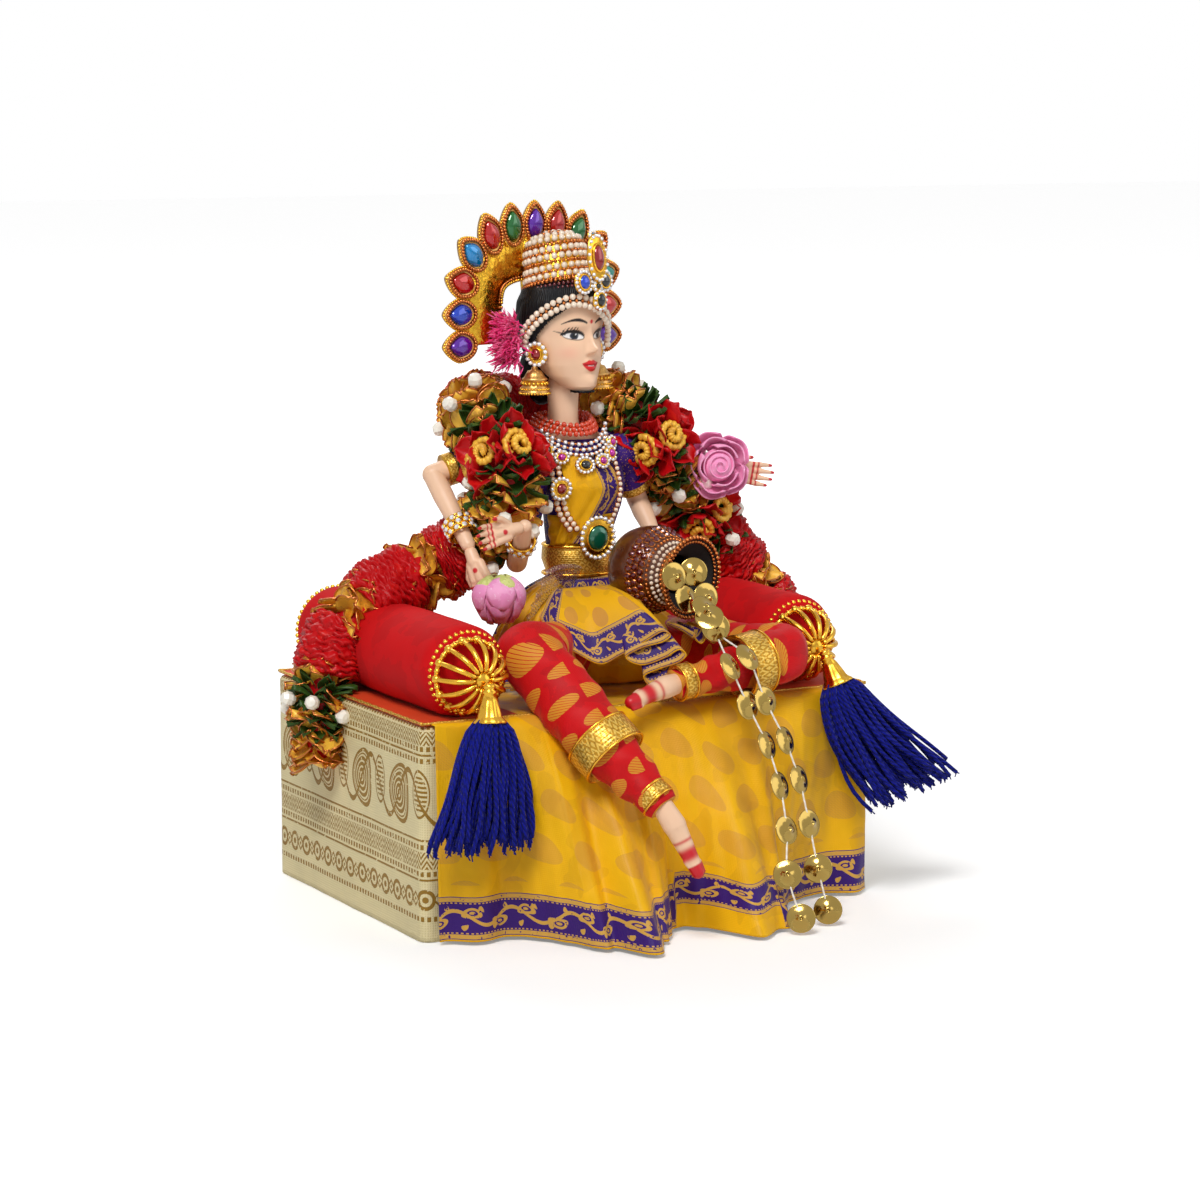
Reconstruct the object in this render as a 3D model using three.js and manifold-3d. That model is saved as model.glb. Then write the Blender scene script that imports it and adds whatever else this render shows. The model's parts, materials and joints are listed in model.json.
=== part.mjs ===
// Golu doll: a four-armed jointed doll seated on a brocade block between two bolsters,
// with garlands, a gem halo, a pot of coins and hanging tassels.
// Millimetres, +Z up, front towards -Y, the doll's left towards +X.
// Origin: centre of the block's underside. "h" is a height above the seat.

import * as THREE from 'three';
import Module from 'manifold-3d';
import { mergeVertices } from 'three/addons/utils/BufferGeometryUtils.js';

const wasm = await Module();
wasm.setup();
const { Manifold, Mesh } = wasm;

// Clearances
const gap = 0.3;
const turnGap = 0.5;
const meshTolerance = 0.12;

// Block and its coverings
const blockLength = 155;
const blockDepth = 109;
const blockHeight = 65;
const coverThickness = 1.5;
const coverCornerRadius = 2.5;
const matThickness = 0.8;
const matInset = 0.5;
const drapeThickness = 1;
const hemClearance = 0.6;

// Bolsters, caps and tassels
const bolsterRadius = 14.3;
const bolsterInset = 18.3;
const bolsterSag = 1.4;
const bolsterBack = 50;
const bolsterFrontRight = 50;
const bolsterFrontLeft = 44;
const capRimRadius = 10.9;
const capDepth = 11.5;
const capRibs = 14;
const capRibRadius = 0.75;
const hubRadius = 3.2;
const bellLength = 12;
const bellTopRadius = 2.3;
const bellRimRadius = 5;
const yarnLength = 36;

// Doll body
const neckRadius = 4.5;
const neckPegTop = 93;
const headHeight = 109;
const headTurn = THREE.MathUtils.degToRad(18);
const sleeveThickness = 0.9;
const clothThickness = 0.8;
const beltHeight = 9;
const bandWidth = 9;

// Head ornaments
const crownRadius = 11.6;
const crownHeight = 19;
const haloHalfWidth = 28;
const haloHalfHeight = 28;
const haloLeg = 9;
const haloShift = -1;
const haloLift = 5.4;
const haloThickness = 1.6;
const gemCount = 13;
const gemSettingLength = 14;
const gemSettingWidth = 9;
const studRadius = 3.75;
const jhumkaRadius = 4.7;
const jhumkaHeight = 8.6;

// Pot and coins
const potRadius = 13.4;
const potLength = 29;
const potWall = 1.8;
const potRimRadius = 12.8;
const coinRadius = 4.4;
const coinThickness = 0.8;
const threadRadius = 0.45;
const threadInset = 1;

// Flowers and garlands
const roseRadius = 9.6;
const roseHeight = 9.5;
const garlandRadius = 11.6;
const garlandRibs = 15;
const garlandRibDepth = 1.1;

const tau = 2 * Math.PI;
const seatTop = blockHeight + gap + matThickness;
const halfLength = blockLength / 2;
const halfDepth = blockDepth / 2;
const front = -halfDepth;
const bolsterX = halfLength - bolsterInset;
const vec = (x, y, z) => new THREE.Vector3(x, y, z);
const onSeat = (x, y, h) => vec(x, y, seatTop + h);

// Finishes
const finishes = {
  vinyl: { color: '#eec3a2', roughness: 0.45, metalness: 0 },
  timber: { color: '#c9a878', roughness: 0.8, metalness: 0 },
  brocade: { color: '#d8c48e', roughness: 0.6, metalness: 0.2 },
  silk: { color: '#e6b61c', roughness: 0.55, metalness: 0 },
  orangeCloth: { color: '#d9481c', roughness: 0.7, metalness: 0 },
  velvet: { color: '#c4101c', roughness: 0.85, metalness: 0 },
  redBrocade: { color: '#d0141c', roughness: 0.65, metalness: 0 },
  purpleSilk: { color: '#3c1c74', roughness: 0.55, metalness: 0 },
  zari: { color: '#d9a832', roughness: 0.4, metalness: 0.6 },
  net: { color: '#a8788c', roughness: 0.7, metalness: 0 },
  gold: { color: '#e6ac38', roughness: 0.25, metalness: 1 },
  yarn: { color: '#101c8c', roughness: 0.9, metalness: 0 },
  hair: { color: '#141418', roughness: 0.5, metalness: 0 },
  feather: { color: '#d6246c', roughness: 0.9, metalness: 0 },
  stones: { color: '#f0e8e0', roughness: 0.15, metalness: 0.2 },
  coral: { color: '#e6481c', roughness: 0.4, metalness: 0 },
  foamPink: { color: '#f08cbc', roughness: 0.8, metalness: 0 },
  lacquer: { color: '#8c5424', roughness: 0.4, metalness: 0.2 },
  coin: { color: '#f0c848', roughness: 0.2, metalness: 1 },
  ribbon: { color: '#b8141c', roughness: 0.6, metalness: 0 },
};

// Geometry helpers

/** Turns a closed surface so that its faces point out. */
function facingOut(geometry) {
  const p = geometry.attributes.position;
  const index = Array.from(geometry.index.array);
  let volume = 0;
  const [a, b, c] = [vec(), vec(), vec()];
  for (let i = 0; i < index.length; i += 3) {
    a.fromBufferAttribute(p, index[i]);
    b.fromBufferAttribute(p, index[i + 1]);
    c.fromBufferAttribute(p, index[i + 2]);
    volume += a.dot(b.cross(c));
  }
  if (volume < 0) {
    for (let i = 0; i < index.length; i += 3) {
      [index[i + 1], index[i + 2]] = [index[i + 2], index[i + 1]];
    }
    geometry.setIndex(index);
  }
  return geometry;
}

/** Closed surface through rings of equal length; open ends are closed by a fan. */
function loft(rings, loop = false) {
  const n = rings[0].length;
  const positions = rings.flat().flatMap((p) => [p.x, p.y, p.z]);
  const index = [];
  const spans = loop ? rings.length : rings.length - 1;
  for (let k = 0; k < spans; k++) {
    const next = (k + 1) % rings.length;
    for (let i = 0; i < n; i++) {
      const j = (i + 1) % n;
      index.push(k * n + i, k * n + j, next * n + j);
      index.push(k * n + i, next * n + j, next * n + i);
    }
  }
  if (!loop) {
    for (const [k, flip] of [[0, true], [rings.length - 1, false]]) {
      const centre = rings[k].reduce((sum, p) => sum.add(p), vec(0, 0, 0)).divideScalar(n);
      const hub = positions.length / 3;
      positions.push(centre.x, centre.y, centre.z);
      for (let i = 0; i < n; i++) {
        const edge = [k * n + i, k * n + ((i + 1) % n)];
        index.push(hub, ...(flip ? edge.reverse() : edge));
      }
    }
  }
  const geometry = new THREE.BufferGeometry();
  geometry.setAttribute('position', new THREE.Float32BufferAttribute(positions, 3));
  geometry.setIndex(index);
  return facingOut(geometry);
}

/** Level ellipse of the given half sizes, optionally squared off by a power. */
function ellipse(x, y, z, a, b, sides, squareness = 1) {
  return Array.from({ length: sides }, (_, i) => {
    const angle = (i / sides) * tau;
    const [c, s] = [Math.cos(angle), Math.sin(angle)];
    const ex = Math.sign(c) * Math.abs(c) ** squareness;
    const ey = Math.sign(s) * Math.abs(s) ** squareness;
    return vec(x + a * ex, y + b * ey, z);
  });
}

/** Rings of a tube through points. radius(t, angle) is in millimetres. */
function tubeRings(points, radius, sides, up = vec(0, 0, 1)) {
  const rings = [];
  let normal = null;
  points.forEach((centre, k) => {
    const before = points[Math.max(0, k - 1)];
    const after = points[Math.min(points.length - 1, k + 1)];
    const along = after.clone().sub(before).normalize();
    if (!normal) normal = Math.abs(along.dot(up)) > 0.9 ? vec(1, 0, 0) : up.clone();
    normal = normal.clone().addScaledVector(along, -normal.dot(along)).normalize();
    const side = along.clone().cross(normal);
    const t = k / (points.length - 1);
    rings.push(Array.from({ length: sides }, (_, i) => {
      const angle = (i / sides) * tau;
      const r = radius(t, angle, k);
      return centre.clone()
        .addScaledVector(normal, r * Math.cos(angle))
        .addScaledVector(side, r * Math.sin(angle));
    }));
  });
  return rings;
}

/** Tapered tube with one radius for each point. */
const taper = (points, radii, sides, up) =>
  loft(tubeRings(points, (t, angle, k) => radii[k], sides, up));

/** Points at equal steps along a smooth curve. */
const smooth = (points, steps) =>
  new THREE.CatmullRomCurve3(points, false, 'centripetal').getSpacedPoints(steps);

/** Lathe of [radius, height] pairs about Z. */
function turned(profile, segments) {
  const points = profile.map(([r, z]) => new THREE.Vector2(r, z));
  const geometry = new THREE.LatheGeometry(points, segments);
  return geometry.rotateX(Math.PI / 2);
}

/** Puts a shape made along +Z at a point, with +Z turned to a direction. */
function placed(geometry, at, direction = vec(0, 0, 1), spin = 0) {
  const turn = new THREE.Quaternion().setFromUnitVectors(vec(0, 0, 1), direction.clone().normalize());
  return geometry.rotateZ(spin).applyQuaternion(turn).translate(at.x, at.y, at.z);
}

/** Solid of a closed geometry. */
function solid(geometry) {
  const shape = geometry.clone();
  shape.deleteAttribute('normal');
  shape.deleteAttribute('uv');
  const merged = facingOut(mergeVertices(shape, 1e-3));
  return new Manifold(new Mesh({
    numProp: 3,
    vertProperties: new Float32Array(merged.attributes.position.array),
    triVerts: new Uint32Array(merged.index.array),
  }));
}

/** Geometry of a solid. */
function surface(body) {
  const mesh = body.simplify(meshTolerance).getMesh();
  const geometry = new THREE.BufferGeometry();
  geometry.setAttribute('position', new THREE.Float32BufferAttribute(mesh.vertProperties, 3));
  geometry.setIndex(Array.from(mesh.triVerts));
  return geometry;
}

const join = (bodies) => bodies.reduce((all, body) => all.add(body));
const cut = (body, ...tools) => tools.reduce((left, tool) => left.subtract(tool), body);

/** The largest connected piece of a solid, which drops slivers that a cut leaves. */
function mainPiece(body) {
  const volume = (part) => (part.volume ? part.volume() : part.getProperties().volume);
  return body.decompose().reduce((best, part) => (volume(part) > volume(best) ? part : best));
}

/** Rod with round ends between two points. */
function capsule(from, to, startRadius, endRadius, sides) {
  const along = to.clone().sub(from);
  const length = along.length();
  const cap = [[0.66, 0.78], [1, 0]];
  const profile = [
    [0, -startRadius], ...cap.map(([r, z]) => [r * startRadius, -z * startRadius]),
    ...cap.map(([r, z]) => [r * endRadius, length + z * endRadius]).reverse(), [0, length + endRadius],
  ];
  return solid(placed(turned(profile, sides), from, along));
}

/** Round-ended rods joined through points with a radius at each. */
const limb = (points, radii, sides = 10) => join(points.slice(1).map((point, k) =>
  capsule(points[k], point, radii[k], radii[k + 1], sides)));

/** Flat plate with an outline, made along +Z from 0. */
function plate(shape, depth, curveSegments = 6) {
  return new THREE.ExtrudeGeometry(shape, { depth, bevelEnabled: false, curveSegments });
}

function roundedRectangle(width, height, radius) {
  const [w, h] = [width / 2, height / 2];
  const shape = new THREE.Shape();
  shape.moveTo(-w + radius, -h);
  shape.lineTo(w - radius, -h);
  shape.absarc(w - radius, -h + radius, radius, -Math.PI / 2, 0);
  shape.lineTo(w, h - radius);
  shape.absarc(w - radius, h - radius, radius, 0, Math.PI / 2);
  shape.lineTo(-w + radius, h);
  shape.absarc(-w + radius, h - radius, radius, Math.PI / 2, Math.PI);
  shape.lineTo(-w, -h + radius);
  shape.absarc(-w + radius, -h + radius, radius, Math.PI, 1.5 * Math.PI);
  return shape;
}

/** Sheet of cloth from a grid of points, with a thickness laid on its outer side. */
function sheet(grid, thickness) {
  const rows = grid.length;
  const columns = grid[0].length;
  const outer = grid.map((row, r) => row.map((p, c) => {
    const across = grid[r][Math.min(columns - 1, c + 1)].clone().sub(grid[r][Math.max(0, c - 1)]);
    const down = grid[Math.min(rows - 1, r + 1)][c].clone().sub(grid[Math.max(0, r - 1)][c]);
    return p.clone().addScaledVector(down.cross(across).normalize(), thickness);
  }));
  const positions = [...grid.flat(), ...outer.flat()].flatMap((p) => [p.x, p.y, p.z]);
  const lower = (r, c) => r * columns + c;
  const upper = (r, c) => rows * columns + lower(r, c);
  const index = [];
  const quad = (a, b, c, d) => index.push(a, b, c, a, c, d);
  for (let r = 0; r < rows - 1; r++) {
    for (let c = 0; c < columns - 1; c++) {
      quad(upper(r, c), upper(r + 1, c), upper(r + 1, c + 1), upper(r, c + 1));
      quad(lower(r, c), lower(r, c + 1), lower(r + 1, c + 1), lower(r + 1, c));
    }
    quad(lower(r, 0), lower(r + 1, 0), upper(r + 1, 0), upper(r, 0));
    const end = columns - 1;
    quad(lower(r + 1, end), lower(r, end), upper(r, end), upper(r + 1, end));
  }
  for (let c = 0; c < columns - 1; c++) {
    quad(lower(0, c + 1), lower(0, c), upper(0, c), upper(0, c + 1));
    const end = rows - 1;
    quad(lower(end, c), lower(end, c + 1), upper(end, c + 1), upper(end, c));
  }
  const geometry = new THREE.BufferGeometry();
  geometry.setAttribute('position', new THREE.Float32BufferAttribute(positions, 3));
  geometry.setIndex(index);
  return facingOut(geometry);
}

// Block and its coverings

function makeBlock() {
  const inside = coverThickness + gap;
  const shape = roundedRectangle(blockLength - 2 * inside, blockDepth - 2 * inside, coverThickness);
  return plate(shape, blockHeight - inside, 2);
}

const coverOutline = (grow) =>
  roundedRectangle(blockLength + 2 * grow, blockDepth + 2 * grow, coverCornerRadius + grow);

function makeCover() {
  const outer = solid(plate(coverOutline(0), blockHeight, 3));
  const inner = solid(plate(coverOutline(-coverThickness), blockHeight, 3).translate(0, 0, -coverThickness));
  return cut(outer, inner);
}

const matShape = (grow) => plate(
  roundedRectangle(blockLength - 2 * matInset + 2 * grow, blockDepth - 2 * matInset + 2 * grow, coverCornerRadius),
  matThickness + 2 * grow,
  3,
).translate(0, 0, blockHeight + gap - grow);

// Bolsters with their caps, bells and tassels

const bolsterSides = {
  right: { sign: -1, frontY: -bolsterFrontRight, lean: vec(-0.06, -0.14, -1), spread: -0.1 },
  left: { sign: 1, frontY: -bolsterFrontLeft, lean: vec(0.3, -0.32, -1), spread: 0.3 },
};

const bolsterCentre = (side) => vec(side.sign * bolsterX, side.frontY, seatTop + bolsterRadius - bolsterSag);
const capCentre = (side) => bolsterCentre(side).add(vec(-1, -gap, -0.3));

function bolsterShape(side, grow) {
  const length = bolsterBack - side.frontY;
  const r = bolsterRadius + grow;
  const crown = [[0, -grow], [0.7, -grow], [0.9, 1.6 - grow], [0.97, 10]];
  const back = crown.map(([share, z]) => [share * r, length - z]).reverse();
  const profile = [...crown.map(([share, z]) => [share * r, z]), [r, length / 2], ...back];
  const body = solid(placed(turned(profile, 18), bolsterCentre(side), vec(0, 1, 0)));
  const below = new THREE.BoxGeometry(4 * r, 3 * length, 2 * r);
  below.translate(side.sign * bolsterX, 0, seatTop + gap - grow - r);
  return cut(body, solid(below));
}

const capHub = (side) => capCentre(side).add(vec(0, -capDepth, 0));

/** A cap rib's path from the hub to the rim, in the cap's own frame with +Z outward. */
function ribPath(angle) {
  const steps = 2;
  return Array.from({ length: steps + 1 }, (_, k) => {
    const bend = (k / steps) * (Math.PI / 2);
    const r = hubRadius * 0.8 + (capRimRadius - hubRadius * 0.8) * Math.sin(bend);
    return vec(r * Math.cos(angle), r * Math.sin(angle), capRibRadius + (capDepth - 2 * capRibRadius) * Math.cos(bend));
  });
}

function makeCap(side) {
  const ribs = Array.from({ length: capRibs }, (_, k) => {
    const path = ribPath((k / capRibs) * tau);
    return solid(taper(path, path.map(() => capRibRadius), 4));
  });
  const rim = new THREE.TorusGeometry(capRimRadius, capRibRadius * 1.25, 4, capRibs);
  rim.translate(0, 0, capRibRadius * 1.25);
  const hub = turned([[0, capDepth - 2.4], [hubRadius, capDepth - 2.4], [hubRadius, capDepth - 0.8], [1.6, capDepth], [0, capDepth]], 8);
  const body = join([solid(rim), solid(hub), ...ribs]);
  return placed(surface(body), capCentre(side), vec(0, -1, 0));
}

/** The cap's dome as a solid, to keep cloth clear of it. */
function capEnvelope(side, grow) {
  const r = capRimRadius + 1.25 * capRibRadius + grow;
  const profile = [[0, -grow], [r, -grow], [r, 3], [0.88 * r, 0.6 * capDepth], [0.66 * r, 0.86 * capDepth], [0.4 * r, capDepth + grow],
    [0, capDepth + grow]];
  return solid(placed(turned(profile, 14), capCentre(side), vec(0, -1, 0)));
}

const bellTop = (side) => capHub(side).add(vec(0, -bellTopRadius - turnGap, 0));

function makeBell(side) {
  const profile = [[0, 0], [bellTopRadius, 0], [bellTopRadius * 1.1, 1.2], [bellTopRadius * 0.8, 1.8],
    [bellTopRadius * 1.25, 5], [bellRimRadius * 0.75, bellLength - 3], [bellRimRadius, bellLength],
    [0, bellLength]];
  const body = placed(turned(profile, 12), vec(0, 0, 0), side.lean);
  const top = bellTop(side);
  return body.translate(top.x, top.y, top.z);
}

function makeYarn(side) {
  const lean = side.lean.clone().normalize();
  const start = bellTop(side).addScaledVector(lean, bellLength + gap);
  const strands = 9;
  const rings = 7;
  const path = Array.from({ length: rings }, (_, k) => {
    const t = k / (rings - 1);
    return start.clone().addScaledVector(lean, t * yarnLength).add(vec(side.spread * yarnLength * t * t, 0, 0));
  });
  const across = vec(1, 0, 0).addScaledVector(lean, -lean.x).normalize();
  const depth = lean.clone().cross(across);
  return loft(path.map((centre, k) => {
    const t = k / (rings - 1);
    const wide = bellRimRadius * (0.8 + 1.9 * t ** 0.7);
    const deep = bellRimRadius * (0.8 + 0.3 * t);
    return Array.from({ length: strands * 2 }, (_, i) => {
      const angle = (i / (strands * 2)) * tau;
      const flute = i % 2 ? 0.86 : 1;
      const drop = k === rings - 1 ? (i % 3) * 0.7 : 0;
      return centre.clone()
        .addScaledVector(across, wide * flute * Math.cos(angle))
        .addScaledVector(depth, deep * flute * Math.sin(angle))
        .addScaledVector(lean, -drop);
    });
  }));
}

// Torso and legs

const neck = onSeat(0.8, 5.5, 79);

/** Body sections: height, centre x, centre y, half width, half depth. */
const bodySections = [
  [3.5, 13, 0, 13, 9], [9, 13, 0, 16.5, 11.5], [17, 12, 1, 15.5, 10.8], [25, 9.5, 2, 12.5, 8.8],
  [33, 6.3, 3, 9.8, 7], [38, 4.8, 3, 9.2, 6.5], [45, 4.8, 2.8, 10.2, 7.2], [54, 5.6, 2, 12.2, 9],
  [61, 5.8, 1.6, 13, 10.2], [68, 5, 3, 13.4, 8.8], [74, 4, 4.6, 14, 6.6], [77, 3, 5.2, 9.5, 5.6],
];

function torsoShape(grow, from = 0, to = bodySections.length - 1, countSides = 16) {
  const rings = bodySections.slice(from, to + 1).map(([h, x, y, a, b]) =>
    ellipse(x, y, seatTop + h, a + grow, b + grow, countSides));
  return loft(rings);
}

function neckShape(grow) {
  const profile = [[0, 75], [neckRadius + 1.5 + grow, 75], [neckRadius + grow, 80], [neckRadius - 0.2 + grow, 89],
    [neckRadius - 0.6 + grow, neckPegTop - 1.5], [neckRadius - 1.8 + grow, neckPegTop + grow], [0, neckPegTop + grow]];
  return placed(turned(profile, 12), vec(neck.x, neck.y, seatTop));
}

const torsoSolid = (grow) => solid(torsoShape(grow)).add(solid(neckShape(grow)));

/** Front of the body at a place, pushed out by a cloth thickness. */
function bodyFront(x, h, out) {
  let k = 0;
  while (k < bodySections.length - 2 && bodySections[k + 1][0] < h) k++;
  const [low, high] = [bodySections[k], bodySections[k + 1]];
  const t = (h - low[0]) / (high[0] - low[0]);
  const [, cx, cy, a, b] = low.map((v, i) => v + (high[i] - v) * t);
  const across = THREE.MathUtils.clamp((x - cx) / (a + out), -0.97, 0.97);
  return onSeat(cx + across * (a + out), cy - (b + out) * Math.sqrt(1 - across * across), h);
}

const legs = {
  right: {
    joints: [onSeat(2, -3, 9.8), onSeat(-38, -48, 16.4), onSeat(-27, -74, -7.5), onSeat(-16.5, -91, -24)],
    toes: [onSeat(-14.2, -93.5, -29), onSeat(-8.5, -97.5, -43)],
    inside: [7.4, 7, 5.6, 3.3],
    outside: [9.2, 10.8, 9.6, 4.9],
  },
  left: {
    joints: [onSeat(24, -3, 10), onSeat(43, -59, 12), onSeat(24, -61.5, 9.6), onSeat(3, -63.5, 7)],
    toes: [onSeat(-1.5, -64.5, 6.4), onSeat(-14, -66.5, 3.2)],
    inside: [7.4, 6.4, 4.6, 3.2],
    outside: [9.4, 9.4, 6.6, 4.8],
  },
};

/** Vinyl leg with its pointed foot. */
function legShape(leg, grow) {
  const shank = limb(leg.joints, leg.inside.map((r) => r + grow), 5);
  const foot = limb([leg.joints[3], leg.toes[0], leg.toes[1]], [3.2 + grow, 3.9 + grow, 2.1 + grow], 7);
  return shank.add(foot);
}

/** Room for the leg inside its legging. */
const legInside = (leg, grow) => limb(leg.joints, leg.inside.map((r) => r + grow), 5)
  .add(limb([leg.joints[3], leg.toes[0]], [3.2 + grow, 3.9 + grow], 7));

/** Cloth legging over thigh and shin, open at the ankle. */
const leggingShape = (leg, grow) => limb(leg.joints, leg.outside.map((r) => r + grow), 9);

/** A point along the shin, from the knee at 0 to the ankle at 1. */
function alongShin(leg, share) {
  const curve = new THREE.CatmullRomCurve3(leg.joints.slice(1), false, 'centripetal');
  return { point: curve.getPointAt(share), direction: curve.getTangentAt(share) };
}

/** Gold band round the legging. */
function bandShape(leg, share, radius, width, grow) {
  const { point, direction } = alongShin(leg, share);
  const profile = [[0, -width / 2 - grow], [radius - 0.8 + grow, -width / 2 - grow], [radius + grow, 0],
    [radius - 0.8 + grow, width / 2 + grow], [0, width / 2 + grow]];
  return solid(placed(turned(profile, 12), point, direction));
}

// Garments round the body

/** Hip cloth: from the waist over the lap to the seat. */
function hipShape(grow) {
  const rows = [
    [0.9, 12, -5, 25, 19], [7, 12, -6, 26, 20.5], [16, 11, -5.5, 24, 20], [23, 9.5, -1.5, 18, 14],
    [29, 7.8, 1.6, 13.2, 10.4], [32.4, 6.6, 2.8, 11.4, 8.8],
  ];
  return solid(loft(rows.map(([h, x, y, a, b], k) => {
    const z = seatTop + h + (k === 0 ? -grow : 0) + (k === rows.length - 1 ? grow : 0);
    return ellipse(x, y, z, a + grow, b + grow, 16, 0.85);
  })));
}

/** Pallu: cloth band from the left hip up across the chest to the right shoulder. */
function makePallu(keepOuts) {
  const rows = [[71, -8, 4], [66, -7, 8.5], [58, -5.2, 11.5], [50, -4, 13.5], [42.6, -2.5, 13.8]];
  const grid = rows.map(([h, left, right]) => Array.from({ length: 9 }, (_, c) =>
    bodyFront(left + ((right - left) * c) / 8, h, sleeveThickness + 2 * gap)));
  return mainPiece(cut(solid(sheet(grid, clothThickness)), ...keepOuts));
}

function makeBelt(grow) {
  const out = clothThickness + 2 * gap + sleeveThickness - grow;
  const half = beltHeight / 2 + grow;
  const at = 37.4;
  const loopRings = Array.from({ length: 20 }, (_, i) => {
    const angle = (i / 20) * tau;
    const ring = (h, extra) => {
      const k = h < 38 ? 4 : 5;
      const [low, high] = [bodySections[k], bodySections[k + 1]];
      const t = (h - low[0]) / (high[0] - low[0]);
      const [, x, y, a, b] = low.map((v, j) => v + (high[j] - v) * t);
      return onSeat(x + (a + extra) * Math.cos(angle), y + (b + extra) * Math.sin(angle), h);
    };
    const outer = out + 2 * grow;
    return [ring(at - half, out), ring(at - half, outer + 1), ring(at, outer + 1.6), ring(at + half, outer + 1), ring(at + half, out)];
  });
  return solid(loft(loopRings, true));
}

/** Accordion of pleats between a left and a right edge, deepest at its free end. */
function pleats(rows, folds) {
  const grid = rows.map(([left, right, depth]) => Array.from({ length: folds * 2 + 1 }, (_, c) => {
    const rise = c % 2 ? depth : -depth * 0.3;
    return left.clone().lerp(right, c / (folds * 2)).add(vec(0, -0.35 * rise, rise));
  }));
  return solid(sheet(grid, clothThickness));
}

/** Sari end that falls forward from the belt over the lap and the left shin. */
const makePleatFan = () => pleats([
  [onSeat(-9, -20, 26.4), onSeat(16, -24, 27), 0.2],
  [onSeat(-23, -32, 25.4), onSeat(13, -37, 23), 0.9],
  [onSeat(-17, -47, 20.5), onSeat(12, -51, 20), 2],
  [onSeat(-12, -60, 17.4), onSeat(12, -63, 17.4), 2.6],
  [onSeat(-8, -71, 9.4), onSeat(11, -71, 8), 2.2],
], 6);

/** Small pleated tail beside the pot. */
const makePleatTail = () => pleats([
  [onSeat(13.5, -38, 20), onSeat(23, -40, 19.6), 0.9],
  [onSeat(13, -47, 19.4), onSeat(24, -49, 18.4), 1.3],
  [onSeat(12.5, -56, 17.6), onSeat(25, -57, 17.2), 1.8],
], 4);

/** Gathered net cloth beside the right hip. */
function makeNet() {
  const rows = [[onSeat(-3, -5, 35), 1.6], [onSeat(-9, -9.5, 35), 2.6], [onSeat(-16, -13, 34.6), 3.2], [onSeat(-22.5, -15, 33.4), 3.4]];
  const grid = rows.map(([centre, half]) => Array.from({ length: 9 }, (_, c) => {
    const share = (c / 8) * 2 - 1;
    return centre.clone().add(vec(half * 0.3 * share, (c % 2 ? 0.7 : -0.7) - half * 0.3 * share, half * share));
  }));
  return solid(sheet(grid, clothThickness));
}

// Arms and hands

const arms = {
  rearRight: {
    joints: [onSeat(-12, 10.5, 73), onSeat(-41.6, 12, 65.3), onSeat(-39.3, -8, 45.4)],
    sleeveEnd: 0.5, hand: vec(2.5, -10, -17.5), palm: vec(0.75, 0.5, -0.2), curl: 3.5,
  },
  frontRight: {
    joints: [onSeat(-11.5, 1, 70), onSeat(-21, -5, 38.5), onSeat(-26.5, -21.5, 51.8)],
    sleeveEnd: 0.8, hand: vec(-16, -3.4, -2), palm: vec(-0.15, -1, 0.1), curl: 3,
  },
  rearLeft: {
    joints: [onSeat(19, 10.8, 73), onSeat(38, 19, 68), onSeat(51.5, -0.6, 64.2)],
    sleeveEnd: 0.7, hand: vec(16, -6, -3), palm: vec(0.4, 0.9, 0), curl: 1.5,
  },
  frontLeft: {
    joints: [onSeat(19.5, 1.8, 70), onSeat(27.5, 5, 54), onSeat(27.5, -5.5, 44)],
    sleeveEnd: 0.75, hand: vec(-6, -4.5, -8), palm: vec(-0.6, -0.8, 0), curl: -0.5,
  },
};
const upperRadius = 3.9;
const elbowRadius = 3.5;
const wristRadius = 2.4;

const upperArm = (arm, grow) =>
  limb([arm.joints[0], arm.joints[1]], [upperRadius + grow, elbowRadius + grow], 8);
const forearm = (arm, grow) =>
  limb([arm.joints[1], arm.joints[2]], [elbowRadius - 0.2 + grow, wristRadius + grow], 8);

function sleeveShape(arm, grow) {
  const [shoulder, elbow] = arm.joints;
  const end = shoulder.clone().lerp(elbow, arm.sleeveEnd);
  const r = upperRadius + gap + sleeveThickness + grow;
  const start = shoulder.clone().lerp(elbow, -0.05);
  return solid(taper([start, end.clone().addScaledVector(elbow.clone().sub(shoulder).normalize(), grow)], [r + 0.6, r], 8));
}

/** Hand made along -Z from the wrist, palm towards -Y, thumb towards +X. */
function handGeometry(curl, mirrored, grow) {
  const palmRings = [[grow, 2.2, 2], [-3, 3, 1.9], [-7, 3.9, 1.7], [-9.6 - grow, 3.6, 1.3]]
    .map(([z, a, b]) => ellipse(0, 0, z, a + grow, b + grow, 8));
  const digits = [[-2.8, 7.2], [-1, 8.6], [0.9, 8.9], [2.7, 7.8]].map(([x, length]) => taper([
    vec(x, 0, -8), vec(x * 1.15, -0.2 * curl, -9 - length * 0.5), vec(x * 1.2, -curl, -9 - length - grow),
  ], [1.15, 1.05, 0.65].map((r) => r + grow * 1.4), 4));
  const thumb = taper([vec(2.4, 0, -3), vec(4.6, -1.4, -7), vec(4.9, -2.6, -10.4 - grow)],
    [1.35, 1.2, 0.7].map((r) => r + grow * 1.4), 4);
  const geometry = surface(join([loft(palmRings), thumb, ...digits].map(solid)));
  return mirrored ? facingOut(geometry.scale(-1, 1, 1)) : geometry;
}

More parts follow.
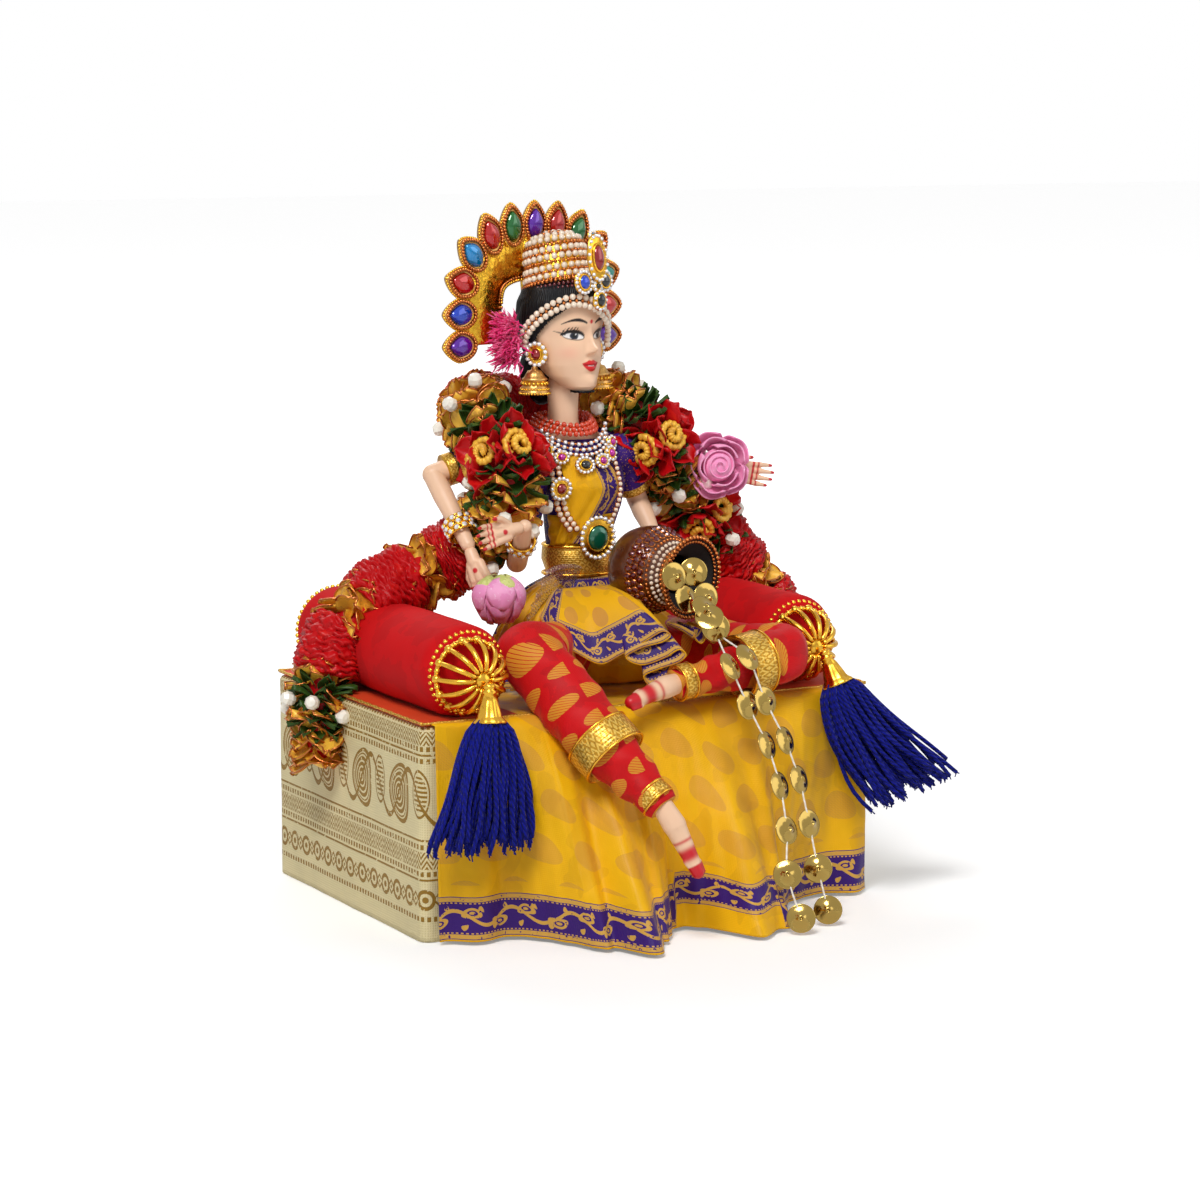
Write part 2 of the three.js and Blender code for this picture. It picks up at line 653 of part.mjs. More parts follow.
/** Hand placed at an arm's wrist, pointing along the arm's hand direction. */
function placedHand(arm, mirrored, grow = 0) {
  const down = arm.hand.clone().normalize().negate();
  const back = arm.palm.clone().addScaledVector(down, -arm.palm.dot(down)).normalize().negate();
  const across = back.clone().cross(down);
  const basis = new THREE.Matrix4().makeBasis(across, back, down);
  const start = arm.joints[2].clone().addScaledVector(down, -wristRadius - turnGap);
  return handGeometry(arm.curl, mirrored, grow).applyMatrix4(basis).translate(start.x, start.y, start.z);
}

const elbowSwing = THREE.MathUtils.degToRad(12);

/** An arm with its forearm swung forward about the elbow by a share of its travel. */
function swung(arm, share) {
  const [shoulder, elbow, wrist] = arm.joints;
  const turn = wrist.clone().sub(elbow).applyAxisAngle(vec(-1, 0, 0), elbowSwing * share);
  return { ...arm, joints: [shoulder, elbow, elbow.clone().add(turn)] };
}

/** Stack of bangles round a forearm, in one ring. */
function makeBangles(arm, share, count, radius, thickness) {
  const [, elbow, wrist] = arm.joints;
  const along = wrist.clone().sub(elbow);
  const middle = elbow.clone().addScaledVector(along, share);
  const width = 2 * thickness;
  const section = [[radius, -count * thickness]];
  for (let k = 0; k < count; k++) {
    section.push([radius + thickness * 1.4, (k + 0.5) * width - count * thickness]);
    section.push([radius + thickness * 0.7, (k + 1) * width - count * thickness]);
  }
  section.push([radius, count * thickness]);
  const rings = Array.from({ length: 12 }, (_, i) => section.map(([r, z]) =>
    vec(r * Math.cos((i / 12) * tau), r * Math.sin((i / 12) * tau), z)));
  return solid(placed(loft(rings, true), middle, along));
}


// Flowers

/** Petalled bud made along +Z from its base. */
function budGeometry(radius, height, petals, sharpness) {
  const profile = [0, 0.16, 0.4, 0.65, 0.86, 1];
  const width = [0.3, 0.78, 1, 0.92, 0.6, 0.16];
  const rings = profile.map((z, k) => Array.from({ length: petals * 3 }, (_, i) => {
    const angle = (i / (petals * 3)) * tau + k * 0.12;
    const lobe = 1 - sharpness * (i % 3 === 0 ? 1 : 0);
    return vec(radius * width[k] * lobe * Math.cos(angle), radius * width[k] * lobe * Math.sin(angle), z * height);
  }));
  return loft(rings);
}

// Head and its ornaments, in the head's own frame with the neck's axis as Z

/** Head sections: height, half width, front, back. */
const headSections = [
  [-18.2, 2.6, -11.2, -5.5], [-16.8, 5.4, -12.4, -1], [-13.5, 8.3, -12.2, 4], [-10, 10.1, -12.4, 8],
  [-6, 11.5, -12, 11], [-1, 12.6, -11.6, 13], [4, 13, -12.6, 13.8], [9, 12.5, -12.2, 13.2],
  [13.5, 10.8, -10.2, 11.2], [17.5, 7.8, -6.8, 8], [20, 3.6, -3, 3.8],
];

function headShape(grow, flatten = 0, count = 24) {
  const rings = headSections.map(([z, w, f, b], k) => {
    const [middle, half] = [(f + b) / 2, (b - f) / 2];
    const end = k === 0 ? -grow : k === headSections.length - 1 ? grow : 0;
    return Array.from({ length: count }, (_, i) => {
      const angle = (i / count) * tau;
      const x = (w + grow) * Math.cos(angle);
      const y = middle + (half + grow) * Math.sin(angle);
      const nose = Math.exp(-((x / 1.7) ** 2) - (((z + 4.4) / 3.2) ** 2)) * 5.2;
      const lips = Math.exp(-((x / 3) ** 2) - (((z + 10) / 1.9) ** 2)) * 1.6;
      const socket = Math.exp(-(((Math.abs(x) - 5.2) / 2.6) ** 2) - (((z + 0.6) / 2.2) ** 2)) * 0.8;
      const bump = Math.sin(angle) < 0 ? (nose + lips - socket) * (1 - flatten) : 0;
      return vec(x, y - bump, z + end);
    });
  });
  return loft(rings);
}

function makeHead() {
  const socket = placed(turned([
    [0, -30], [neckRadius + turnGap, -30], [neckRadius + turnGap, -18.5], [neckRadius + turnGap, neckPegTop - headHeight],
    [neckRadius - 1, neckPegTop - headHeight + turnGap], [0, neckPegTop - headHeight + turnGap],
  ], 16), vec(0, 0, 0));
  return cut(solid(headShape(0)), solid(socket));
}

/** Window that the hair leaves open for the face. */
function faceWindow() {
  const shape = new THREE.Shape();
  shape.absellipse(0, -5.6, 12.4, 15.2, 0, tau);
  return solid(plate(shape, 30, 8).rotateX(Math.PI / 2).translate(0, 0.6, 0));
}

function hairOuter(grow) {
  const nape = loft([
    ellipse(0, 7.5, -22 - grow, 5 + grow, 4.5 + grow, 10), ellipse(0, 7.6, -15, 8.6 + grow, 6.6 + grow, 10),
    ellipse(0, 6, -6, 9.5, 7, 10),
  ]);
  return solid(headShape(1.5 + grow, 1, 16)).add(solid(nape));
}

const neckBore = () => solid(turned([[0, -40], [neckRadius + 2.2, -40], [neckRadius + 1.4, -12], [0, -12]], 10));

function makeHair() {
  return mainPiece(cut(hairOuter(0), solid(headShape(2 * gap, 1, 16)), faceWindow(), neckBore()));
}

const crownTilt = THREE.MathUtils.degToRad(-13);
const crownBase = 11.8;

/** Crown: beaded tiers that narrow to a dome. */
function crownProfile(grow) {
  const r = crownRadius + grow;
  return [
    [0, -grow], [r, -grow], [r + 0.6, 1.4], [r, 3], [r + 0.7, 4.8], [r, 6.4], [r + 0.1, 9], [r + 0.6, 10.8], [r, 12.4],
    [r - 0.6, 15], [r - 2.8, crownHeight - 1.6], [r - 7, crownHeight - 0.3], [0, crownHeight + grow],
  ];
}

const crownSolid = (grow) => solid(turned(crownProfile(grow), 18).rotateX(crownTilt).translate(0, 0.6, crownBase));
const makeCrown = () => mainPiece(cut(crownSolid(0), hairOuter(gap), solid(headShape(2 * gap))));

/** Stone in a ring of small stones, made flat along +Z. */
function flowerStone(radius, depth, petals = 6) {
  const rim = Array.from({ length: petals * 2 }, (_, i) => {
    const angle = (i / (petals * 2)) * tau;
    const r = radius * (i % 2 ? 0.9 : 1);
    return [r * Math.cos(angle), r * Math.sin(angle)];
  });
  const ring = (scale, z) => rim.map(([x, y]) => vec(x * scale, y * scale, z));
  return loft([ring(1, 0), ring(1, depth * 0.55), ring(0.45, depth)]);
}

/** Two pearl rows that follow the hairline from ear to ear. */
function chainShape(grow) {
  const points = Array.from({ length: 13 }, (_, k) => {
    const angle = Math.PI * (0.1 + (0.8 * k) / 12);
    const x = 13.9 * Math.cos(angle);
    const z = -5.2 + 15.6 * Math.sin(angle);
    const depth = 13.6 * Math.sqrt(Math.max(0.02, 1 - (x / 15.4) ** 2)) * Math.max(0.25, Math.sin(angle));
    return vec(x, -2 - depth * 0.95, z);
  });
  return solid(loft(tubeRings(points, () => 1.5 + grow, 5, vec(0, -1, 0))));
}

const makeForeheadChain = () => mainPiece(cut(chainShape(0), hairOuter(gap), solid(headShape(gap))));

function makeBrooch() {
  const leaf = new THREE.Shape();
  leaf.moveTo(0, -7);
  leaf.quadraticCurveTo(6.2, 0, 0, 8);
  leaf.quadraticCurveTo(-6.2, 0, 0, -7);
  const lean = vec(0, -1, 0.12);
  const marquise = placed(plate(leaf, 1.6, 6), vec(0, -12.6, 22.5), lean);
  const bar = placed(plate(roundedRectangle(9, 4.4, 1), 1.4, 2), vec(0, -13.3, 15.8), lean);
  const [left, right] = [-3.6, 3.6].map((x) => placed(flowerStone(3, 2.2, 8), vec(x, -13.1, 16.4), lean));
  const drop = placed(flowerStone(2.4, 2.2, 8), vec(0, -15.6, 10.6), vec(0, -1, 0));
  const neckBar = placed(plate(roundedRectangle(1.6, 5, 0.4), 2.6, 2), vec(0, -13.9, 13), lean);
  const body = join([marquise, bar, left, right, drop, neckBar].map(solid));
  return mainPiece(cut(body, crownSolid(gap), hairOuter(gap), chainShape(gap)));
}

/** Gem setting: a leaf-shaped dish with a cut stone, pointing along +Y from its root. */
function gemSetting() {
  const half = gemSettingWidth / 2;
  const outline = (scale, z) => Array.from({ length: 8 }, (_, i) => {
    const t = i / 8;
    const angle = t * tau;
    const point = Math.max(0, Math.cos(angle)) ** 3;
    const y = (Math.cos(angle) * 0.5 + 0.5 - 0.06 * point) * gemSettingLength;
    const x = Math.sin(angle) * half * (1 - 0.45 * point);
    return vec(x * scale, gemSettingLength / 2 + (y - gemSettingLength / 2) * scale, z);
  });
  return loft([outline(1, 0), outline(1, haloThickness), outline(0.35, haloThickness + 1.8)]);
}

const haloPlane = 12.8;

/** Places along the halo's arch, a flat-topped horseshoe, offset outward. */
function haloArch(count, offset) {
  const [halfWidth, halfHeight, power, legDrop] = [haloHalfWidth, haloHalfHeight, 0.77, haloLeg];
  const raw = [vec(halfWidth, -legDrop, 0)];
  for (let k = 0; k <= 20; k++) {
    const angle = (k / 20) * Math.PI;
    const c = Math.cos(angle);
    raw.push(vec(halfWidth * Math.sign(c) * Math.abs(c) ** power, halfHeight * Math.sin(angle) ** power, 0));
  }
  raw.push(vec(-halfWidth, -legDrop, 0));
  const curve = new THREE.CatmullRomCurve3(raw, false, 'centripetal');
  return Array.from({ length: count }, (_, k) => {
    const t = k / (count - 1);
    const along = curve.getTangentAt(t);
    const out = vec(along.y, -along.x, 0);
    return { point: curve.getPointAt(t).addScaledVector(out, offset), out };
  });
}

function makeHalo() {
  const outer = haloArch(17, -4);
  const inner = haloArch(17, -9.5).reverse();
  const shape = new THREE.Shape([...outer, ...inner].map(({ point }) => new THREE.Vector2(point.x, point.y)));
  const settings = haloArch(gemCount, -gemSettingLength / 2).map(({ point, out }) =>
    solid(gemSetting().rotateZ(Math.atan2(out.y, out.x) - Math.PI / 2).translate(point.x, point.y, 0)));
  const bridge = new THREE.Shape();
  bridge.moveTo(-4, -2);
  bridge.lineTo(4, -2);
  bridge.lineTo(7, haloHalfHeight - 6);
  bridge.lineTo(-7, haloHalfHeight - 6);
  const body = join([solid(plate(shape, haloThickness)), solid(plate(bridge, haloThickness)), ...settings]);
  const placedBody = surface(body).rotateX(Math.PI / 2).translate(haloShift, haloPlane, haloLift);
  return mainPiece(cut(solid(placedBody), crownSolid(gap), hairOuter(gap)));
}

function makeFeather() {
  const tuft = Array.from({ length: 5 }, (_, k) => {
    const t = k / 4;
    return Array.from({ length: 14 }, (_, i) => {
      const angle = (i / 14) * tau;
      const r = (2 + 3.4 * Math.sin(Math.PI * Math.min(0.9, t + 0.1))) * (i % 2 ? 0.7 : 1);
      return vec(-18.2 + 1.4 * t + r * Math.cos(angle) * 0.9, 6.4 + r * Math.sin(angle) * 0.7, -10.5 + 15 * t);
    });
  });
  return mainPiece(cut(solid(loft(tuft)), hairOuter(gap), solid(headShape(2))));
}

const studAt = (sign) => vec(sign * 12.7, -1.6, -6.4);
const jhumkaHook = (sign) => vec(sign * 14.2, -1.6, -10.2);

function makeStud(sign) {
  const flower = placed(flowerStone(studRadius, 2, 7), studAt(sign), vec(sign, -0.25, 0));
  return cut(solid(flower), hairOuter(gap), solid(headShape(gap)));
}

/** Bell earring with a dished underside. */
function makeJhumka(sign) {
  const [r, h] = [jhumkaRadius, jhumkaHeight];
  const profile = [
    [0, 0], [0.9, -0.2], [1.1, -1], [2.4, -1.4], [0.72 * r, -3.4], [0.8 * r, -4], [0.78 * r, -6.2], [r, -7.6], [r, -h],
    [0.8 * r, -h], [0, 1 - h],
  ];
  const hook = jhumkaHook(sign);
  return turned(profile.reverse(), 11).translate(hook.x, hook.y, hook.z);
}

// Jewellery on the chest

/** Beaded strand that lies on the chest through [x, h] places. */
function strand(places, radius, out, steps, sidesCount = 6) {
  const points = smooth(places.map(([x, h]) => bodyFront(x, h, out + radius)), steps);
  return solid(loft(tubeRings(points, (t) => radius * (1 + 0.12 * Math.cos(steps * Math.PI * t)), sidesCount, vec(0, -1, 0))));
}

const chestOut = sleeveThickness + clothThickness + 6 * gap;

function makeCoral() {
  const loopPoints = Array.from({ length: 22 }, (_, k) => {
    const angle = (k / 22) * tau;
    const frontness = Math.max(0, -Math.sin(angle));
    const x = neck.x + 0.6 * frontness + 8.4 * Math.cos(angle);
    const y = neck.y - 1.4 * frontness + 7.6 * Math.sin(angle);
    const ring = (dr, dh) => {
      const away = vec(Math.cos(angle), Math.sin(angle), 0);
      return vec(x, y, seatTop + 79.7 - 2.2 * frontness + dh).addScaledVector(away, dr);
    };
    return [ring(-0.8, 1.8), ring(0.9, 1.6), ring(1.9, 0), ring(2.3, -1.8), ring(0.7, -1.4), ring(-0.4, 0.2)];
  });
  return solid(loft(loopPoints, true));
}

/** Stone places on the collar necklace: x, height, radius. */
const collarStones = [[-8.4, 72.6, 2.4], [-5.6, 70.4, 2.4], [0.8, 68, 3.4], [7, 69, 2.6], [11, 71, 2.4], [12.6, 73.8, 2]];

function makeCollar(grow) {
  const band = strand(collarStones.map(([x, h]) => [x, h + 1.6]), 1.3 + grow, chestOut - grow, 8, 4);
  const stones = collarStones.map(([x, h, r]) => {
    const at = bodyFront(x, h, chestOut - grow);
    return solid(placed(flowerStone(r + grow, 1.8 + 2 * grow, 5), at, vec(0.03 * x, -1, 0.25)));
  });
  return join([band, ...stones]);
}

/** Chain with a round pendant at its lowest place. */
function makePendant(places, radius, pendant, stoneRadius, petals) {
  const chain = strand(places, radius, chestOut, 12, 4);
  const at = bodyFront(pendant[0], pendant[1], chestOut + 0.2);
  const stone = placed(flowerStone(stoneRadius, 2.8, petals), at, vec(0, -1, -0.05));
  return chain.add(solid(stone));
}

// Pot of coins

const potMiddle = onSeat(14.8, -26.5, 36.6);
const potAxis = vec(0.32, -0.94, -0.06).normalize();

function potProfile() {
  const [r, w, rim] = [potRadius, potWall, potRimRadius];
  return [
    [0, 0], [0.45 * r, 0.4], [0.82 * r, 3.8], [r, 10], [r, 13.5], [0.84 * r, 18.5], [0.58 * r, 22.6],
    [0.68 * r, 25.6], [rim, potLength - 0.8], [rim, potLength], [rim - 1.4, potLength],
    [0.58 * r - w, 23], [0.84 * r - w, 17.6], [r - w, 13], [r - w, 10.4], [0.7 * r - w, 4], [0, 2],
  ];
}

const potPlace = (geometry) => placed(geometry, potMiddle.clone().addScaledVector(potAxis, -11.8), potAxis);
const makePot = () => potPlace(turned(potProfile(), 16));
const potEnvelope = (grow) => {
  const r = potRadius + grow;
  return solid(potPlace(turned([
    [0, -grow], [0.5 * r, -grow], [0.86 * r, 3.4], [r, 9.5], [r, 14], [0.84 * r, 19], [0.72 * r, 22],
    [0.78 * r, 25], [potRimRadius + grow, potLength - 1.6], [potRimRadius + grow, potLength + grow], [0, potLength + grow],
  ], 14)));
};

function coin(at, normal) {
  return placed(new THREE.CylinderGeometry(coinRadius, coinRadius, coinThickness, 9).rotateX(Math.PI / 2), at, normal);
}

/** Coins on a thread through the given points; each coin turns to its own normal. */
function coinString(points, normals, inset, lead) {
  const coins = points.map((p, k) => {
    const after = points[Math.min(k + 1, points.length - 1)];
    const before = points[k - 1] ?? lead ?? points[0];
    const along = after.clone().sub(before).normalize();
    const normal = normals[k % normals.length].clone();
    return solid(coin(p, normal.addScaledVector(along, -normal.dot(along))));
  });
  const links = points.slice(1).map((p, k) => {
    const along = p.clone().sub(points[k]).normalize().multiplyScalar(inset);
    return solid(taper([points[k].clone().add(along), p.clone().sub(along)], [threadRadius, threadRadius], 4));
  });
  if (!lead) return join([...coins, ...links]);
  const rise = lead.clone().sub(points[0]).normalize().multiplyScalar(inset / 2);
  return join([...coins, ...links, solid(taper([lead, points[0].clone().add(rise)], [threadRadius, threadRadius], 4))]);
}

const clusterPoints = [
  onSeat(11, -48.2, 37.2), onSeat(18.4, -47, 38), onSeat(14.6, -49.4, 30.2), onSeat(20.6, -51, 30.6),
  onSeat(18.6, -60.5, 22.6),
];

/** Loose thread from the cluster's last coin to each string's first. */
const leadPoints = { right: onSeat(17.3, -64.4, 19.5), left: onSeat(19.2, -64.3, 19.8) };

const stringPoints = {
  right: [onSeat(15.9, -74, 12.9), onSeat(21.2, -75.5, 0.8), onSeat(26.2, -78.5, -11.3), onSeat(28.5, -82.4, -23.4),
    onSeat(27.9, -87.5, -36), onSeat(25.4, -92.4, -48.4), onSeat(27.2, -97.4, -61)],
  left: [onSeat(21.8, -74, 15.2), onSeat(27.4, -75.5, 1.6), onSeat(32.6, -78.5, -10.5), onSeat(35.5, -82, -22.2),
    onSeat(37.1, -85.5, -35.4), onSeat(38.2, -89, -48.6), onSeat(40, -92, -61)],
};

// Garlands

const garlandPaths = {
  right: [vec(-3, 31, 83), vec(-15, 27, 84), vec(-26, 14, 84), vec(-25.5, -4, 73), vec(-25, -7, 60), vec(-29, 5, 45),
    vec(-38, 12, 37.5), vec(-52, 13, 32), vec(-66, 12.5, 24), vec(-77, 12, 10), vec(-81, 11, -6), vec(-81, 11, -20)],
  left: [vec(3, 31, 83), vec(15, 26, 84), vec(29, 14, 83), vec(37, 8, 73), vec(45, 8, 58), vec(54, 9, 45), vec(66, 11, 32),
    vec(77, 10, 19), vec(82.5, 9, 6), vec(84, 9, -8), vec(84, 9, -20)],
};

function garlandShape(name, keepOuts) {
  const points = smooth(garlandPaths[name].map((p) => onSeat(p.x, p.y, p.z)), garlandRibs * 2);
  const fullness = name === 'right' ? 1 : 0.92;
  const radius = (t, angle, k) => {
    const swell = 1 - 0.2 * Math.abs(2 * t - 1) ** 3;
    const petal = 0.35 * Math.cos(5 * angle + 9 * t);
    return fullness * garlandRadius * swell + petal + (k % 2 ? garlandRibDepth : -garlandRibDepth);
  };
  return mainPiece(cut(solid(loft(tubeRings(points, radius, 8))), ...keepOuts));
}

// Drape: silk laid over the block's top between the bolsters, falling to the floor in folds

/** Hem line on the floor, from the right end to the left end. */
const hemLine = [
  [-74, -60], [-64, -62.5], [-54, -63], [-46, -69], [-39, -79], [-33, -91], [-25, -99.5], [-18, -96],
  [-12, -84], [-4, -77.5], [4, -84], [11, -93], [19, -97.5], [27, -88], [33, -76], [42, -63.5], [58, -60.5], [74, -60],
];

function makeDrape(keepOuts) {
  const columns = 34;
  const hem = new THREE.CatmullRomCurve3(hemLine.map(([x, y]) => vec(x, y, 0))).getSpacedPoints(columns);
  const innerHalf = bolsterX - bolsterRadius - 2 * gap;
  const topZ = seatTop + gap;
  const edgeY = front - gap;
  const laid = [0, 0.5, 1];
  const fallen = [0.16, 0.37, 0.6, 0.8, 1];
  const rowAt = (make) => Array.from({ length: columns + 1 }, (_, c) => make(c, (c / columns) * 2 - 1));
  const xTop = (side) => side * (halfLength - 3.5);
  const rows = laid.map((t) => rowAt((c, side) => {
    const x = xTop(side);
    const back = Math.abs(x) < innerHalf ? 34 : front + 1.2;
    return vec(x, back + (front + 0.4 - back) * t, topZ);
  }));
  rows.push(rowAt((c, side) => vec(xTop(side), edgeY - 0.9, topZ - 0.9)));
  fallen.forEach((t) => rows.push(rowAt((c, side) => {
    const ripple = Math.sin((c / columns) * tau * 9 + 0.6) * 1.5 * t * (Math.abs(side) > 0.55 ? 0.5 : 1);
    const x = xTop(side) + (hem[c].x - xTop(side)) * t;
    const y = edgeY - 1.8 + (hem[c].y - edgeY + 1.8) * t ** 0.92 + ripple;
    return vec(x, Math.min(y, edgeY - 0.4), topZ - 2 + (hemClearance - topZ + 2) * t);
  })));
  const cloth = solid(sheet(rows, drapeThickness));
  return mainPiece(cut(cloth, ...keepOuts));
}

// Assembly

const doll = new THREE.Group();

/** Adds a piece with its name and finish. */
function add(name, shape, finish, parent = doll) {
  const geometry = shape.isBufferGeometry ? shape : surface(shape);
  const flat = geometry.index ? geometry.toNonIndexed() : geometry;
  flat.computeVertexNormals();
  const mesh = new THREE.Mesh(flat, new THREE.MeshStandardMaterial({ ...finishes[finish] }));
  mesh.name = name;
  parent.add(mesh);
  return mesh;
}

function group(name) {
  const node = new THREE.Group();
  node.name = name;
  doll.add(node);
  return node;
}

// Block, cloths and bolsters
add('wooden_block', makeBlock(), 'timber');
add('brocade_cover', makeCover(), 'brocade');
add('seat_mat', matShape(0), 'orangeCloth');
for (const [name, side] of Object.entries(bolsterSides)) {
  add(`bolster_${name}`, bolsterShape(side, 0), 'velvet');
  add(`bolster_cap_${name}`, makeCap(side), 'gold');
  add(`tassel_bell_${name}`, makeBell(side), 'gold');
  add(`tassel_yarn_${name}`, makeYarn(side), 'yarn');
}

// Body, legs and their cloths
const armList = Object.values(arms);
const armRoom = (grow) => armList.map((arm) => upperArm(arm, grow));
const legRoom = Object.values(legs).map((leg) => legInside(leg, 2 * gap));
const bodyRoom = torsoSolid(gap);
add('torso', torsoSolid(0), 'vinyl');
const hipRoom = hipShape(gap);
const potRoom = potEnvelope(gap);
const capRoom = Object.values(bolsterSides).map((side) => capEnvelope(side, gap));
const bolsterRoom = Object.values(bolsterSides).map((side) => bolsterShape(side, gap));
const seatRoom = [solid(matShape(gap)), solid(plate(coverOutline(gap), blockHeight + gap, 3))];
const bands = { right: [0.6, 10.4], left: [0.32, 9.6] };
for (const [name, leg] of Object.entries(legs)) {
  add(`leg_${name}`, mainPiece(cut(legShape(leg, 0), bodyRoom, ...seatRoom)), 'vinyl');
  const band = (radius, grow) => bandShape(leg, bands[name][0], radius, bandWidth, grow);
  const inner = leggingShape(leg, gap);
  const legging = cut(leggingShape(leg, 0), legInside(leg, 2 * gap), hipRoom, potRoom, ...bolsterRoom, ...capRoom, ...seatRoom);
  add(`legging_${name}`, mainPiece(legging), 'redBrocade');
  const ring = cut(band(bands[name][1], 0), inner, ...seatRoom, ...capRoom);
  add(`calf_band_${name}`, mainPiece(ring), 'zari');
}
const leggingRoom = Object.values(legs).map((leg) => leggingShape(leg, gap));
const bandRoom = Object.entries(legs).map(([name, leg]) => bandShape(leg, bands[name][0], bands[name][1], bandWidth, gap));

const sleeves = armList.map((arm) => sleeveShape(arm, 0));
const blouseBody = solid(torsoShape(gap + sleeveThickness, 5, 10));
add('blouse', mainPiece(cut(join([blouseBody, ...sleeves]), bodyRoom, ...armRoom(gap))), 'purpleSilk');
const sleeveRoom = armList.map((arm) => sleeveShape(arm, gap));
add('waist_belt', makeBelt(0), 'zari');
add('hip_wrap', mainPiece(cut(hipShape(0), bodyRoom, ...legRoom, ...seatRoom, potRoom)), 'silk');
const waistRoom = [makeBelt(gap), solid(torsoShape(2 * gap + sleeveThickness, 5, 10))];
add('pallu', makePallu([bodyRoom, ...waistRoom, ...sleeveRoom, ...armRoom(gap)]), 'silk');
const lapRoom = [...leggingRoom, ...legRoom, ...bandRoom, hipRoom, potRoom];
add('pleat_fan', mainPiece(cut(makePleatFan(), ...lapRoom)), 'purpleSilk');
add('pleat_tail', mainPiece(cut(makePleatTail(), ...lapRoom)), 'purpleSilk');
add('net_stole', mainPiece(cut(makeNet(), ...waistRoom, bodyRoom, hipRoom)), 'net');

// Arms with what they hold
const { rearRight, frontRight, rearLeft, frontLeft } = arms;
const elbowRoom = [0, 0.5, 1].map((share) => forearm(swung(rearRight, share), turnGap));
add('upper_arm_rear_right', mainPiece(cut(upperArm(rearRight, 0), bodyRoom, ...elbowRoom)), 'vinyl');
const lowerArm = group('rear_right_forearm');
add('forearm_rear_right', forearm(rearRight, 0), 'vinyl', lowerArm);
add('bracelets_rear_right', makeBangles(rearRight, 0.76, 3, 3.8, 0.9), 'gold', lowerArm);
add('hand_rear_right', placedHand(rearRight, false), 'vinyl', lowerArm);
const rearRightHandRoom = solid(placedHand(rearRight, false, gap));
const lotusAt = onSeat(-35.6, -21, 35.6);
const lotus = placed(budGeometry(8.8, 13, 5, 0.14), lotusAt, vec(0, -0.12, -1));
add('lotus_bud', mainPiece(cut(solid(lotus), rearRightHandRoom, ...leggingRoom)), 'foamPink', lowerArm);

const wholeArm = (arm) => upperArm(arm, 0).add(forearm(arm, 0));
add('arm_front_right', mainPiece(cut(wholeArm(frontRight), bodyRoom)), 'vinyl');
add('bracelets_front_right', makeBangles(frontRight, 0.55, 2, 3.7, 0.9), 'gold');
add('hand_front_right', placedHand(frontRight, true), 'vinyl');

add('arm_rear_left', mainPiece(cut(wholeArm(rearLeft), bodyRoom)), 'vinyl');
add('hand_rear_left', placedHand(rearLeft, true), 'vinyl');
const roseAt = onSeat(51, -3.4, 65.2);
const roseFacing = vec(-0.3, -1, 0.05).normalize();

/** The rose grown outward, and back from its root, by the room that it swings through. */
function roseShape(grow, back = 0) {
  const bud = budGeometry(roseRadius + grow, roseHeight + grow + back, 5, 0.12);
  return solid(placed(bud, roseAt.clone().addScaledVector(roseFacing, -back), roseFacing));
}
add('rose', mainPiece(cut(roseShape(0), solid(placedHand(rearLeft, true, gap)), forearm(rearLeft, 2 * turnGap))), 'foamPink');

add('pot', makePot(), 'lacquer');
add('arm_front_left', mainPiece(cut(wholeArm(frontLeft), bodyRoom, potRoom)), 'vinyl');
add('hand_front_left', placedHand(frontLeft, false), 'vinyl');
add('coin_cluster', coinString(clusterPoints, [vec(0.1, -1, 0.2), vec(-0.3, -1, 0.2), vec(0.3, -1, 0.4)], 0), 'coin');
const coinFacings = [vec(-0.6, -1, 0.1), vec(-0.3, -1, 0), vec(-0.5, -1, 0.1)];
add('coin_string_right', coinString(stringPoints.right, coinFacings, threadInset, leadPoints.right), 'coin');
add('coin_string_left', coinString(stringPoints.left, coinFacings, threadInset, leadPoints.left), 'coin');

// Garlands and jewellery
const wristRoom = (arm, room) => limb([arm.joints[1], arm.joints[2]], [elbowRadius + room, elbowRadius + room], 8);
const roseSweep = 2.6;
const roseBackSweep = 2.2;
const garlandKeepOuts = [
  bodyRoom, ...sleeveRoom, ...armRoom(gap), ...bolsterRoom, ...seatRoom,
  ...[0, 0.5, 1].map((share) => wristRoom(swung(rearRight, share), 2.4)),
  wristRoom(frontRight, 2), wristRoom(rearLeft, gap), wristRoom(frontLeft, gap), potRoom, ...leggingRoom, hipRoom,
  roseShape(roseSweep, roseBackSweep),
];
add('garland_right', garlandShape('right', garlandKeepOuts), 'ribbon');
add('garland_left', garlandShape('left', garlandKeepOuts), 'ribbon');
add('coral_necklace', makeCoral(), 'coral');
const chestRoom = [...sleeveRoom, ...armRoom(gap), bodyRoom];
add('collar_necklace', mainPiece(cut(makeCollar(0), ...chestRoom)), 'stones');
const collarRoom = makeCollar(gap);
const rubyChain = makePendant([[-7.6, 71], [-7.4, 62], [-5.4, 53], [-2.2, 48]], 1.3, [-7, 61], 3.2, 8);
add('ruby_chain', mainPiece(cut(rubyChain, ...chestRoom, collarRoom)), 'stones');
const emeraldChain = makePendant([[12.6, 71], [12.8, 60], [11.4, 52], [8, 46]], 0.8, [5.6, 45], 5.6, 11);
add('emerald_chain', mainPiece(cut(emeraldChain, ...chestRoom, collarRoom)), 'stones');

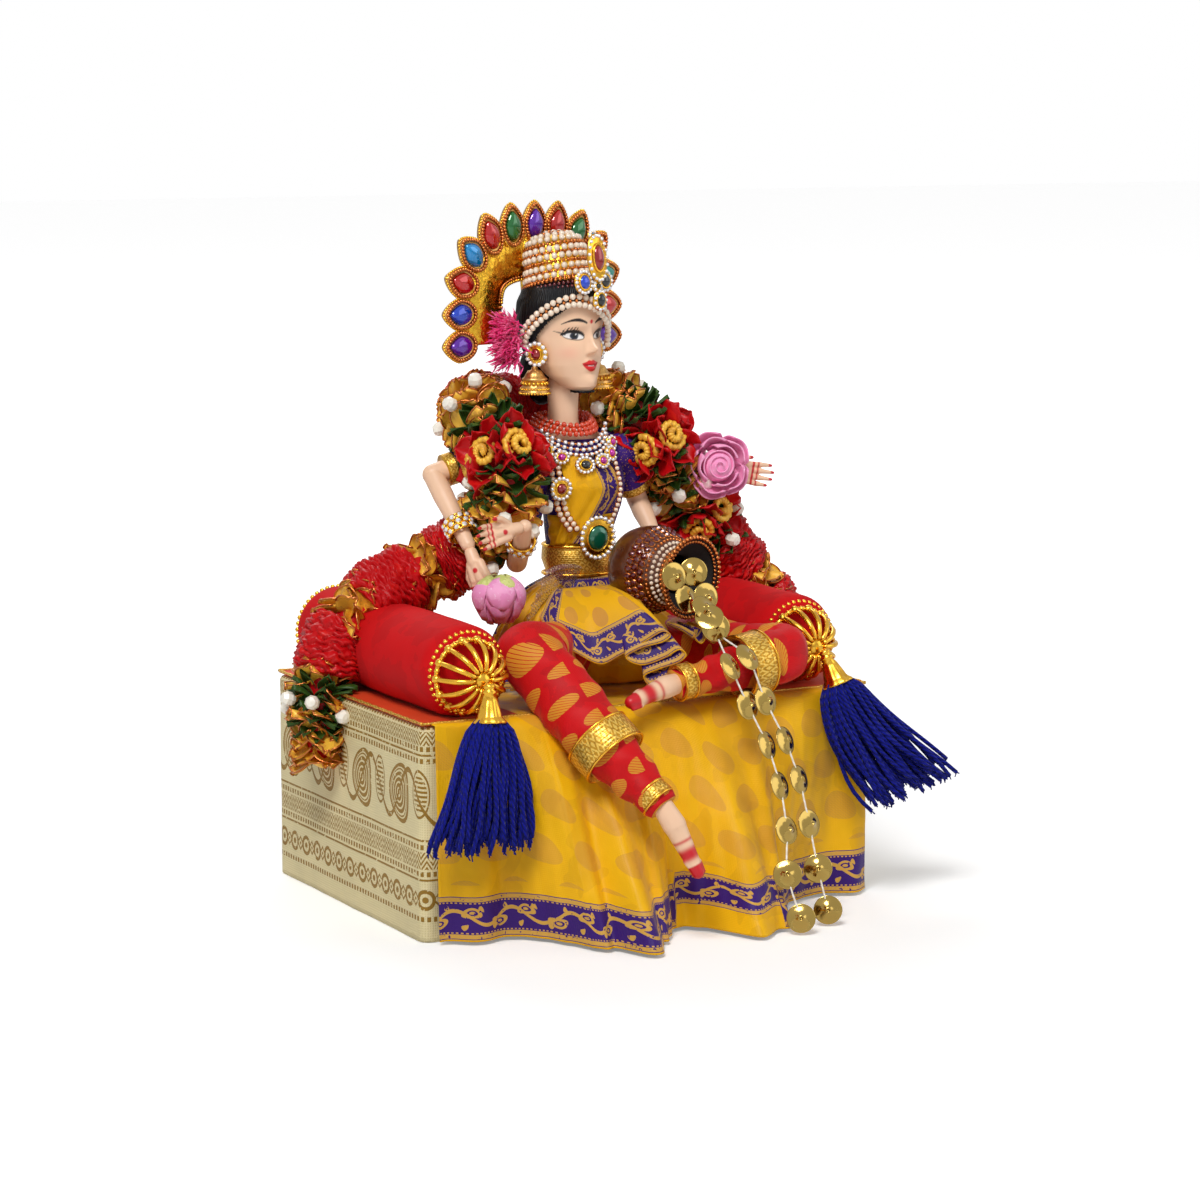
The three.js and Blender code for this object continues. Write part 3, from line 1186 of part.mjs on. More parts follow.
// Head, turned about the neck
const headGroup = group('head_group');
headGroup.position.set(neck.x, neck.y, seatTop + headHeight);
headGroup.rotation.z = headTurn;
add('head', makeHead(), 'vinyl', headGroup);
add('hair', makeHair(), 'hair', headGroup);
add('crown', makeCrown(), 'gold', headGroup);
add('crown_brooch', makeBrooch(), 'stones', headGroup);
add('forehead_chain', makeForeheadChain(), 'stones', headGroup);
add('halo', makeHalo(), 'gold', headGroup);
add('feather_flower', makeFeather(), 'feather', headGroup);
for (const [name, sign] of [['right', -1], ['left', 1]]) {
  add(`ear_stud_${name}`, makeStud(sign), 'stones', headGroup);
  add(`jhumka_${name}`, makeJhumka(sign), 'gold', headGroup);
}

// Silk drape over the front of the seat
add('seat_drape', makeDrape([...leggingRoom, ...legRoom, ...bandRoom, ...capRoom, hipRoom]), 'silk');

export default doll;
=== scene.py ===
"""Looks of a golu doll: a dressed four-armed doll on a brocade seat, built round its fixed frame.

Lengths are in millimetres in the frame's own axes, +Z up and the front towards -Y, and turn to metres
only where a mesh is made. Heights written "h" are above the seat cloth.
"""

import json
import logging
import math
from dataclasses import dataclass
from enum import Enum

import bpy
import numpy as np
from mathutils import Matrix, Vector

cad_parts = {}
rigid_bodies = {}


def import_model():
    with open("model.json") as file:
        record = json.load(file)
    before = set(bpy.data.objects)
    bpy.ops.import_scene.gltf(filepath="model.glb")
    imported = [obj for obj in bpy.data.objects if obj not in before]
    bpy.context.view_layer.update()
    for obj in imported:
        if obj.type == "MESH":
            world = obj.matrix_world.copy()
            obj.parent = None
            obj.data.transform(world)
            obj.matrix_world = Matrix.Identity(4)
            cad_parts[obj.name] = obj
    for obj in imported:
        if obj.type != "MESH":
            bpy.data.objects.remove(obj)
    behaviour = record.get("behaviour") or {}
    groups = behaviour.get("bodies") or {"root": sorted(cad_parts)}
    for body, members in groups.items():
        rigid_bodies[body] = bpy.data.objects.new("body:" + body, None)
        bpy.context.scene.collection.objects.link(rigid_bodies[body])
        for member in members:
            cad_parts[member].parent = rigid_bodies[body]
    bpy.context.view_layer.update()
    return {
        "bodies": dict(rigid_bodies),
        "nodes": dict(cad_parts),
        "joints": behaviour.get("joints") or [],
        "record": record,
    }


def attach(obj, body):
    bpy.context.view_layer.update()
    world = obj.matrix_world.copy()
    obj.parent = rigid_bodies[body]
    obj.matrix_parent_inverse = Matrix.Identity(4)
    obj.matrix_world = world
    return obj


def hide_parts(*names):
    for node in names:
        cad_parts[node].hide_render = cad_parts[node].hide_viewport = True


log = logging.getLogger("golu_doll")

MM = 0.001
TAU = 2 * math.pi
GOLDEN_ANGLE = 2.39996
SKIN_COLOUR = "#f2c8a6"
NAIL_COLOUR = "#cc1020"
SEAT = 66.1

Points = np.ndarray


def vec(*values: float) -> Points:
    """Numbers as a point or direction."""
    return np.array(values, float)


UP = vec(0, 0, 1)
FRONT = vec(0, -1, 0)
ALONG_X = vec(1, 0, 0)
LEVEL = vec(1, 1, 0)
WHOLE = vec(1, 1, 1)


def spoke(angle: float) -> Points:
    """Level direction at an angle from X."""
    return vec(math.cos(angle), math.sin(angle), 0)


def turns(count: int, shift: float = 0.0) -> Points:
    """Equal angles round a circle, shifted by a share of one step."""
    return (np.arange(count) + shift) / count * TAU


def circle(radius: float, angles: Points, z: float) -> Points:
    """Places on a level circle about Z."""
    return np.stack([radius * np.cos(angles), radius * np.sin(angles), np.full(len(angles), z)], 1)


def seat(x: float, y: float, h: float) -> Points:
    """A point at a height above the seat."""
    return vec(x, y, SEAT + h)


def unit(v: Points) -> Points:
    """Directions of length one."""
    return v / np.maximum(np.linalg.norm(v, axis=-1, keepdims=True), 1e-9)


def ripple(points: Points, size: float, seed: int = 0) -> Points:
    """Smooth unevenness over points, about -1 to 1.

    Args:
        points: places in millimetres.
        size: distance between swells.
        seed: choice of swell directions.

    Returns:
        One number for each point.
    """
    rng = np.random.default_rng(seed)
    total = np.zeros(points.shape[:-1])
    for turn in range(5):
        direction = unit(rng.normal(size=3)) * (TAU / size) * (0.7 + 0.25 * turn)
        total += np.sin(points @ direction + rng.uniform(0, TAU)) / (1 + 0.5 * turn)
    return total / 2.2


def resampled(line: Points, spans: int) -> Points:
    """A line of points at equal steps."""
    lengths = np.concatenate([[0], np.cumsum(np.linalg.norm(np.diff(line, axis=0), axis=1))])
    at = np.linspace(0, lengths[-1], spans + 1)
    return np.stack([np.interp(at, lengths, line[:, i]) for i in range(line.shape[1])], axis=1)


def smooth_path(points: list[Points], steps: int) -> Points:
    """Centripetal curve through points, at equal steps.

    Args:
        points: places that the curve passes.
        steps: number of spans in the result.

    Returns:
        steps + 1 places.
    """
    p = np.array(points, float)
    if len(p) == 2:
        return p[0] + np.linspace(0, 1, steps + 1)[:, None] * (p[1] - p[0])
    p = np.vstack([2 * p[0] - p[1], p, 2 * p[-1] - p[-2]])
    dense = []
    for k in range(1, len(p) - 2):
        a, b, c, d = p[k - 1 : k + 3]
        t0 = 0.0
        t1 = t0 + max(np.linalg.norm(b - a), 1e-6) ** 0.5
        t2 = t1 + max(np.linalg.norm(c - b), 1e-6) ** 0.5
        t3 = t2 + max(np.linalg.norm(d - c), 1e-6) ** 0.5
        t = np.linspace(t1, t2, 24, endpoint=False)[:, None]
        a1 = (t1 - t) / (t1 - t0) * a + (t - t0) / (t1 - t0) * b
        a2 = (t2 - t) / (t2 - t1) * b + (t - t1) / (t2 - t1) * c
        a3 = (t3 - t) / (t3 - t2) * c + (t - t2) / (t3 - t2) * d
        b1 = (t2 - t) / (t2 - t0) * a1 + (t - t0) / (t2 - t0) * a2
        b2 = (t3 - t) / (t3 - t1) * a2 + (t - t1) / (t3 - t1) * a3
        dense.append((t2 - t) / (t2 - t1) * b1 + (t - t1) / (t2 - t1) * b2)
    dense.append(p[-2][None])
    return resampled(np.vstack(dense), steps)


def path_length(path: Points) -> float:
    """Length of a line through points."""
    return float(np.linalg.norm(np.diff(path, axis=0), axis=1).sum())


def frames_along(path: Points, up: Points) -> tuple[Points, Points, Points]:
    """Directions carried along a path without twist.

    Args:
        path: places along it.
        up: direction that the first normal leans to.

    Returns:
        Tangents, normals and sides.
    """
    along = unit(np.gradient(path, axis=0))
    normals = np.zeros_like(path)
    normal = ALONG_X if abs(along[0] @ up) > 0.9 else up
    for k, direction in enumerate(along):
        normal = unit(normal - direction * (normal @ direction))
        normals[k] = normal
    return along, normals, np.cross(along, normals)


@dataclass
class Shell:
    """A surface: points, faces and, where a weave follows it, each corner's place on the cloth."""

    points: Points
    quads: Points
    corners: Points | None = None
    triangles: Points | None = None

    def reshaped(self, points: Points) -> "Shell":
        """The same faces with other points."""
        return Shell(points, self.quads, self.corners, self.triangles)

    def flipped(self) -> "Shell":
        """The surface with its faces turned over."""
        order = [0, 3, 2, 1]
        return Shell(self.points, self.quads[:, order], self.corners[:, order])

    def moved(self, at: Points) -> "Shell":
        """The same surface, shifted."""
        return self.reshaped(self.points + at)

    def placed(self, at: Points, direction: Points, across: Points | None = None) -> "Shell":
        """A surface made along +Z, turned to a direction and put at a point."""
        return self.reshaped(self.points @ basis(direction, across).T + at)

    def scaled(self, x: float, y: float, z: float) -> "Shell":
        """The same surface, stretched along its axes."""
        return self.reshaped(self.points * vec(x, y, z))

    def swollen(self, amount: Points) -> "Shell":
        """The surface with each point moved along its normal."""
        return self.reshaped(self.points + normals_of(self) * amount[:, None])


def basis(direction: Points, across: Points | None = None) -> Points:
    """Axes as columns, with the third along a direction and the first near another."""
    z = unit(np.array(direction, float))
    guess = across if across is not None else (ALONG_X if abs(z[0]) < 0.9 else vec(0, 1, 0))
    x = unit(guess - z * (guess @ z))
    return np.stack([x, np.cross(z, x), z], axis=1)


def all_triangles(shell: Shell) -> Points:
    """Faces of a surface as triangles."""
    q = shell.quads
    parts = [q[:, [0, 1, 2]], q[:, [0, 2, 3]]] if len(q) else []
    if shell.triangles is not None and len(shell.triangles):
        parts.append(shell.triangles)
    return np.vstack(parts)


def area_of(shell: Shell) -> float:
    """Area of a surface, in square metres."""
    tri, p = all_triangles(shell), shell.points
    sides = np.cross(p[tri[:, 1]] - p[tri[:, 0]], p[tri[:, 2]] - p[tri[:, 0]])
    area = 0.5 * np.linalg.norm(sides, axis=1)
    return float(area.sum()) * MM * MM


def normals_of(shell: Shell) -> Points:
    """Outward directions at the points of a surface."""
    tri = all_triangles(shell)
    p = shell.points
    face = np.cross(p[tri[:, 1]] - p[tri[:, 0]], p[tri[:, 2]] - p[tri[:, 0]])
    total = np.zeros_like(p)
    for corner in range(3):
        np.add.at(total, tri[:, corner], face)
    return unit(total)


def facing_out(shell: Shell) -> Shell:
    """A closed surface with its faces turned outwards."""
    tri = all_triangles(shell)
    p = shell.points - shell.points.mean(axis=0)
    volume = np.einsum("ij,ij->i", p[tri[:, 0]], np.cross(p[tri[:, 1]], p[tri[:, 2]])).sum()
    if volume >= 0:
        return shell
    corners = shell.corners[:, ::-1] if shell.corners is not None else None
    triangles = shell.triangles[:, ::-1] if shell.triangles is not None else None
    return Shell(shell.points, shell.quads[:, ::-1], corners, triangles)


def weave_grid(grid: Points, around: bool = False, scale: tuple[float, float] | None = None) -> Shell:
    """Surface through a grid of points.

    Args:
        grid: rows by columns of places.
        around: whether the last column meets the first.
        scale: cloth size of the grid across and down, or its middle row's and column's lengths.

    Returns:
        The surface, with places on the cloth at its corners.
    """
    rows, columns = grid.shape[:2]
    spans = columns if around else columns - 1
    r, c = np.meshgrid(np.arange(rows - 1), np.arange(spans), indexing="ij")
    nxt = (c + 1) % columns
    quads = np.stack([r * columns + c, r * columns + nxt, (r + 1) * columns + nxt, (r + 1) * columns + c],
                     -1)
    if scale is None:
        middle = grid[rows // 2]
        closed = np.vstack([middle, middle[:1]]) if around else middle
        scale = (path_length(closed), path_length(grid[:, columns // 2]))
    places = np.stack([np.stack([c, r], -1), np.stack([c + 1, r], -1), np.stack([c + 1, r + 1], -1),
                       np.stack([c, r + 1], -1)], axis=2).astype(float)
    places *= np.array([scale[0] / spans, scale[1] / (rows - 1)])
    return Shell(grid.reshape(-1, 3), quads.reshape(-1, 4), places.reshape(-1, 4, 2))


def closed_grid(grid: Points, scale: tuple[float, float] | None = None) -> Shell:
    """Tube through rings of points, with its ends closed."""
    shell = weave_grid(grid, True, scale)
    rows, columns = grid.shape[:2]
    ring = np.arange(columns)
    first = len(shell.points)
    last_row = (rows - 1) * columns
    points = np.vstack([shell.points, grid[0].mean(axis=0), grid[-1].mean(axis=0)])
    start = np.stack([np.full(columns, first), np.roll(ring, -1), ring], -1)
    end = np.stack([np.full(columns, first + 1), last_row + ring, last_row + np.roll(ring, -1)], -1)
    return facing_out(Shell(points, shell.quads, shell.corners, np.vstack([start, end])))


def tube(path: Points, radius: Points | float, sides: int = 12, up: Points | None = None) -> Shell:
    """Closed tube along a path.

    Args:
        path: places along its middle.
        radius: one radius, one for each place, or places by sides of them.
        sides: points round it.
        up: direction where the first point of each ring lies.

    Returns:
        The tube.
    """
    _, normal, side = frames_along(path, UP if up is None else up)
    angle = turns(sides)
    r = np.broadcast_to(np.asarray(radius, float).reshape((-1, 1)) if np.ndim(radius) < 2 else radius,
                        (len(path), sides))
    rings = (path[:, None] + r[..., None] * (np.cos(angle)[None, :, None] * normal[:, None]
                                              + np.sin(angle)[None, :, None] * side[:, None]))
    return closed_grid(rings, (TAU * float(np.mean(r)), path_length(path)))


def turned(profile: list[tuple[float, float]] | Points, segments: int) -> Points:
    """Grid of places that an outline of radius and height pairs passes about +Z."""
    rz, angle = np.array(profile, float), turns(segments)
    return np.stack([rz[:, :1] * np.cos(angle), rz[:, :1] * np.sin(angle),
                     np.repeat(rz[:, 1:], segments, axis=1)], -1)


def lathe(profile: list[tuple[float, float]], segments: int = 24) -> Shell:
    """Turned shape about +Z from radius and height pairs, closed at both ends."""
    return closed_grid(turned(profile, segments))


def rod(start: Points, end: Points, start_radius: float, end_radius: float, sides: int = 16) -> Shell:
    """Rod with round ends between two points."""
    along = end - start
    length = float(np.linalg.norm(along))
    bend = np.linspace(0, math.pi / 2, 6)
    profile = [(start_radius * math.sin(b), -start_radius * math.cos(b)) for b in bend]
    profile += [(end_radius * math.cos(b), length + end_radius * math.sin(b)) for b in bend]
    profile[0] = (0.01, -start_radius)
    profile[-1] = (0.01, length + end_radius)
    return lathe(profile, sides).placed(start, along)


def merged(shells: list[Shell]) -> Shell:
    """Several surfaces as one, without their cloth places."""
    points, quads, triangles, first = [], [], [], 0
    for shell in shells:
        points.append(shell.points)
        quads.append(shell.quads + first)
        if shell.triangles is not None:
            triangles.append(shell.triangles + first)
        first += len(shell.points)
    return Shell(np.vstack(points), np.vstack(quads), None, np.vstack(triangles) if triangles else None)


def mesh_of(name: str, shell: Shell) -> bpy.types.Mesh:
    """Blender mesh of a surface, in metres."""
    mesh = bpy.data.meshes.new(name)
    faces = shell.quads.tolist() + ([] if shell.triangles is None else shell.triangles.tolist())
    mesh.from_pydata((shell.points * MM).tolist(), [], faces)
    mesh.update()
    return mesh


def shell_of(mesh: bpy.types.Mesh) -> Shell:
    """Surface of a Blender mesh, in millimetres."""
    points = np.empty(len(mesh.vertices) * 3)
    mesh.vertices.foreach_get("co", points)
    four = [tuple(p.vertices) for p in mesh.polygons if len(p.vertices) == 4]
    three = [tuple(p.vertices) for p in mesh.polygons if len(p.vertices) == 3]
    quads = np.array(four, int).reshape(-1, 4)
    return Shell(points.reshape(-1, 3) / MM, quads, None,
                 np.array(three, int).reshape(-1, 3) if three else None)


def evaluated(obj: bpy.types.Object) -> Shell:
    """Takes the result of an object's modifiers as a surface and removes the object."""
    graph = bpy.context.evaluated_depsgraph_get()
    mesh = bpy.data.meshes.new_from_object(obj.evaluated_get(graph))
    shell = shell_of(mesh)
    bpy.data.objects.remove(obj)
    bpy.data.meshes.remove(mesh)
    return shell


def linked(name: str, data: bpy.types.ID) -> bpy.types.Object:
    """A new object, linked to the scene."""
    obj = bpy.data.objects.new(name, data)
    bpy.context.scene.collection.objects.link(obj)
    return obj


def fused(shells: list[Shell], voxel: float, rounding: int = 6) -> Shell:
    """Overlapping closed shapes grown into one smooth skin.

    Args:
        shells: the shapes.
        voxel: size of the finest detail kept.
        rounding: smoothing steps.

    Returns:
        The skin.
    """
    obj = linked("fused", mesh_of("fused", merged(shells)))
    grow = obj.modifiers.new("grow", "REMESH")
    grow.mode = "VOXEL"
    grow.voxel_size = voxel * MM
    soften = obj.modifiers.new("soften", "SMOOTH")
    soften.factor = 0.5
    soften.iterations = rounding
    return evaluated(obj)


def ball(subdivisions: int = 2) -> Shell:
    """Sphere of radius one with even faces."""
    rings = 3 + 2 * subdivisions
    bend = np.linspace(0.02, math.pi - 0.02, rings)
    return lathe([(math.sin(b), -math.cos(b)) for b in bend], 4 + 2 * subdivisions)


def scatter_tree() -> bpy.types.NodeTree:
    """Geometry nodes that put one shape at every point, turned and stretched by the point's own values."""
    found = bpy.data.node_groups.get("Set pieces on points")
    if found:
        return found
    tree = bpy.data.node_groups.new("Set pieces on points", "GeometryNodeTree")
    face = tree.interface
    face.new_socket("Places", in_out="INPUT", socket_type="NodeSocketGeometry")
    face.new_socket("Piece", in_out="INPUT", socket_type="NodeSocketObject")
    face.new_socket("Size", in_out="INPUT", socket_type="NodeSocketFloat").default_value = 1
    face.new_socket("Finish", in_out="INPUT", socket_type="NodeSocketMaterial")
    face.new_socket("Set pieces", in_out="OUTPUT", socket_type="NodeSocketGeometry")
    given = tree.nodes.new("NodeGroupInput").outputs
    shape = node(tree, "GeometryNodeObjectInfo", {"Object": given["Piece"]}, out="Geometry")
    turn = node(tree, "GeometryNodeInputNamedAttribute", {"Name": "turn"}, out="Attribute",
                data_type="FLOAT_VECTOR")
    stretch = node(tree, "GeometryNodeInputNamedAttribute", {"Name": "stretch"}, out="Attribute",
                   data_type="FLOAT_VECTOR")
    rotation = node(tree, "FunctionNodeEulerToRotation", {"Euler": turn})
    size = node(tree, "ShaderNodeVectorMath", {0: stretch, "Scale": given["Size"]}, operation="SCALE")
    pieces = node(tree, "GeometryNodeInstanceOnPoints",
                  {"Points": given["Places"], "Instance": shape, "Rotation": rotation, "Scale": size})
    real = node(tree, "GeometryNodeRealizeInstances", {"Geometry": pieces})
    finished = node(tree, "GeometryNodeSetMaterial", {"Geometry": real, "Material": given["Finish"]})
    tree.links.new(finished, tree.nodes.new("NodeGroupOutput").inputs[0])
    return tree


def node(tree: bpy.types.NodeTree, kind: str, sockets: dict | None = None, out: str | int = 0,
         **settings: object) -> bpy.types.NodeSocket:
    """Adds a node with its settings and links.

    Args:
        tree: node tree to add to.
        kind: type name of the node.
        sockets: values or linked sockets by input name or number.
        out: output to hand back.
        settings: properties of the node.

    Returns:
        The chosen output socket.
    """
    made = tree.nodes.new(kind)
    for name, value in settings.items():
        setattr(made, name, value)
    for key, value in (sockets or {}).items():
        if isinstance(value, Field):
            value = value.socket
        if isinstance(value, bpy.types.NodeSocket):
            tree.links.new(value, made.inputs[key])
        else:
            made.inputs[key].default_value = value
    return made.outputs[out]


@dataclass
class Place:
    """Where one repeated piece goes: its point, its axes as columns and its stretch."""

    at: Points
    axes: Points
    stretch: Points


def scatter(piece: Shell, places: list[Place], size: float = 1.0) -> Shell:
    """Copies of one shape, set by the Geometry Nodes tree.

    Args:
        piece: the shape, made at the origin.
        places: where each copy goes.
        size: common scale.

    Returns:
        All copies as one surface.
    """
    shape = linked("piece", mesh_of("piece", piece))
    points = bpy.data.meshes.new("places")
    points.from_pydata([tuple(p.at * MM) for p in places], [], [])
    turn = points.attributes.new("turn", "FLOAT_VECTOR", "POINT")
    stretch = points.attributes.new("stretch", "FLOAT_VECTOR", "POINT")
    eulers = [tuple(Matrix(p.axes.tolist()).to_euler()) for p in places]
    turn.data.foreach_set("vector", np.array(eulers).ravel())
    stretch.data.foreach_set("vector", np.array([p.stretch for p in places]).ravel())
    obj = linked("places", points)
    tree = scatter_tree()
    modifier = obj.modifiers.new("set", "NODES")
    modifier.node_group = tree
    sockets = {item.name: item.identifier for item in tree.interface.items_tree if item.in_out == "INPUT"}
    modifier[sockets["Piece"]] = shape
    modifier[sockets["Size"]] = size
    shell = evaluated(obj)
    bpy.data.objects.remove(shape)
    return shell


def set_on(piece: Shell, points: Points, facings: Points, sizes: Points | float = 1.0,
           across: Points | None = None) -> Shell:
    """Copies of a shape on points, each with its +Z to the point's own direction."""
    facings = np.broadcast_to(facings, points.shape)
    sizes = np.broadcast_to(np.asarray(sizes, float), (len(points),)) if np.ndim(sizes) < 2 else sizes
    places = [Place(p, basis(f, across), np.broadcast_to(s, (3,)).astype(float))
              for p, f, s in zip(points, facings, sizes)]
    return scatter(piece, places)


class Field:
    """A number that varies over a surface, so that a pattern is written as arithmetic."""

    def __init__(self, tree: bpy.types.NodeTree, socket: bpy.types.NodeSocket) -> None:
        """Keeps the tree and the socket that carries the number."""
        self.tree = tree
        self.socket = socket

    def made(self, operation: str, *others: "Field | float") -> "Field":
        """The field that an operation of the Math node gives with this one first."""
        sockets = {0: self, **{k + 1: other for k, other in enumerate(others)}}
        return Field(self.tree, node(self.tree, "ShaderNodeMath", sockets, operation=operation))

    def __add__(self, other: "Field | float") -> "Field":
        """Sum."""
        return self.made("ADD", other)

    def __sub__(self, other: "Field | float") -> "Field":
        """Difference."""
        return self.made("SUBTRACT", other)

    def __mul__(self, other: "Field | float") -> "Field":
        """Product."""
        return self.made("MULTIPLY", other)

    def cell(self, pitch: float) -> "Field":
        """Place within a repeat, from minus half to plus half the pitch."""
        return (self + pitch / 2).made("FLOORED_MODULO", pitch) - pitch / 2

    def below(self, edge: "Field | float") -> "Field":
        """One where the field is under an edge."""
        return self.made("LESS_THAN", edge)

    def above(self, edge: "Field | float") -> "Field":
        """One where the field is over an edge."""
        return self.made("GREATER_THAN", edge)

    def within(self, low: float, high: float) -> "Field":
        """One between two edges."""
        return self.above(low) * self.below(high)

    def wave(self, pitch: float) -> "Field":
        """Sine with a repeat in millimetres."""
        return (self * (TAU / pitch)).made("SINE")


def round_distance(x: Field, y: Field) -> Field:
    """Distance from the middle of a repeat."""
    return (x * x + y * y).made("SQRT")


class Weave(Enum):
    """How a surface was made, which chooses the pattern drawn on it."""

    PLAIN = "plain"
    THREADS = "threads"
    SATIN = "satin"
    PILE = "pile"
    TISSUE = "tissue"
    JACQUARD = "jacquard"
    DRAPE = "drape"
    BORDER = "border"
    CORNER = "corner"
    MANGO = "mango"
    BRAID = "braid"
    YARN = "yarn"
    GLITTER = "glitter"
    CAST = "cast"
    SPUN = "spun"
    PAINTED = "painted"
    WOOD = "wood"
    GAUZE = "gauze"
    HAIR = "hair"
    PETAL = "petal"


def linear(colour: str) -> tuple[float, float, float, float]:
    """Linear colour of an sRGB hex value."""
    parts = [int(colour[k : k + 2], 16) / 255 for k in (1, 3, 5)]
    return (*[c / 12.92 if c <= 0.04045 else ((c + 0.055) / 1.055) ** 2.4 for c in parts], 1.0)


@dataclass(frozen=True)
class Finish:
    """A surface finish: its colours, gloss and how it was made.

    Fields: name, ground colour, colours of its pattern, roughness, metallic share, weave,
    repeat of the weave in millimetres, bump depth, sheen, coat, colour variation, see-through share.
    """

    name: str
    ground: str
    second: str = "#ffffff"
    third: str = "#ffffff"
    roughness: float = 0.5
    metallic: float = 0.0
    weave: Weave = Weave.PLAIN
    pitch: float = 1.0
    bump: float = 0.15
    sheen: float = 0.0
    coat: float = 0.0
    variation: float = 0.12
    clear: float = 0.0

    def material(self) -> bpy.types.Material:
        """The Blender material, made once."""
        found = bpy.data.materials.get(self.name)
        return found or Maker(self).material


class Maker:
    """Builds one material's nodes from its finish."""

    def __init__(self, finish: Finish) -> None:
        """Draws the pattern and joins it to the shader."""
        self.finish = finish
        self.material = bpy.data.materials.new(finish.name)
        self.material.use_nodes = True
        self.tree = self.material.node_tree
        self.shader = self.tree.nodes["Principled BSDF"]
        cloth = node(self.tree, "ShaderNodeUVMap", out="UV", uv_map="cloth")
        self.u = Field(self.tree, node(self.tree, "ShaderNodeSeparateXYZ", {0: cloth}, out="X"))
        self.v = Field(self.tree, node(self.tree, "ShaderNodeSeparateXYZ", {0: cloth}, out="Y"))
        self.place = node(self.tree, "ShaderNodeTexCoord", out="Object")
        self.colour = self.paint(finish.ground)
        self.height = self.noise(finish.pitch, 3)
        getattr(self, finish.weave.value)()
        self.join()

    def paint(self, colour: str) -> bpy.types.NodeSocket:
        """A plain colour."""
        tree_colour = self.tree.nodes.new("ShaderNodeRGB")
        tree_colour.outputs[0].default_value = linear(colour)
        return tree_colour.outputs[0]

    def noise(self, size: float, detail: float = 2) -> Field:
        """Unevenness of a size in millimetres, from 0 to 1."""
        return Field(self.tree, node(self.tree, "ShaderNodeTexNoise", {
            "Vector": self.place, "Scale": 1 / (size * MM), "Detail": detail}, out="Fac"))

    def dye(self, mask: Field, colour: str) -> None:
        """Lays a colour where a mask is one."""
        self.colour = node(self.tree, "ShaderNodeMixRGB",
                           {"Fac": mask, "Color1": self.colour, "Color2": linear(colour)})

    def plain(self) -> None:
        """A smooth surface."""

    def threads(self) -> None:
        """Plain weave: crossed threads."""
        p = self.finish.pitch
        self.height = self.u.wave(p) * 0.5 + self.v.wave(p) * 0.5 + self.noise(6, 3)

    def satin(self) -> None:
        """Satin ribbon: fine ribs across, with lighter patches at random as painted sheen."""
        self.height = self.v.wave(0.6) * 0.3 + self.noise(2.5, 2)
        # Painted sheen: the lighter second colour is laid where the noise is high.
        self.dye(self.noise(4, 2).above(0.6) * 0.35, self.finish.second)

    def pile(self) -> None:
        """Velvet pile."""
        self.height = self.noise(0.5, 4)
        self.dye(self.noise(9, 3).above(0.52) * 0.25, self.finish.second)

    def tissue(self) -> None:
        """Gold tissue ribbon: crossed metal threads with painted glints in a pale colour on the raised
        crossings, and darker patches at random.
        """
        u, v = self.u, self.v
        grid = u.wave(0.55) * v.wave(0.55)
        self.height = grid
        # Painted glints: the pale second colour on the raised thread crossings.
        self.dye(grid.above(0.25), self.finish.second)
        self.dye(self.noise(3, 2).above(0.56) * 0.6, self.finish.third)

    def jacquard(self) -> None:
        """Cream brocade with gold bands: dots, chevrons, paisleys, medallions."""
        u, down = self.u, self.v
        gold = down.within(1.2, 2.0) + down.within(11.6, 12.2)
        gold = gold + down.within(35.8, 36.4) + down.within(47, 47.6)
        for row in (3.2, 10.2, 13.6, 38, 45.6, 58.5):
            gold = gold + (down - row).cell(90).within(-0.7, 0.7) * u.cell(1.9).within(-0.55, 0.55)
        chevron = (u.cell(3.4).made("ABSOLUTE") * 1.6 + down).cell(1.7).above(0.05)
        gold = gold + chevron * (down.within(4.8, 9.2) + down.within(39.4, 44.2))
        x, y = u.cell(27), down - 24.6
        bent = x + (y * y) * 0.03
        bud = round_distance(bent * 1.25, y)
        gold = gold + bud.within(7.4, 8.6) + bud.below(7) * (bud.cell(1.7).above(-0.25))
        bud_beside = round_distance((u + 13.5).cell(27) * 1.9, y + 1.5)
        gold = gold + bud_beside.within(6.2, 7) + bud_beside.below(5.4) * y.cell(1.3).above(0)
        scroll = (u.wave(27) * 7.5 - y).made("ABSOLUTE").below(0.8) * y.within(-10, 10)
        gold = (gold + scroll).made("MINIMUM", 1.0)
        ring = round_distance(u.cell(8.6), down - 53)
        lozenge = (u + 4.3).cell(8.6).made("ABSOLUTE") + (down - 53).made("ABSOLUTE")
        gold = gold + ring.within(1.9, 3) + ring.below(0.9)
        gold = gold + lozenge.within(1.5, 2.3) + lozenge.below(0.6)
        worn = self.noise(1.4, 3).above(0.36)
        threads = u.wave(0.7) * 0.5 + down.wave(0.7) * 0.5
        self.dye(threads.above(0.3) * 0.3, "#b8a26a")
        self.dye(gold.made("MINIMUM", 1.0) * worn, self.finish.second)
        self.height = threads * 0.6 + gold * 0.8

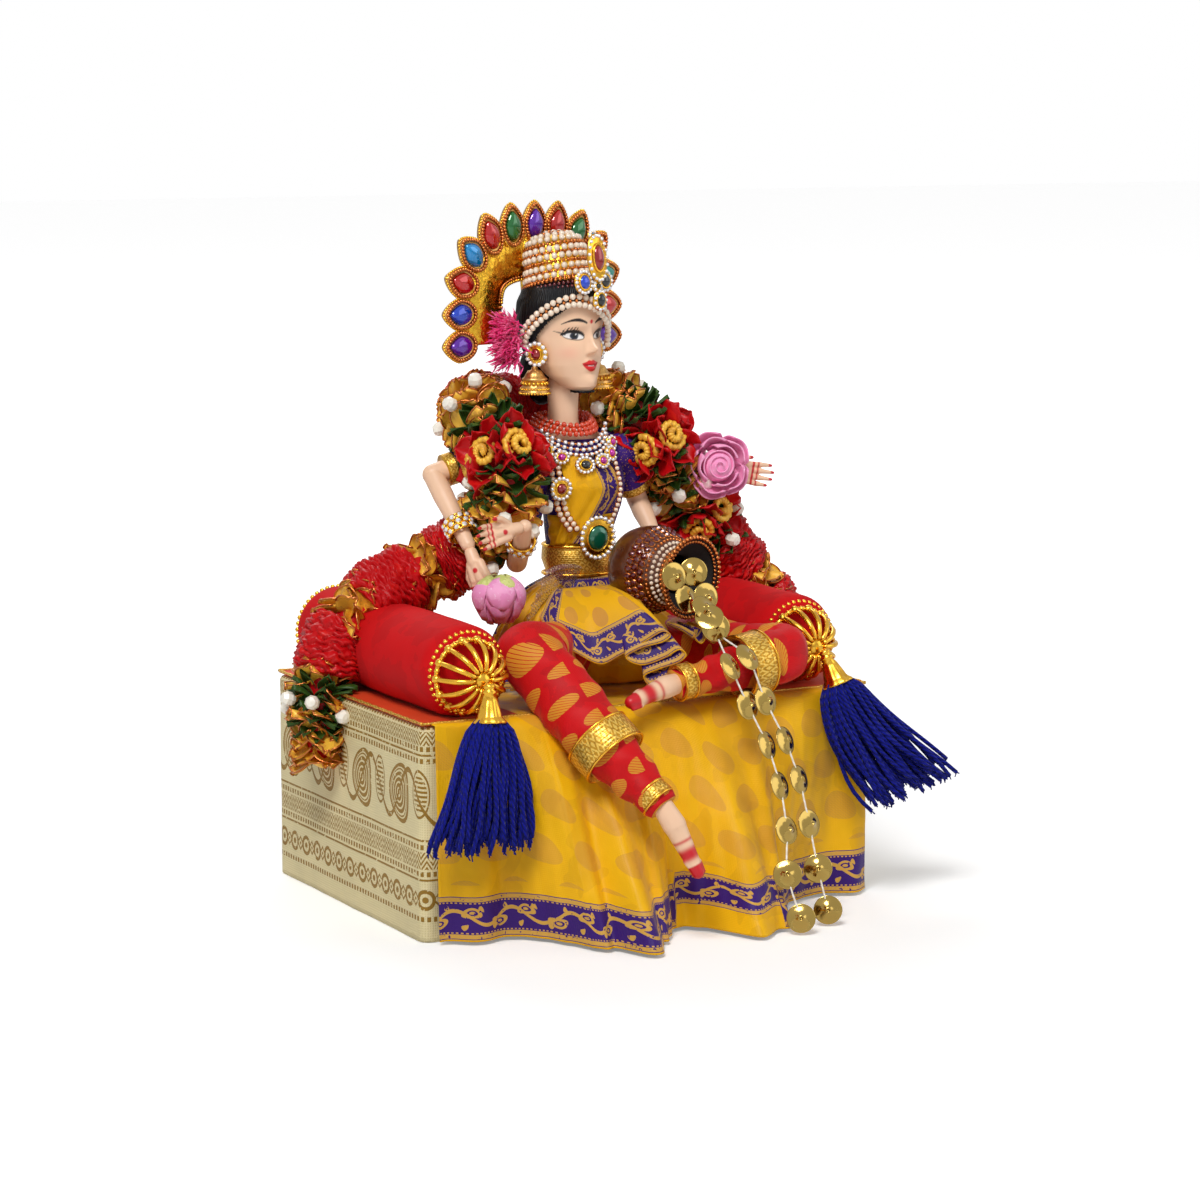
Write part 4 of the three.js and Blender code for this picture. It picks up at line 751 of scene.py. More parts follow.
    def vine(self, across: Field, low: float, high: float, u: Field) -> None:
        """Purple border with a gold vine between gold braids, across from low to high; u runs along it."""
        middle, half = (low + high) / 2, (high - low) / 2
        inside = across.within(low, high)
        self.dye(inside, self.finish.third)
        step = across - middle
        repeat = (high - low) * 1.4
        stem = (u.wave(repeat) * half * 0.34 - step).made("ABSOLUTE").below(half * 0.09)
        bend = (u + repeat / 4).wave(repeat) * half * 0.26 + step
        leaf = round_distance(u.cell(repeat / 2) * 0.55, bend)
        leaf = leaf.within(half * 0.13, half * 0.24) + leaf.below(half * 0.07)
        spot = round_distance((u + 2).cell(repeat / 4),
                              step - u.wave(repeat / 2) * half * 0.45).below(half * 0.13)
        braid = (step.made("ABSOLUTE") - half * 0.86).made("ABSOLUTE").below(half * 0.1)
        fine = (step.made("ABSOLUTE") - half * 0.7).made("ABSOLUTE").below(half * 0.03)
        fine = fine * u.cell(1.2).above(0)
        gold = (stem + leaf + spot + braid + fine).made("MINIMUM", 1.0)
        self.dye(inside * gold * self.noise(1.1, 2).above(0.34), "#d0a048")

    def drape(self) -> None:
        """Yellow silk with tan leaf motifs and a woven border along its hem."""
        u, rise = self.u, self.v
        x = (u + (rise + 7).made("FLOORED_MODULO", 28).above(14) * 8.5).cell(17)
        y = rise.cell(14)
        leaf = round_distance(x * 0.8 + y * 0.25, y * 1.1 + x * x * 0.03)
        hatch = (u * 0.7 + rise).cell(0.9).above(-0.3) * 0.3 + 0.22
        motif = leaf.below(5.0) * hatch * rise.above(17)
        self.dye(self.noise(16, 2).above(0.55) * 0.25, "#c98f14")
        self.dye(motif, self.finish.second)
        self.vine(rise, 0.6, 13.5, u)
        self.height = u.wave(0.6) * 0.4 + rise.wave(0.6) * 0.4 + self.noise(5, 3) * 1.2

    def border(self) -> None:
        """Yellow silk whose lower edge is purple and gold; the cloth's v runs up from that edge."""
        self.dye(self.noise(9, 2).above(0.55) * 0.3, "#c08a18")
        self.vine(self.v, 0.3, self.finish.pitch, self.u)
        self.height = self.u.wave(0.6) * 0.4 + self.v.wave(0.6) * 0.4

    def corner(self) -> None:
        """Yellow silk with its purple and gold border along the free end and one side."""
        self.dye(self.noise(9, 2).above(0.55) * 0.3, "#c08a18")
        spot = round_distance(self.u.cell(15), self.v.cell(13)).below(3.6)
        self.dye(spot * 0.8, self.finish.second)
        self.vine(self.u.made("MINIMUM", self.v), 0.3, self.finish.pitch, self.u.made("MAXIMUM", self.v))
        self.height = self.u.wave(0.6) * 0.4 + self.v.wave(0.6) * 0.4

    def mango(self) -> None:
        """Red brocade with rows of woven gold mangoes."""
        u, v = self.u, self.v
        row = (v + 4.6).made("FLOORED_MODULO", 18.4).above(9.2)
        x = (u + row * 8).cell(16)
        y = v.cell(9.2)
        seed = round_distance(x * 0.44 + y * 0.3, y * 1.15 - x * 0.06)
        motif = seed.below(2.7) * (v * 0.9 + u * 0.6).cell(0.85).above(-0.26)
        self.dye(self.noise(7, 3).above(0.55) * 0.3, "#9c0c14")
        self.dye(motif, self.finish.second)
        self.height = motif * 0.7 + u.wave(0.6) * 0.25 + self.noise(3, 3)

    def braid(self) -> None:
        """Gold zari braid: crossed metal threads in diamonds."""
        p = self.finish.pitch
        lattice = (self.u.cell(p).made("ABSOLUTE") + self.v.cell(p).made("ABSOLUTE")).cell(p / 2)
        self.height = lattice.above(0) * 0.8 + self.v.wave(0.5) * 0.3
        self.dye(lattice.above(0), self.finish.second)
        self.dye(self.noise(0.8, 2).above(0.6) * 0.5, self.finish.third)

    def yarn(self) -> None:
        """Two-ply yarn: the plies turn round each strand."""
        twist = (self.v + self.u * 1.4).wave(2.4)
        self.height = twist + self.noise(0.4, 3) * 0.6
        # Painted shade: the darker second colour fills the grooves where the twist sinks.
        self.dye(twist.below(-0.35) * 0.6, self.finish.second)

    def glitter(self) -> None:
        """Small sparks on a soft ground."""
        spark = self.noise(0.55, 1).above(0.66)
        self.dye(spark, self.finish.second)
        self.dye(self.noise(5, 2).above(0.52) * 0.4, self.finish.third)

    def cast(self) -> None:
        """Metal with darker patches laid at random."""
        self.dye(self.noise(self.finish.pitch * 3, 2).above(0.58) * 0.3, self.finish.second)

    def painted(self) -> None:
        """Paint laid point by point in the mesh's own colours."""
        self.colour = node(self.tree, "ShaderNodeVertexColor", out="Color", layer_name="paint")

    def spun(self) -> None:
        """Metal disc spun on a lathe: its reflection is painted, darker in two opposite sectors."""
        # Painted reflection: the darker second colour is laid in two opposite sectors round the disc.
        self.dye((self.u + 2).wave(self.finish.pitch).above(0.35) * 0.7, self.finish.second)
        self.height = self.noise(1.5, 2) * 0.2

    def wood(self) -> None:
        """Sawn timber with grain lines drawn from noise."""
        grain = self.noise(30, 6)
        self.dye(grain.cell(0.08).above(0) * 0.5, self.finish.second)

    def gauze(self) -> None:
        """Net: open mesh with sparks."""
        self.dye(self.noise(0.7, 1).above(0.64), self.finish.second)
        self.height = self.u.wave(1.0) + self.v.wave(1.0)

    def hair(self) -> None:
        """Combed hair: fine lines that run down."""
        self.height = (self.u + self.noise(6, 2) * 2).wave(0.7)

    def petal(self) -> None:
        """Petal: paler patches and fine specks laid at random."""
        self.dye(self.noise(3.5, 2).above(0.5) * 0.45, self.finish.second)
        self.dye(self.noise(0.7, 1).above(0.68) * 0.6, self.finish.third)

    def join(self) -> None:
        """Varies the colour softly and joins everything to the shader."""
        finish = self.finish
        tone = self.noise(12, 2) * (2 * finish.variation) + (1 - finish.variation)
        shaded = node(self.tree, "ShaderNodeVectorMath", {0: self.colour, "Scale": tone},
                      operation="SCALE")
        self.tree.links.new(shaded, self.shader.inputs["Base Color"])
        gloss = self.noise(3, 2) * 0.12 + (finish.roughness - 0.06)
        self.tree.links.new(gloss.socket, self.shader.inputs["Roughness"])
        normal = node(self.tree, "ShaderNodeBump", {
            "Strength": min(1.0, finish.bump * 2), "Distance": finish.bump * MM, "Height": self.height})
        self.tree.links.new(normal, self.shader.inputs["Normal"])
        soft = finish.weave not in (Weave.PLAIN, Weave.CAST, Weave.PAINTED) and not finish.metallic
        fixed = {"Metallic": finish.metallic, "Sheen Weight": finish.sheen * 0.3,
                 "Coat Weight": finish.coat, "Coat Roughness": 0.08, "Sheen Roughness": 0.4,
                 "Specular IOR Level": 0.2 if soft else 0.5}
        for name, value in fixed.items():
            self.shader.inputs[name].default_value = value
        if finish.clear:
            self.shader.inputs["Transmission Weight"].default_value = finish.clear
        if finish.weave is Weave.GAUZE:
            sparks = self.noise(0.7, 1).above(0.64) * 0.5
            holes = (self.u.wave(1.1) * self.v.wave(1.1)).above(0.1) * 0.3 + sparks + 0.16
            self.tree.links.new(holes.socket, self.shader.inputs["Alpha"])


SKIN = Finish("Moulded peach vinyl", SKIN_COLOUR, roughness=0.42, pitch=4, bump=0.03, variation=0.04)
FACE = Finish("Painted vinyl face", SKIN_COLOUR, roughness=0.38, weave=Weave.PAINTED, pitch=4, bump=0.02,
              variation=0.03)
TIMBER = Finish("Sawn pine", "#c9a878", "#a9875a", roughness=0.75, weave=Weave.WOOD, bump=0.15)
JACQUARD = Finish("Cream and gold jacquard", "#e0d2a4", "#94702c", roughness=0.55, weave=Weave.JACQUARD,
                  bump=0.2, sheen=0.1)
SEAT_CLOTH = Finish("Orange red dupion", "#d8451a", roughness=0.6, weave=Weave.THREADS, pitch=0.8,
                    bump=0.12, sheen=0.2)
SILK = Finish("Yellow silk with woven motifs", "#eeb40c", "#c98c3c", "#38186e", roughness=0.45,
              weave=Weave.DRAPE, bump=0.12, sheen=0.25)
SARI = Finish("Yellow silk with purple border", "#ecb00c", "#c98c3c", "#34166a", roughness=0.45,
              weave=Weave.BORDER, pitch=7, bump=0.12, sheen=0.25)
SARI_WIDE = Finish("Yellow silk bordered on two sides", "#ecb00c", "#c98c3c", "#34166a", roughness=0.45,
                   weave=Weave.CORNER, pitch=9, bump=0.12, sheen=0.25)
SARI_PLAIN = Finish("Yellow wound silk", "#dfa40e", "#c98c3c", roughness=0.45, weave=Weave.THREADS,
                    pitch=0.7, bump=0.12, sheen=0.25)
BLOUSE = Finish("Purple silk with gold sprigs", "#32146a", "#c8963c", "#4a2488", roughness=0.5,
                weave=Weave.GLITTER, bump=0.1, sheen=0.2)
VELVET = Finish("Red velvet", "#cc040c", "#9c040a", roughness=0.8, weave=Weave.PILE, bump=0.08,
                sheen=0.06)
LEGGING = Finish("Red brocade with gold mangoes", "#cc0c14", "#d8902c", roughness=0.55, weave=Weave.MANGO,
                 bump=0.15, sheen=0.2)
ZARI = Finish("Gold zari braid", "#c8922a", "#f0c860", "#8c5c14", roughness=0.35, metallic=0.7,
              weave=Weave.BRAID, pitch=2.2, bump=0.25)
NET = Finish("Mauve net", "#8c6478", "#ffe8b0", roughness=0.6, weave=Weave.GAUZE, bump=0.1)
GOLD = Finish("Gold plated casting", "#f0b840", "#a8701c", roughness=0.22, metallic=1, weave=Weave.CAST,
              bump=0.06)
ANTIQUE = Finish("Antique gold filigree", "#d4a460", "#8c6024", roughness=0.32, metallic=1,
                 weave=Weave.CAST, pitch=0.5, bump=0.2)
COPPER = Finish("Copper beading", "#c87840", "#7c3c18", roughness=0.28, metallic=1, weave=Weave.CAST,
                pitch=0.5, bump=0.1)
FOIL = Finish("Crumpled gold foil", "#e8b438", "#a87018", roughness=0.25, metallic=1, weave=Weave.CAST,
              pitch=1.4, bump=0.5)
PEARL = Finish("Pearl beads", "#f4e2cc", roughness=0.2, pitch=2, bump=0.01, coat=0.6, variation=0.05)
WAX = Finish("White faceted beads", "#f6f0e2", roughness=0.3, pitch=2, bump=0.01, coat=0.3,
             variation=0.04)
CRYSTAL = Finish("Rhinestones", "#f4f6fa", roughness=0.08, metallic=0.35, pitch=1, bump=0.01, coat=1,
                 variation=0.1)
CORAL = Finish("Coral beads", "#d43804", roughness=0.28, pitch=2, bump=0.01, coat=0.5, variation=0.1)
# The second colour is painted shade in the grooves between the plies.
YARN = Finish("Blue wool yarn", "#0a1488", "#040838", roughness=0.85, weave=Weave.YARN, bump=0.3,
              sheen=0.2)
HAIR = Finish("Black fibre hair", "#0c0c10", roughness=0.4, weave=Weave.HAIR, bump=0.2)
FEATHER = Finish("Magenta feather", "#f03c84", "#fc8cb8", "#c41c5c", roughness=0.85, weave=Weave.PETAL,
                 bump=0.1, sheen=0.6)
ROSE = Finish("Pink foam petals", "#fca4d0", "#fcb8d8", "#fcd0e4", roughness=0.65, weave=Weave.PETAL,
              pitch=2, bump=0.05, sheen=0.3)
LOTUS = Finish("Pink glitter petals", "#ee98c8", "#f8bcdc", "#ffe4f4", roughness=0.5, weave=Weave.PETAL,
               pitch=1, bump=0.05, sheen=0.3)
SEPAL = Finish("Pale green sepals", "#d8dc8c", "#b0bc54", "#f0f0c0", roughness=0.6, weave=Weave.PETAL)
# The second colour, a lighter green, is painted sheen.
LEAF = Finish("Green satin leaves", "#2e4c14", "#56742a", roughness=0.35, weave=Weave.SATIN, bump=0.15,
              sheen=0.3)
# The second colour, a lighter red, is painted sheen.
RIBBON = Finish("Red satin ribbon", "#c00810", "#e8281c", roughness=0.34, weave=Weave.SATIN, bump=0.12,
                sheen=0.1)
# The second colour is painted glints on the threads; the third gives darker patches at random.
TISSUE = Finish("Gold tissue ribbon", "#f4bc3c", "#ffe88c", "#c88c30", roughness=0.42, metallic=0.12,
                weave=Weave.TISSUE, bump=0.2)
LACQUER = Finish("Brown gold lacquer", "#5a2c10", "#8a5422", roughness=0.3, metallic=0.3,
                 weave=Weave.CAST, pitch=2, bump=0.05, coat=0.4)
NECK_GOLD = Finish("Tan gold paint", "#c08c48", "#8c5c24", roughness=0.4, metallic=0.4, weave=Weave.CAST,
                   bump=0.08)
# Near black standing in for the shade inside the pot: painted shade.
POT_HOLLOW_SHADE = Finish("Painted shade in hollow", "#140c08", roughness=0.8)
# The darker second colour is a painted reflection on the discs.
COIN = Finish("Spun gold foil discs", "#ffe68c", "#8a6420", roughness=0.14, metallic=1, weave=Weave.SPUN,
              pitch=13.8, bump=0.03)
THREAD = Finish("White thread", "#ece4d4", roughness=0.8, weave=Weave.YARN, bump=0.05)


def gem(name: str, colour: str) -> Finish:
    """Foil-backed glass stone: the colour glows from a bright backing under a hard gloss."""
    return Finish(f"{name} foil-backed glass", colour, roughness=0.04, metallic=0.3, pitch=2, bump=0.01,
                  coat=1.0, variation=0.45)


GEM_COLOURS = {
    "purple": "#5c0ca8", "blue": "#0440c8", "red": "#c40c0c", "cyan": "#0488cc",
    "green": "#046c28", "pink": "#d41c84", "teal": "#048878", "magenta": "#c00c98",
    "black": "#080c0c", "wine": "#5c0410", "emerald": "#04684c", "ruby": "#940410",
}
GEMS = {name: gem(name.capitalize(), colour) for name, colour in GEM_COLOURS.items()}


class Piece:
    """One visible piece: surfaces with their finishes, joined into one mesh that rides on a body."""

    def __init__(self, name: str, body: str, slot: str, *nodes: str) -> None:
        """Starts a piece that rides on a body and stands for nodes of the frame."""
        self.name = name
        self.body = body
        self.slot = slot
        self.nodes = nodes
        self.parts: list[tuple[Shell, Finish, bool, Points | None]] = []

    def add(self, shell: Shell, finish: Finish, flat: bool = False,
            paint: Points | None = None) -> "Piece":
        """Adds a surface with its finish; flat keeps its facets, paint colours its points."""
        self.parts.append((shell, finish, flat, paint))
        return self

    def build(self, thickness: float = 0.0) -> bpy.types.Object:
        """Makes the mesh, hands it to the frame and reports it.

        Args:
            thickness: cloth thickness laid on open sheets, in millimetres.

        Returns:
            The finished object.
        """
        finishes = list(dict.fromkeys(finish for _, finish, _, _ in self.parts))
        points, faces, slots, flats, cloth, paint, first = [], [], [], [], [], [], 0
        for shell, finish, flat, colours in self.parts:
            points.append(shell.points)
            quads = (shell.quads + first).tolist()
            triangles = [] if shell.triangles is None else (shell.triangles + first).tolist()
            corners = shell.corners if shell.corners is not None else np.zeros((len(quads), 4, 2))
            cloth += [corners.reshape(-1, 2), np.zeros((3 * len(triangles), 2))]
            faces += quads + triangles
            slots += [finishes.index(finish)] * (len(quads) + len(triangles))
            flats += [not flat] * (len(quads) + len(triangles))
            paint.append(colours if colours is not None else np.ones((len(shell.points), 4)))
            first += len(shell.points)
        mesh = bpy.data.meshes.new(self.name)
        mesh.from_pydata((np.vstack(points) * MM).tolist(), [], faces)
        for finish in finishes:
            mesh.materials.append(finish.material())
        mesh.polygons.foreach_set("material_index", slots)
        mesh.polygons.foreach_set("use_smooth", flats)
        mesh.uv_layers.new(name="cloth").data.foreach_set("uv", np.vstack(cloth).ravel())
        if any(part[3] is not None for part in self.parts):
            layer = mesh.color_attributes.new("paint", "FLOAT_COLOR", "POINT")
            layer.data.foreach_set("color", np.vstack(paint).ravel())
        mesh.update()
        obj = linked(self.name, mesh)
        if thickness:
            solid = obj.modifiers.new("cloth", "SOLIDIFY")
            solid.thickness = thickness * MM
            solid.offset = 0
        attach(obj, self.body)
        if self.nodes:
            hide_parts(*self.nodes)
        log.info("%s: %d faces", self.name, len(faces))
        return obj


def dress_node(frame: dict, name: str, finish: Finish) -> None:
    """Gives a CAD node's own mesh a finish."""
    slots = frame["nodes"][name].data.materials
    slots.clear()
    slots.append(finish.material())


@dataclass
class Studio:
    """Camera, floor and lights. Lengths here are metres, as Blender's own objects take them."""

    lens: float = 105.0
    target: tuple[float, float, float] = (0.0111, 0.0, 0.0897)
    azimuth: float = -28.15
    elevation: float = 8.5
    distance: float = 1.112
    floor_half: float = 6.0

    def build(self) -> None:
        """Sets the camera first, then the floor, the world and the lamps."""
        self.camera()
        self.floor()
        self.world()
        self.lamp("Key", (-1.0, -1.2, 1.9), 0.8, 40)
        self.lamp("Fill", (1.5, -1.1, 0.9), 1.3, 7)
        self.lamp("Rim", (0.3, 1.5, 1.4), 1.0, 10)

    def camera(self) -> None:
        """The photograph's viewing angle."""
        data = bpy.data.cameras.new("Camera")
        data.lens = self.lens
        data.sensor_width = 36
        camera = linked("Camera", data)
        a, e = math.radians(self.azimuth), math.radians(self.elevation)
        back = Vector((math.sin(a) * math.cos(e), -math.cos(a) * math.cos(e), math.sin(e)))
        camera.location = Vector(self.target) + back * self.distance
        camera.rotation_euler = (-back).to_track_quat("-Z", "Y").to_euler()
        bpy.context.scene.camera = camera
        bpy.context.scene.view_settings.view_transform = "Standard"

    def floor(self) -> None:
        """A pale floor that keeps the object's shadow."""
        h = self.floor_half
        mesh = bpy.data.meshes.new("floor")
        mesh.from_pydata([(-h, -h, 0), (h, -h, 0), (h, h, 0), (-h, h, 0)], [], [(0, 1, 2, 3)])
        floor = linked("floor", mesh)
        material = bpy.data.materials.new("Matt white paper")
        material.use_nodes = True
        tree = material.node_tree
        shader = tree.nodes["Principled BSDF"]
        shader.inputs["Base Color"].default_value = (0.93, 0.93, 0.93, 1)
        shader.inputs["Roughness"].default_value = 0.9
        seen = node(tree, "ShaderNodeLightPath", out="Is Camera Ray")
        place = node(tree, "ShaderNodeTexCoord", out="Object")
        away = node(tree, "ShaderNodeVectorMath", {0: place}, out="Value", operation="LENGTH")
        far = node(tree, "ShaderNodeMapRange",
                   {"Value": away, "From Min": 0.15, "From Max": 0.9, "To Min": 0.22,
                                                 "To Max": 0.75}, out="Result")
        lift = node(tree, "ShaderNodeMath", {0: seen, 1: far}, operation="MULTIPLY")
        shader.inputs["Emission Color"].default_value = (1, 1, 1, 1)
        tree.links.new(lift, shader.inputs["Emission Strength"])
        mesh.materials.append(material)

    def world(self) -> None:
        """Even soft light, seen as white by the camera and in reflections."""
        world = bpy.data.worlds.new("Studio")
        bpy.context.scene.world = world
        world.use_nodes = True
        tree = world.node_tree
        background = tree.nodes["Background"]
        background.inputs["Color"].default_value = (1, 1, 1, 1)
        camera = node(tree, "ShaderNodeLightPath", out="Is Camera Ray")
        glossy = node(tree, "ShaderNodeLightPath", out="Is Glossy Ray")
        shine = node(tree, "ShaderNodeMath", {0: glossy, 1: 0.5, 2: 0.19}, operation="MULTIPLY_ADD")
        strength = node(tree, "ShaderNodeMath", {0: camera, 1: shine}, operation="MAXIMUM")
        tree.links.new(strength, background.inputs["Strength"])

    def lamp(self, name: str, at: tuple[float, float, float], size: float, power: float) -> None:
        """Square soft box aimed at the object."""
        data = bpy.data.lights.new(name, "AREA")
        data.size = size
        data.energy = power
        lamp = linked(name, data)
        lamp.location = at
        lamp.rotation_euler = (Vector(self.target) - Vector(at)).to_track_quat("-Z", "Y").to_euler()


@dataclass
class Seat:
    """Block with its brocade, seat cloth and silk drape."""

    length: float = 155.0
    depth: float = 109.0
    height: float = 65.0
    corner: float = 2.5
    cover_thickness: float = 1.2
    top_y: float = 34.0
    hem: tuple = ((-74, -60), (-64, -62.5), (-54, -63), (-46, -69), (-39, -79), (-33, -91), (-25, -99.5),
                  (-18, -96), (-12, -84), (-4, -77.5), (4, -84), (11, -93), (19, -97.5), (27, -88),
                  (33, -76), (42, -63.5), (58, -60.5), (74, -60))

    def build(self, frame: dict) -> None:
        """Makes the block's cloths."""
        dress_node(frame, "wooden_block", TIMBER)
        self.cover()
        self.mat()
        self.drape()

    def outline(self, inset: float, spans: int) -> Points:
        """Rounded rectangle round the block, from its back middle, at equal steps."""
        a, b, r = self.length / 2 - inset, self.depth / 2 - inset, self.corner
        line = [(0, b)]
        right, top = a - r, b - r
        for cx, cy, start in ((right, top, 90), (right, -top, 0), (-right, -top, -90),
                              (-right, top, -180)):
            turn = np.radians(np.linspace(start, start - 90, 7))
            line += [(cx + r * math.cos(t), cy + r * math.sin(t)) for t in turn]
        line.append((0, b))
        return resampled(np.array(line, float), spans)

    def cover(self) -> None:
        """Brocade wrapped round the block: over the top's edge and down its four sides."""
        ring = self.outline(self.cover_thickness / 2, 330)
        edge = [(3.0, 0.0), (1.2, 0.12), (0.4, 0.5), (0.0, 1.3)]
        levels = [(0.0, d) for d in np.linspace(2.6, self.height - 0.5, 36)]
        rows = []
        for inset, down in edge + levels:
            shrink = np.array([1 - inset / (self.length / 2), 1 - inset / (self.depth / 2)])
            rows.append(np.column_stack([ring * shrink, np.full(len(ring), self.height - 0.3 - down)]))
        grid = np.array(rows)
        slack = ripple(grid, 26, 3)[..., None] * 0.25
        outward = unit(grid[:, :, :2] * vec(1 / self.length, 1 / self.depth))
        inner = slack * outward * (np.arange(len(rows)) > 3)[:, None, None]
        grid[:, :, :2] += np.clip(inner, -0.3, 0.3) - 0.1 * outward
        perimeter = path_length(np.column_stack([ring, np.zeros(len(ring))]))
        shell = weave_grid(grid, False, (perimeter, self.height))
        top = self.height - 0.9
        half = (self.length / 2 - 2.4, self.depth / 2 - 2.4)
        lid = weave_grid(np.array([[vec(x, y, top) for x in (-half[0], 0, half[0])]
                                   for y in (half[1], 0, -half[1])]))
        piece = Piece("brocade_wrap", "seated_doll", "brocade", "brocade_cover")
        obj = piece.add(shell, JACQUARD).build(self.cover_thickness * 0.7)
        self.height * MM
        lid_piece = Piece("brocade_top", "seated_doll", "brocade").add(lid, JACQUARD).build(0.4)

    def mat(self) -> None:
        """Orange red cloth laid on the block, with a gold woven edge."""
        a, b = self.length / 2 - 0.7, self.depth / 2 - 0.7
        u, v = np.linspace(-a, a, 90), np.linspace(b, -b, 64)
        x, y = np.meshgrid(u, v)
        grid = np.stack([x, y, np.full_like(x, SEAT - 0.45)], -1)
        grid[..., 2] += ripple(grid, 18, 5) * 0.12
        piece = Piece("seat_cloth", "seated_doll", "orange_cloth", "seat_mat")
        obj = piece.add(weave_grid(grid), SEAT_CLOTH).build(0.5)
        corners = [vec(-a, b, SEAT - 0.1), vec(a, b, SEAT - 0.1), vec(a, -b, SEAT - 0.1),
                   vec(-a, -b, SEAT - 0.1)]
        piece = Piece("seat_cloth_braid", "seated_doll", "zari")
        for start, end in zip(corners, corners[1:] + corners[:1]):
            path = start + np.linspace(0, 1, 60)[:, None] * (end - start)
            piece.add(tube(path, 0.45 + 0.12 * np.cos(np.arange(60) * 2.1), 6), ZARI)
        piece.build()

    def drape(self) -> None:
        """Yellow silk laid on the seat, falling to the floor in folds."""
        columns, fall = 300, 110
        hem = smooth_path([vec(x, y, 0) for x, y in self.hem], columns)
        side = np.linspace(-1, 1, columns + 1)
        x_top = side * (self.length / 2 - 3.5)
        front = -self.depth / 2 - 0.3
        top_z = self.height + 0.3
        inner_half = 44.3
        rows = []
        back = np.where(np.abs(x_top) < inner_half, self.top_y, front + 1.5)
        for t in np.linspace(0, 1, 24):
            rows.append(np.stack([x_top, back + (front + 0.6 - back) * t,
                                  np.full(columns + 1, top_z + 0.5)], 1))
        for t in np.linspace(0, 1, fall):
            bend = min(1.0, t * 12)
            turn = np.arange(columns + 1) / columns * TAU * 8
            fold = np.sin(turn + 0.6 + 1.3 * np.sin(turn * 0.37)) * 2.4 * t ** 0.8
            fold *= 1.35 * np.where(np.abs(side) > 0.55, 0.6, 1.0)
            clear = 1 - np.exp(-(((x_top + 26) / 13) ** 2))
            puff = 6.0 * math.sin(math.pi * t ** 0.5) * (0.65 + 0.35 * np.sin(side * 11 + 1.0)) * clear
            puff *= np.clip((1 - np.abs(side)) * 6, 0, 1)
            fine = np.sin(side * 74 + 2.2 * np.sin(side * 9)) * 0.9 * t ** 0.7
            fine = fine * np.clip(1 - np.abs(side), 0, 0.5)
            x = x_top + (hem[:, 0] - x_top) * t
            y = front - 1.6 + (hem[:, 1] - front + 1.6) * t ** 0.92 + fold + fine - puff
            y = np.minimum(y, front - 0.9)
            z = np.full(columns + 1, top_z + 0.5 - (1 - math.cos(bend * math.pi / 2)) * 1.4
                        - t * (top_z - 2.1))
            rows.append(np.stack([x, y, np.maximum(z, 0.9)], 1))
        grid = np.array(rows)
        crease = ripple(grid * vec(1, 1, 0.45), 13, 8) * 0.7 + ripple(grid * vec(1, 1, 0.6), 5, 9) * 0.2
        weight = np.clip(np.linspace(-0.25, 1.2, len(rows)), 0, 1)[:, None] ** 0.6
        grid[..., 1] -= crease * weight * 0.9
        grid[..., 1] = np.where(grid[..., 2] < top_z - 1, np.minimum(grid[..., 1], front - 0.8),
                                grid[..., 1])
        shell = weave_grid(grid)
        width = float(np.mean([path_length(row) for row in grid[::20]]))
        falls = np.cumsum(np.linalg.norm(np.diff(grid, axis=0), axis=2), axis=0)
        rise = falls[-1][None] - np.vstack([np.zeros((1, columns + 1)), falls])
        turned_under = np.where((side > -0.02) & (side < 0.36), 7.5, 0.0) * smooth_step(rise, 30, 0)
        rise = rise - turned_under
        u = np.broadcast_to(np.linspace(0, width, columns + 1), rise.shape)
        cloth = np.stack([u, rise], -1)
        cells = np.stack([cloth[:-1, :-1], cloth[:-1, 1:], cloth[1:, 1:], cloth[1:, :-1]], axis=2)
        shell.corners = cells.reshape(-1, 4, 2)
        obj = Piece("silk_drape", "seated_doll", "silk", "seat_drape").add(shell, SILK).build(0.5)
        total = area_of(shell)


def smooth_step(x: Points, high: float, low: float) -> Points:
    """Falls from one at low to nought at high, with soft ends."""
    t = np.clip((high - x) / (high - low), 0, 1)
    return t * t * (3 - 2 * t)


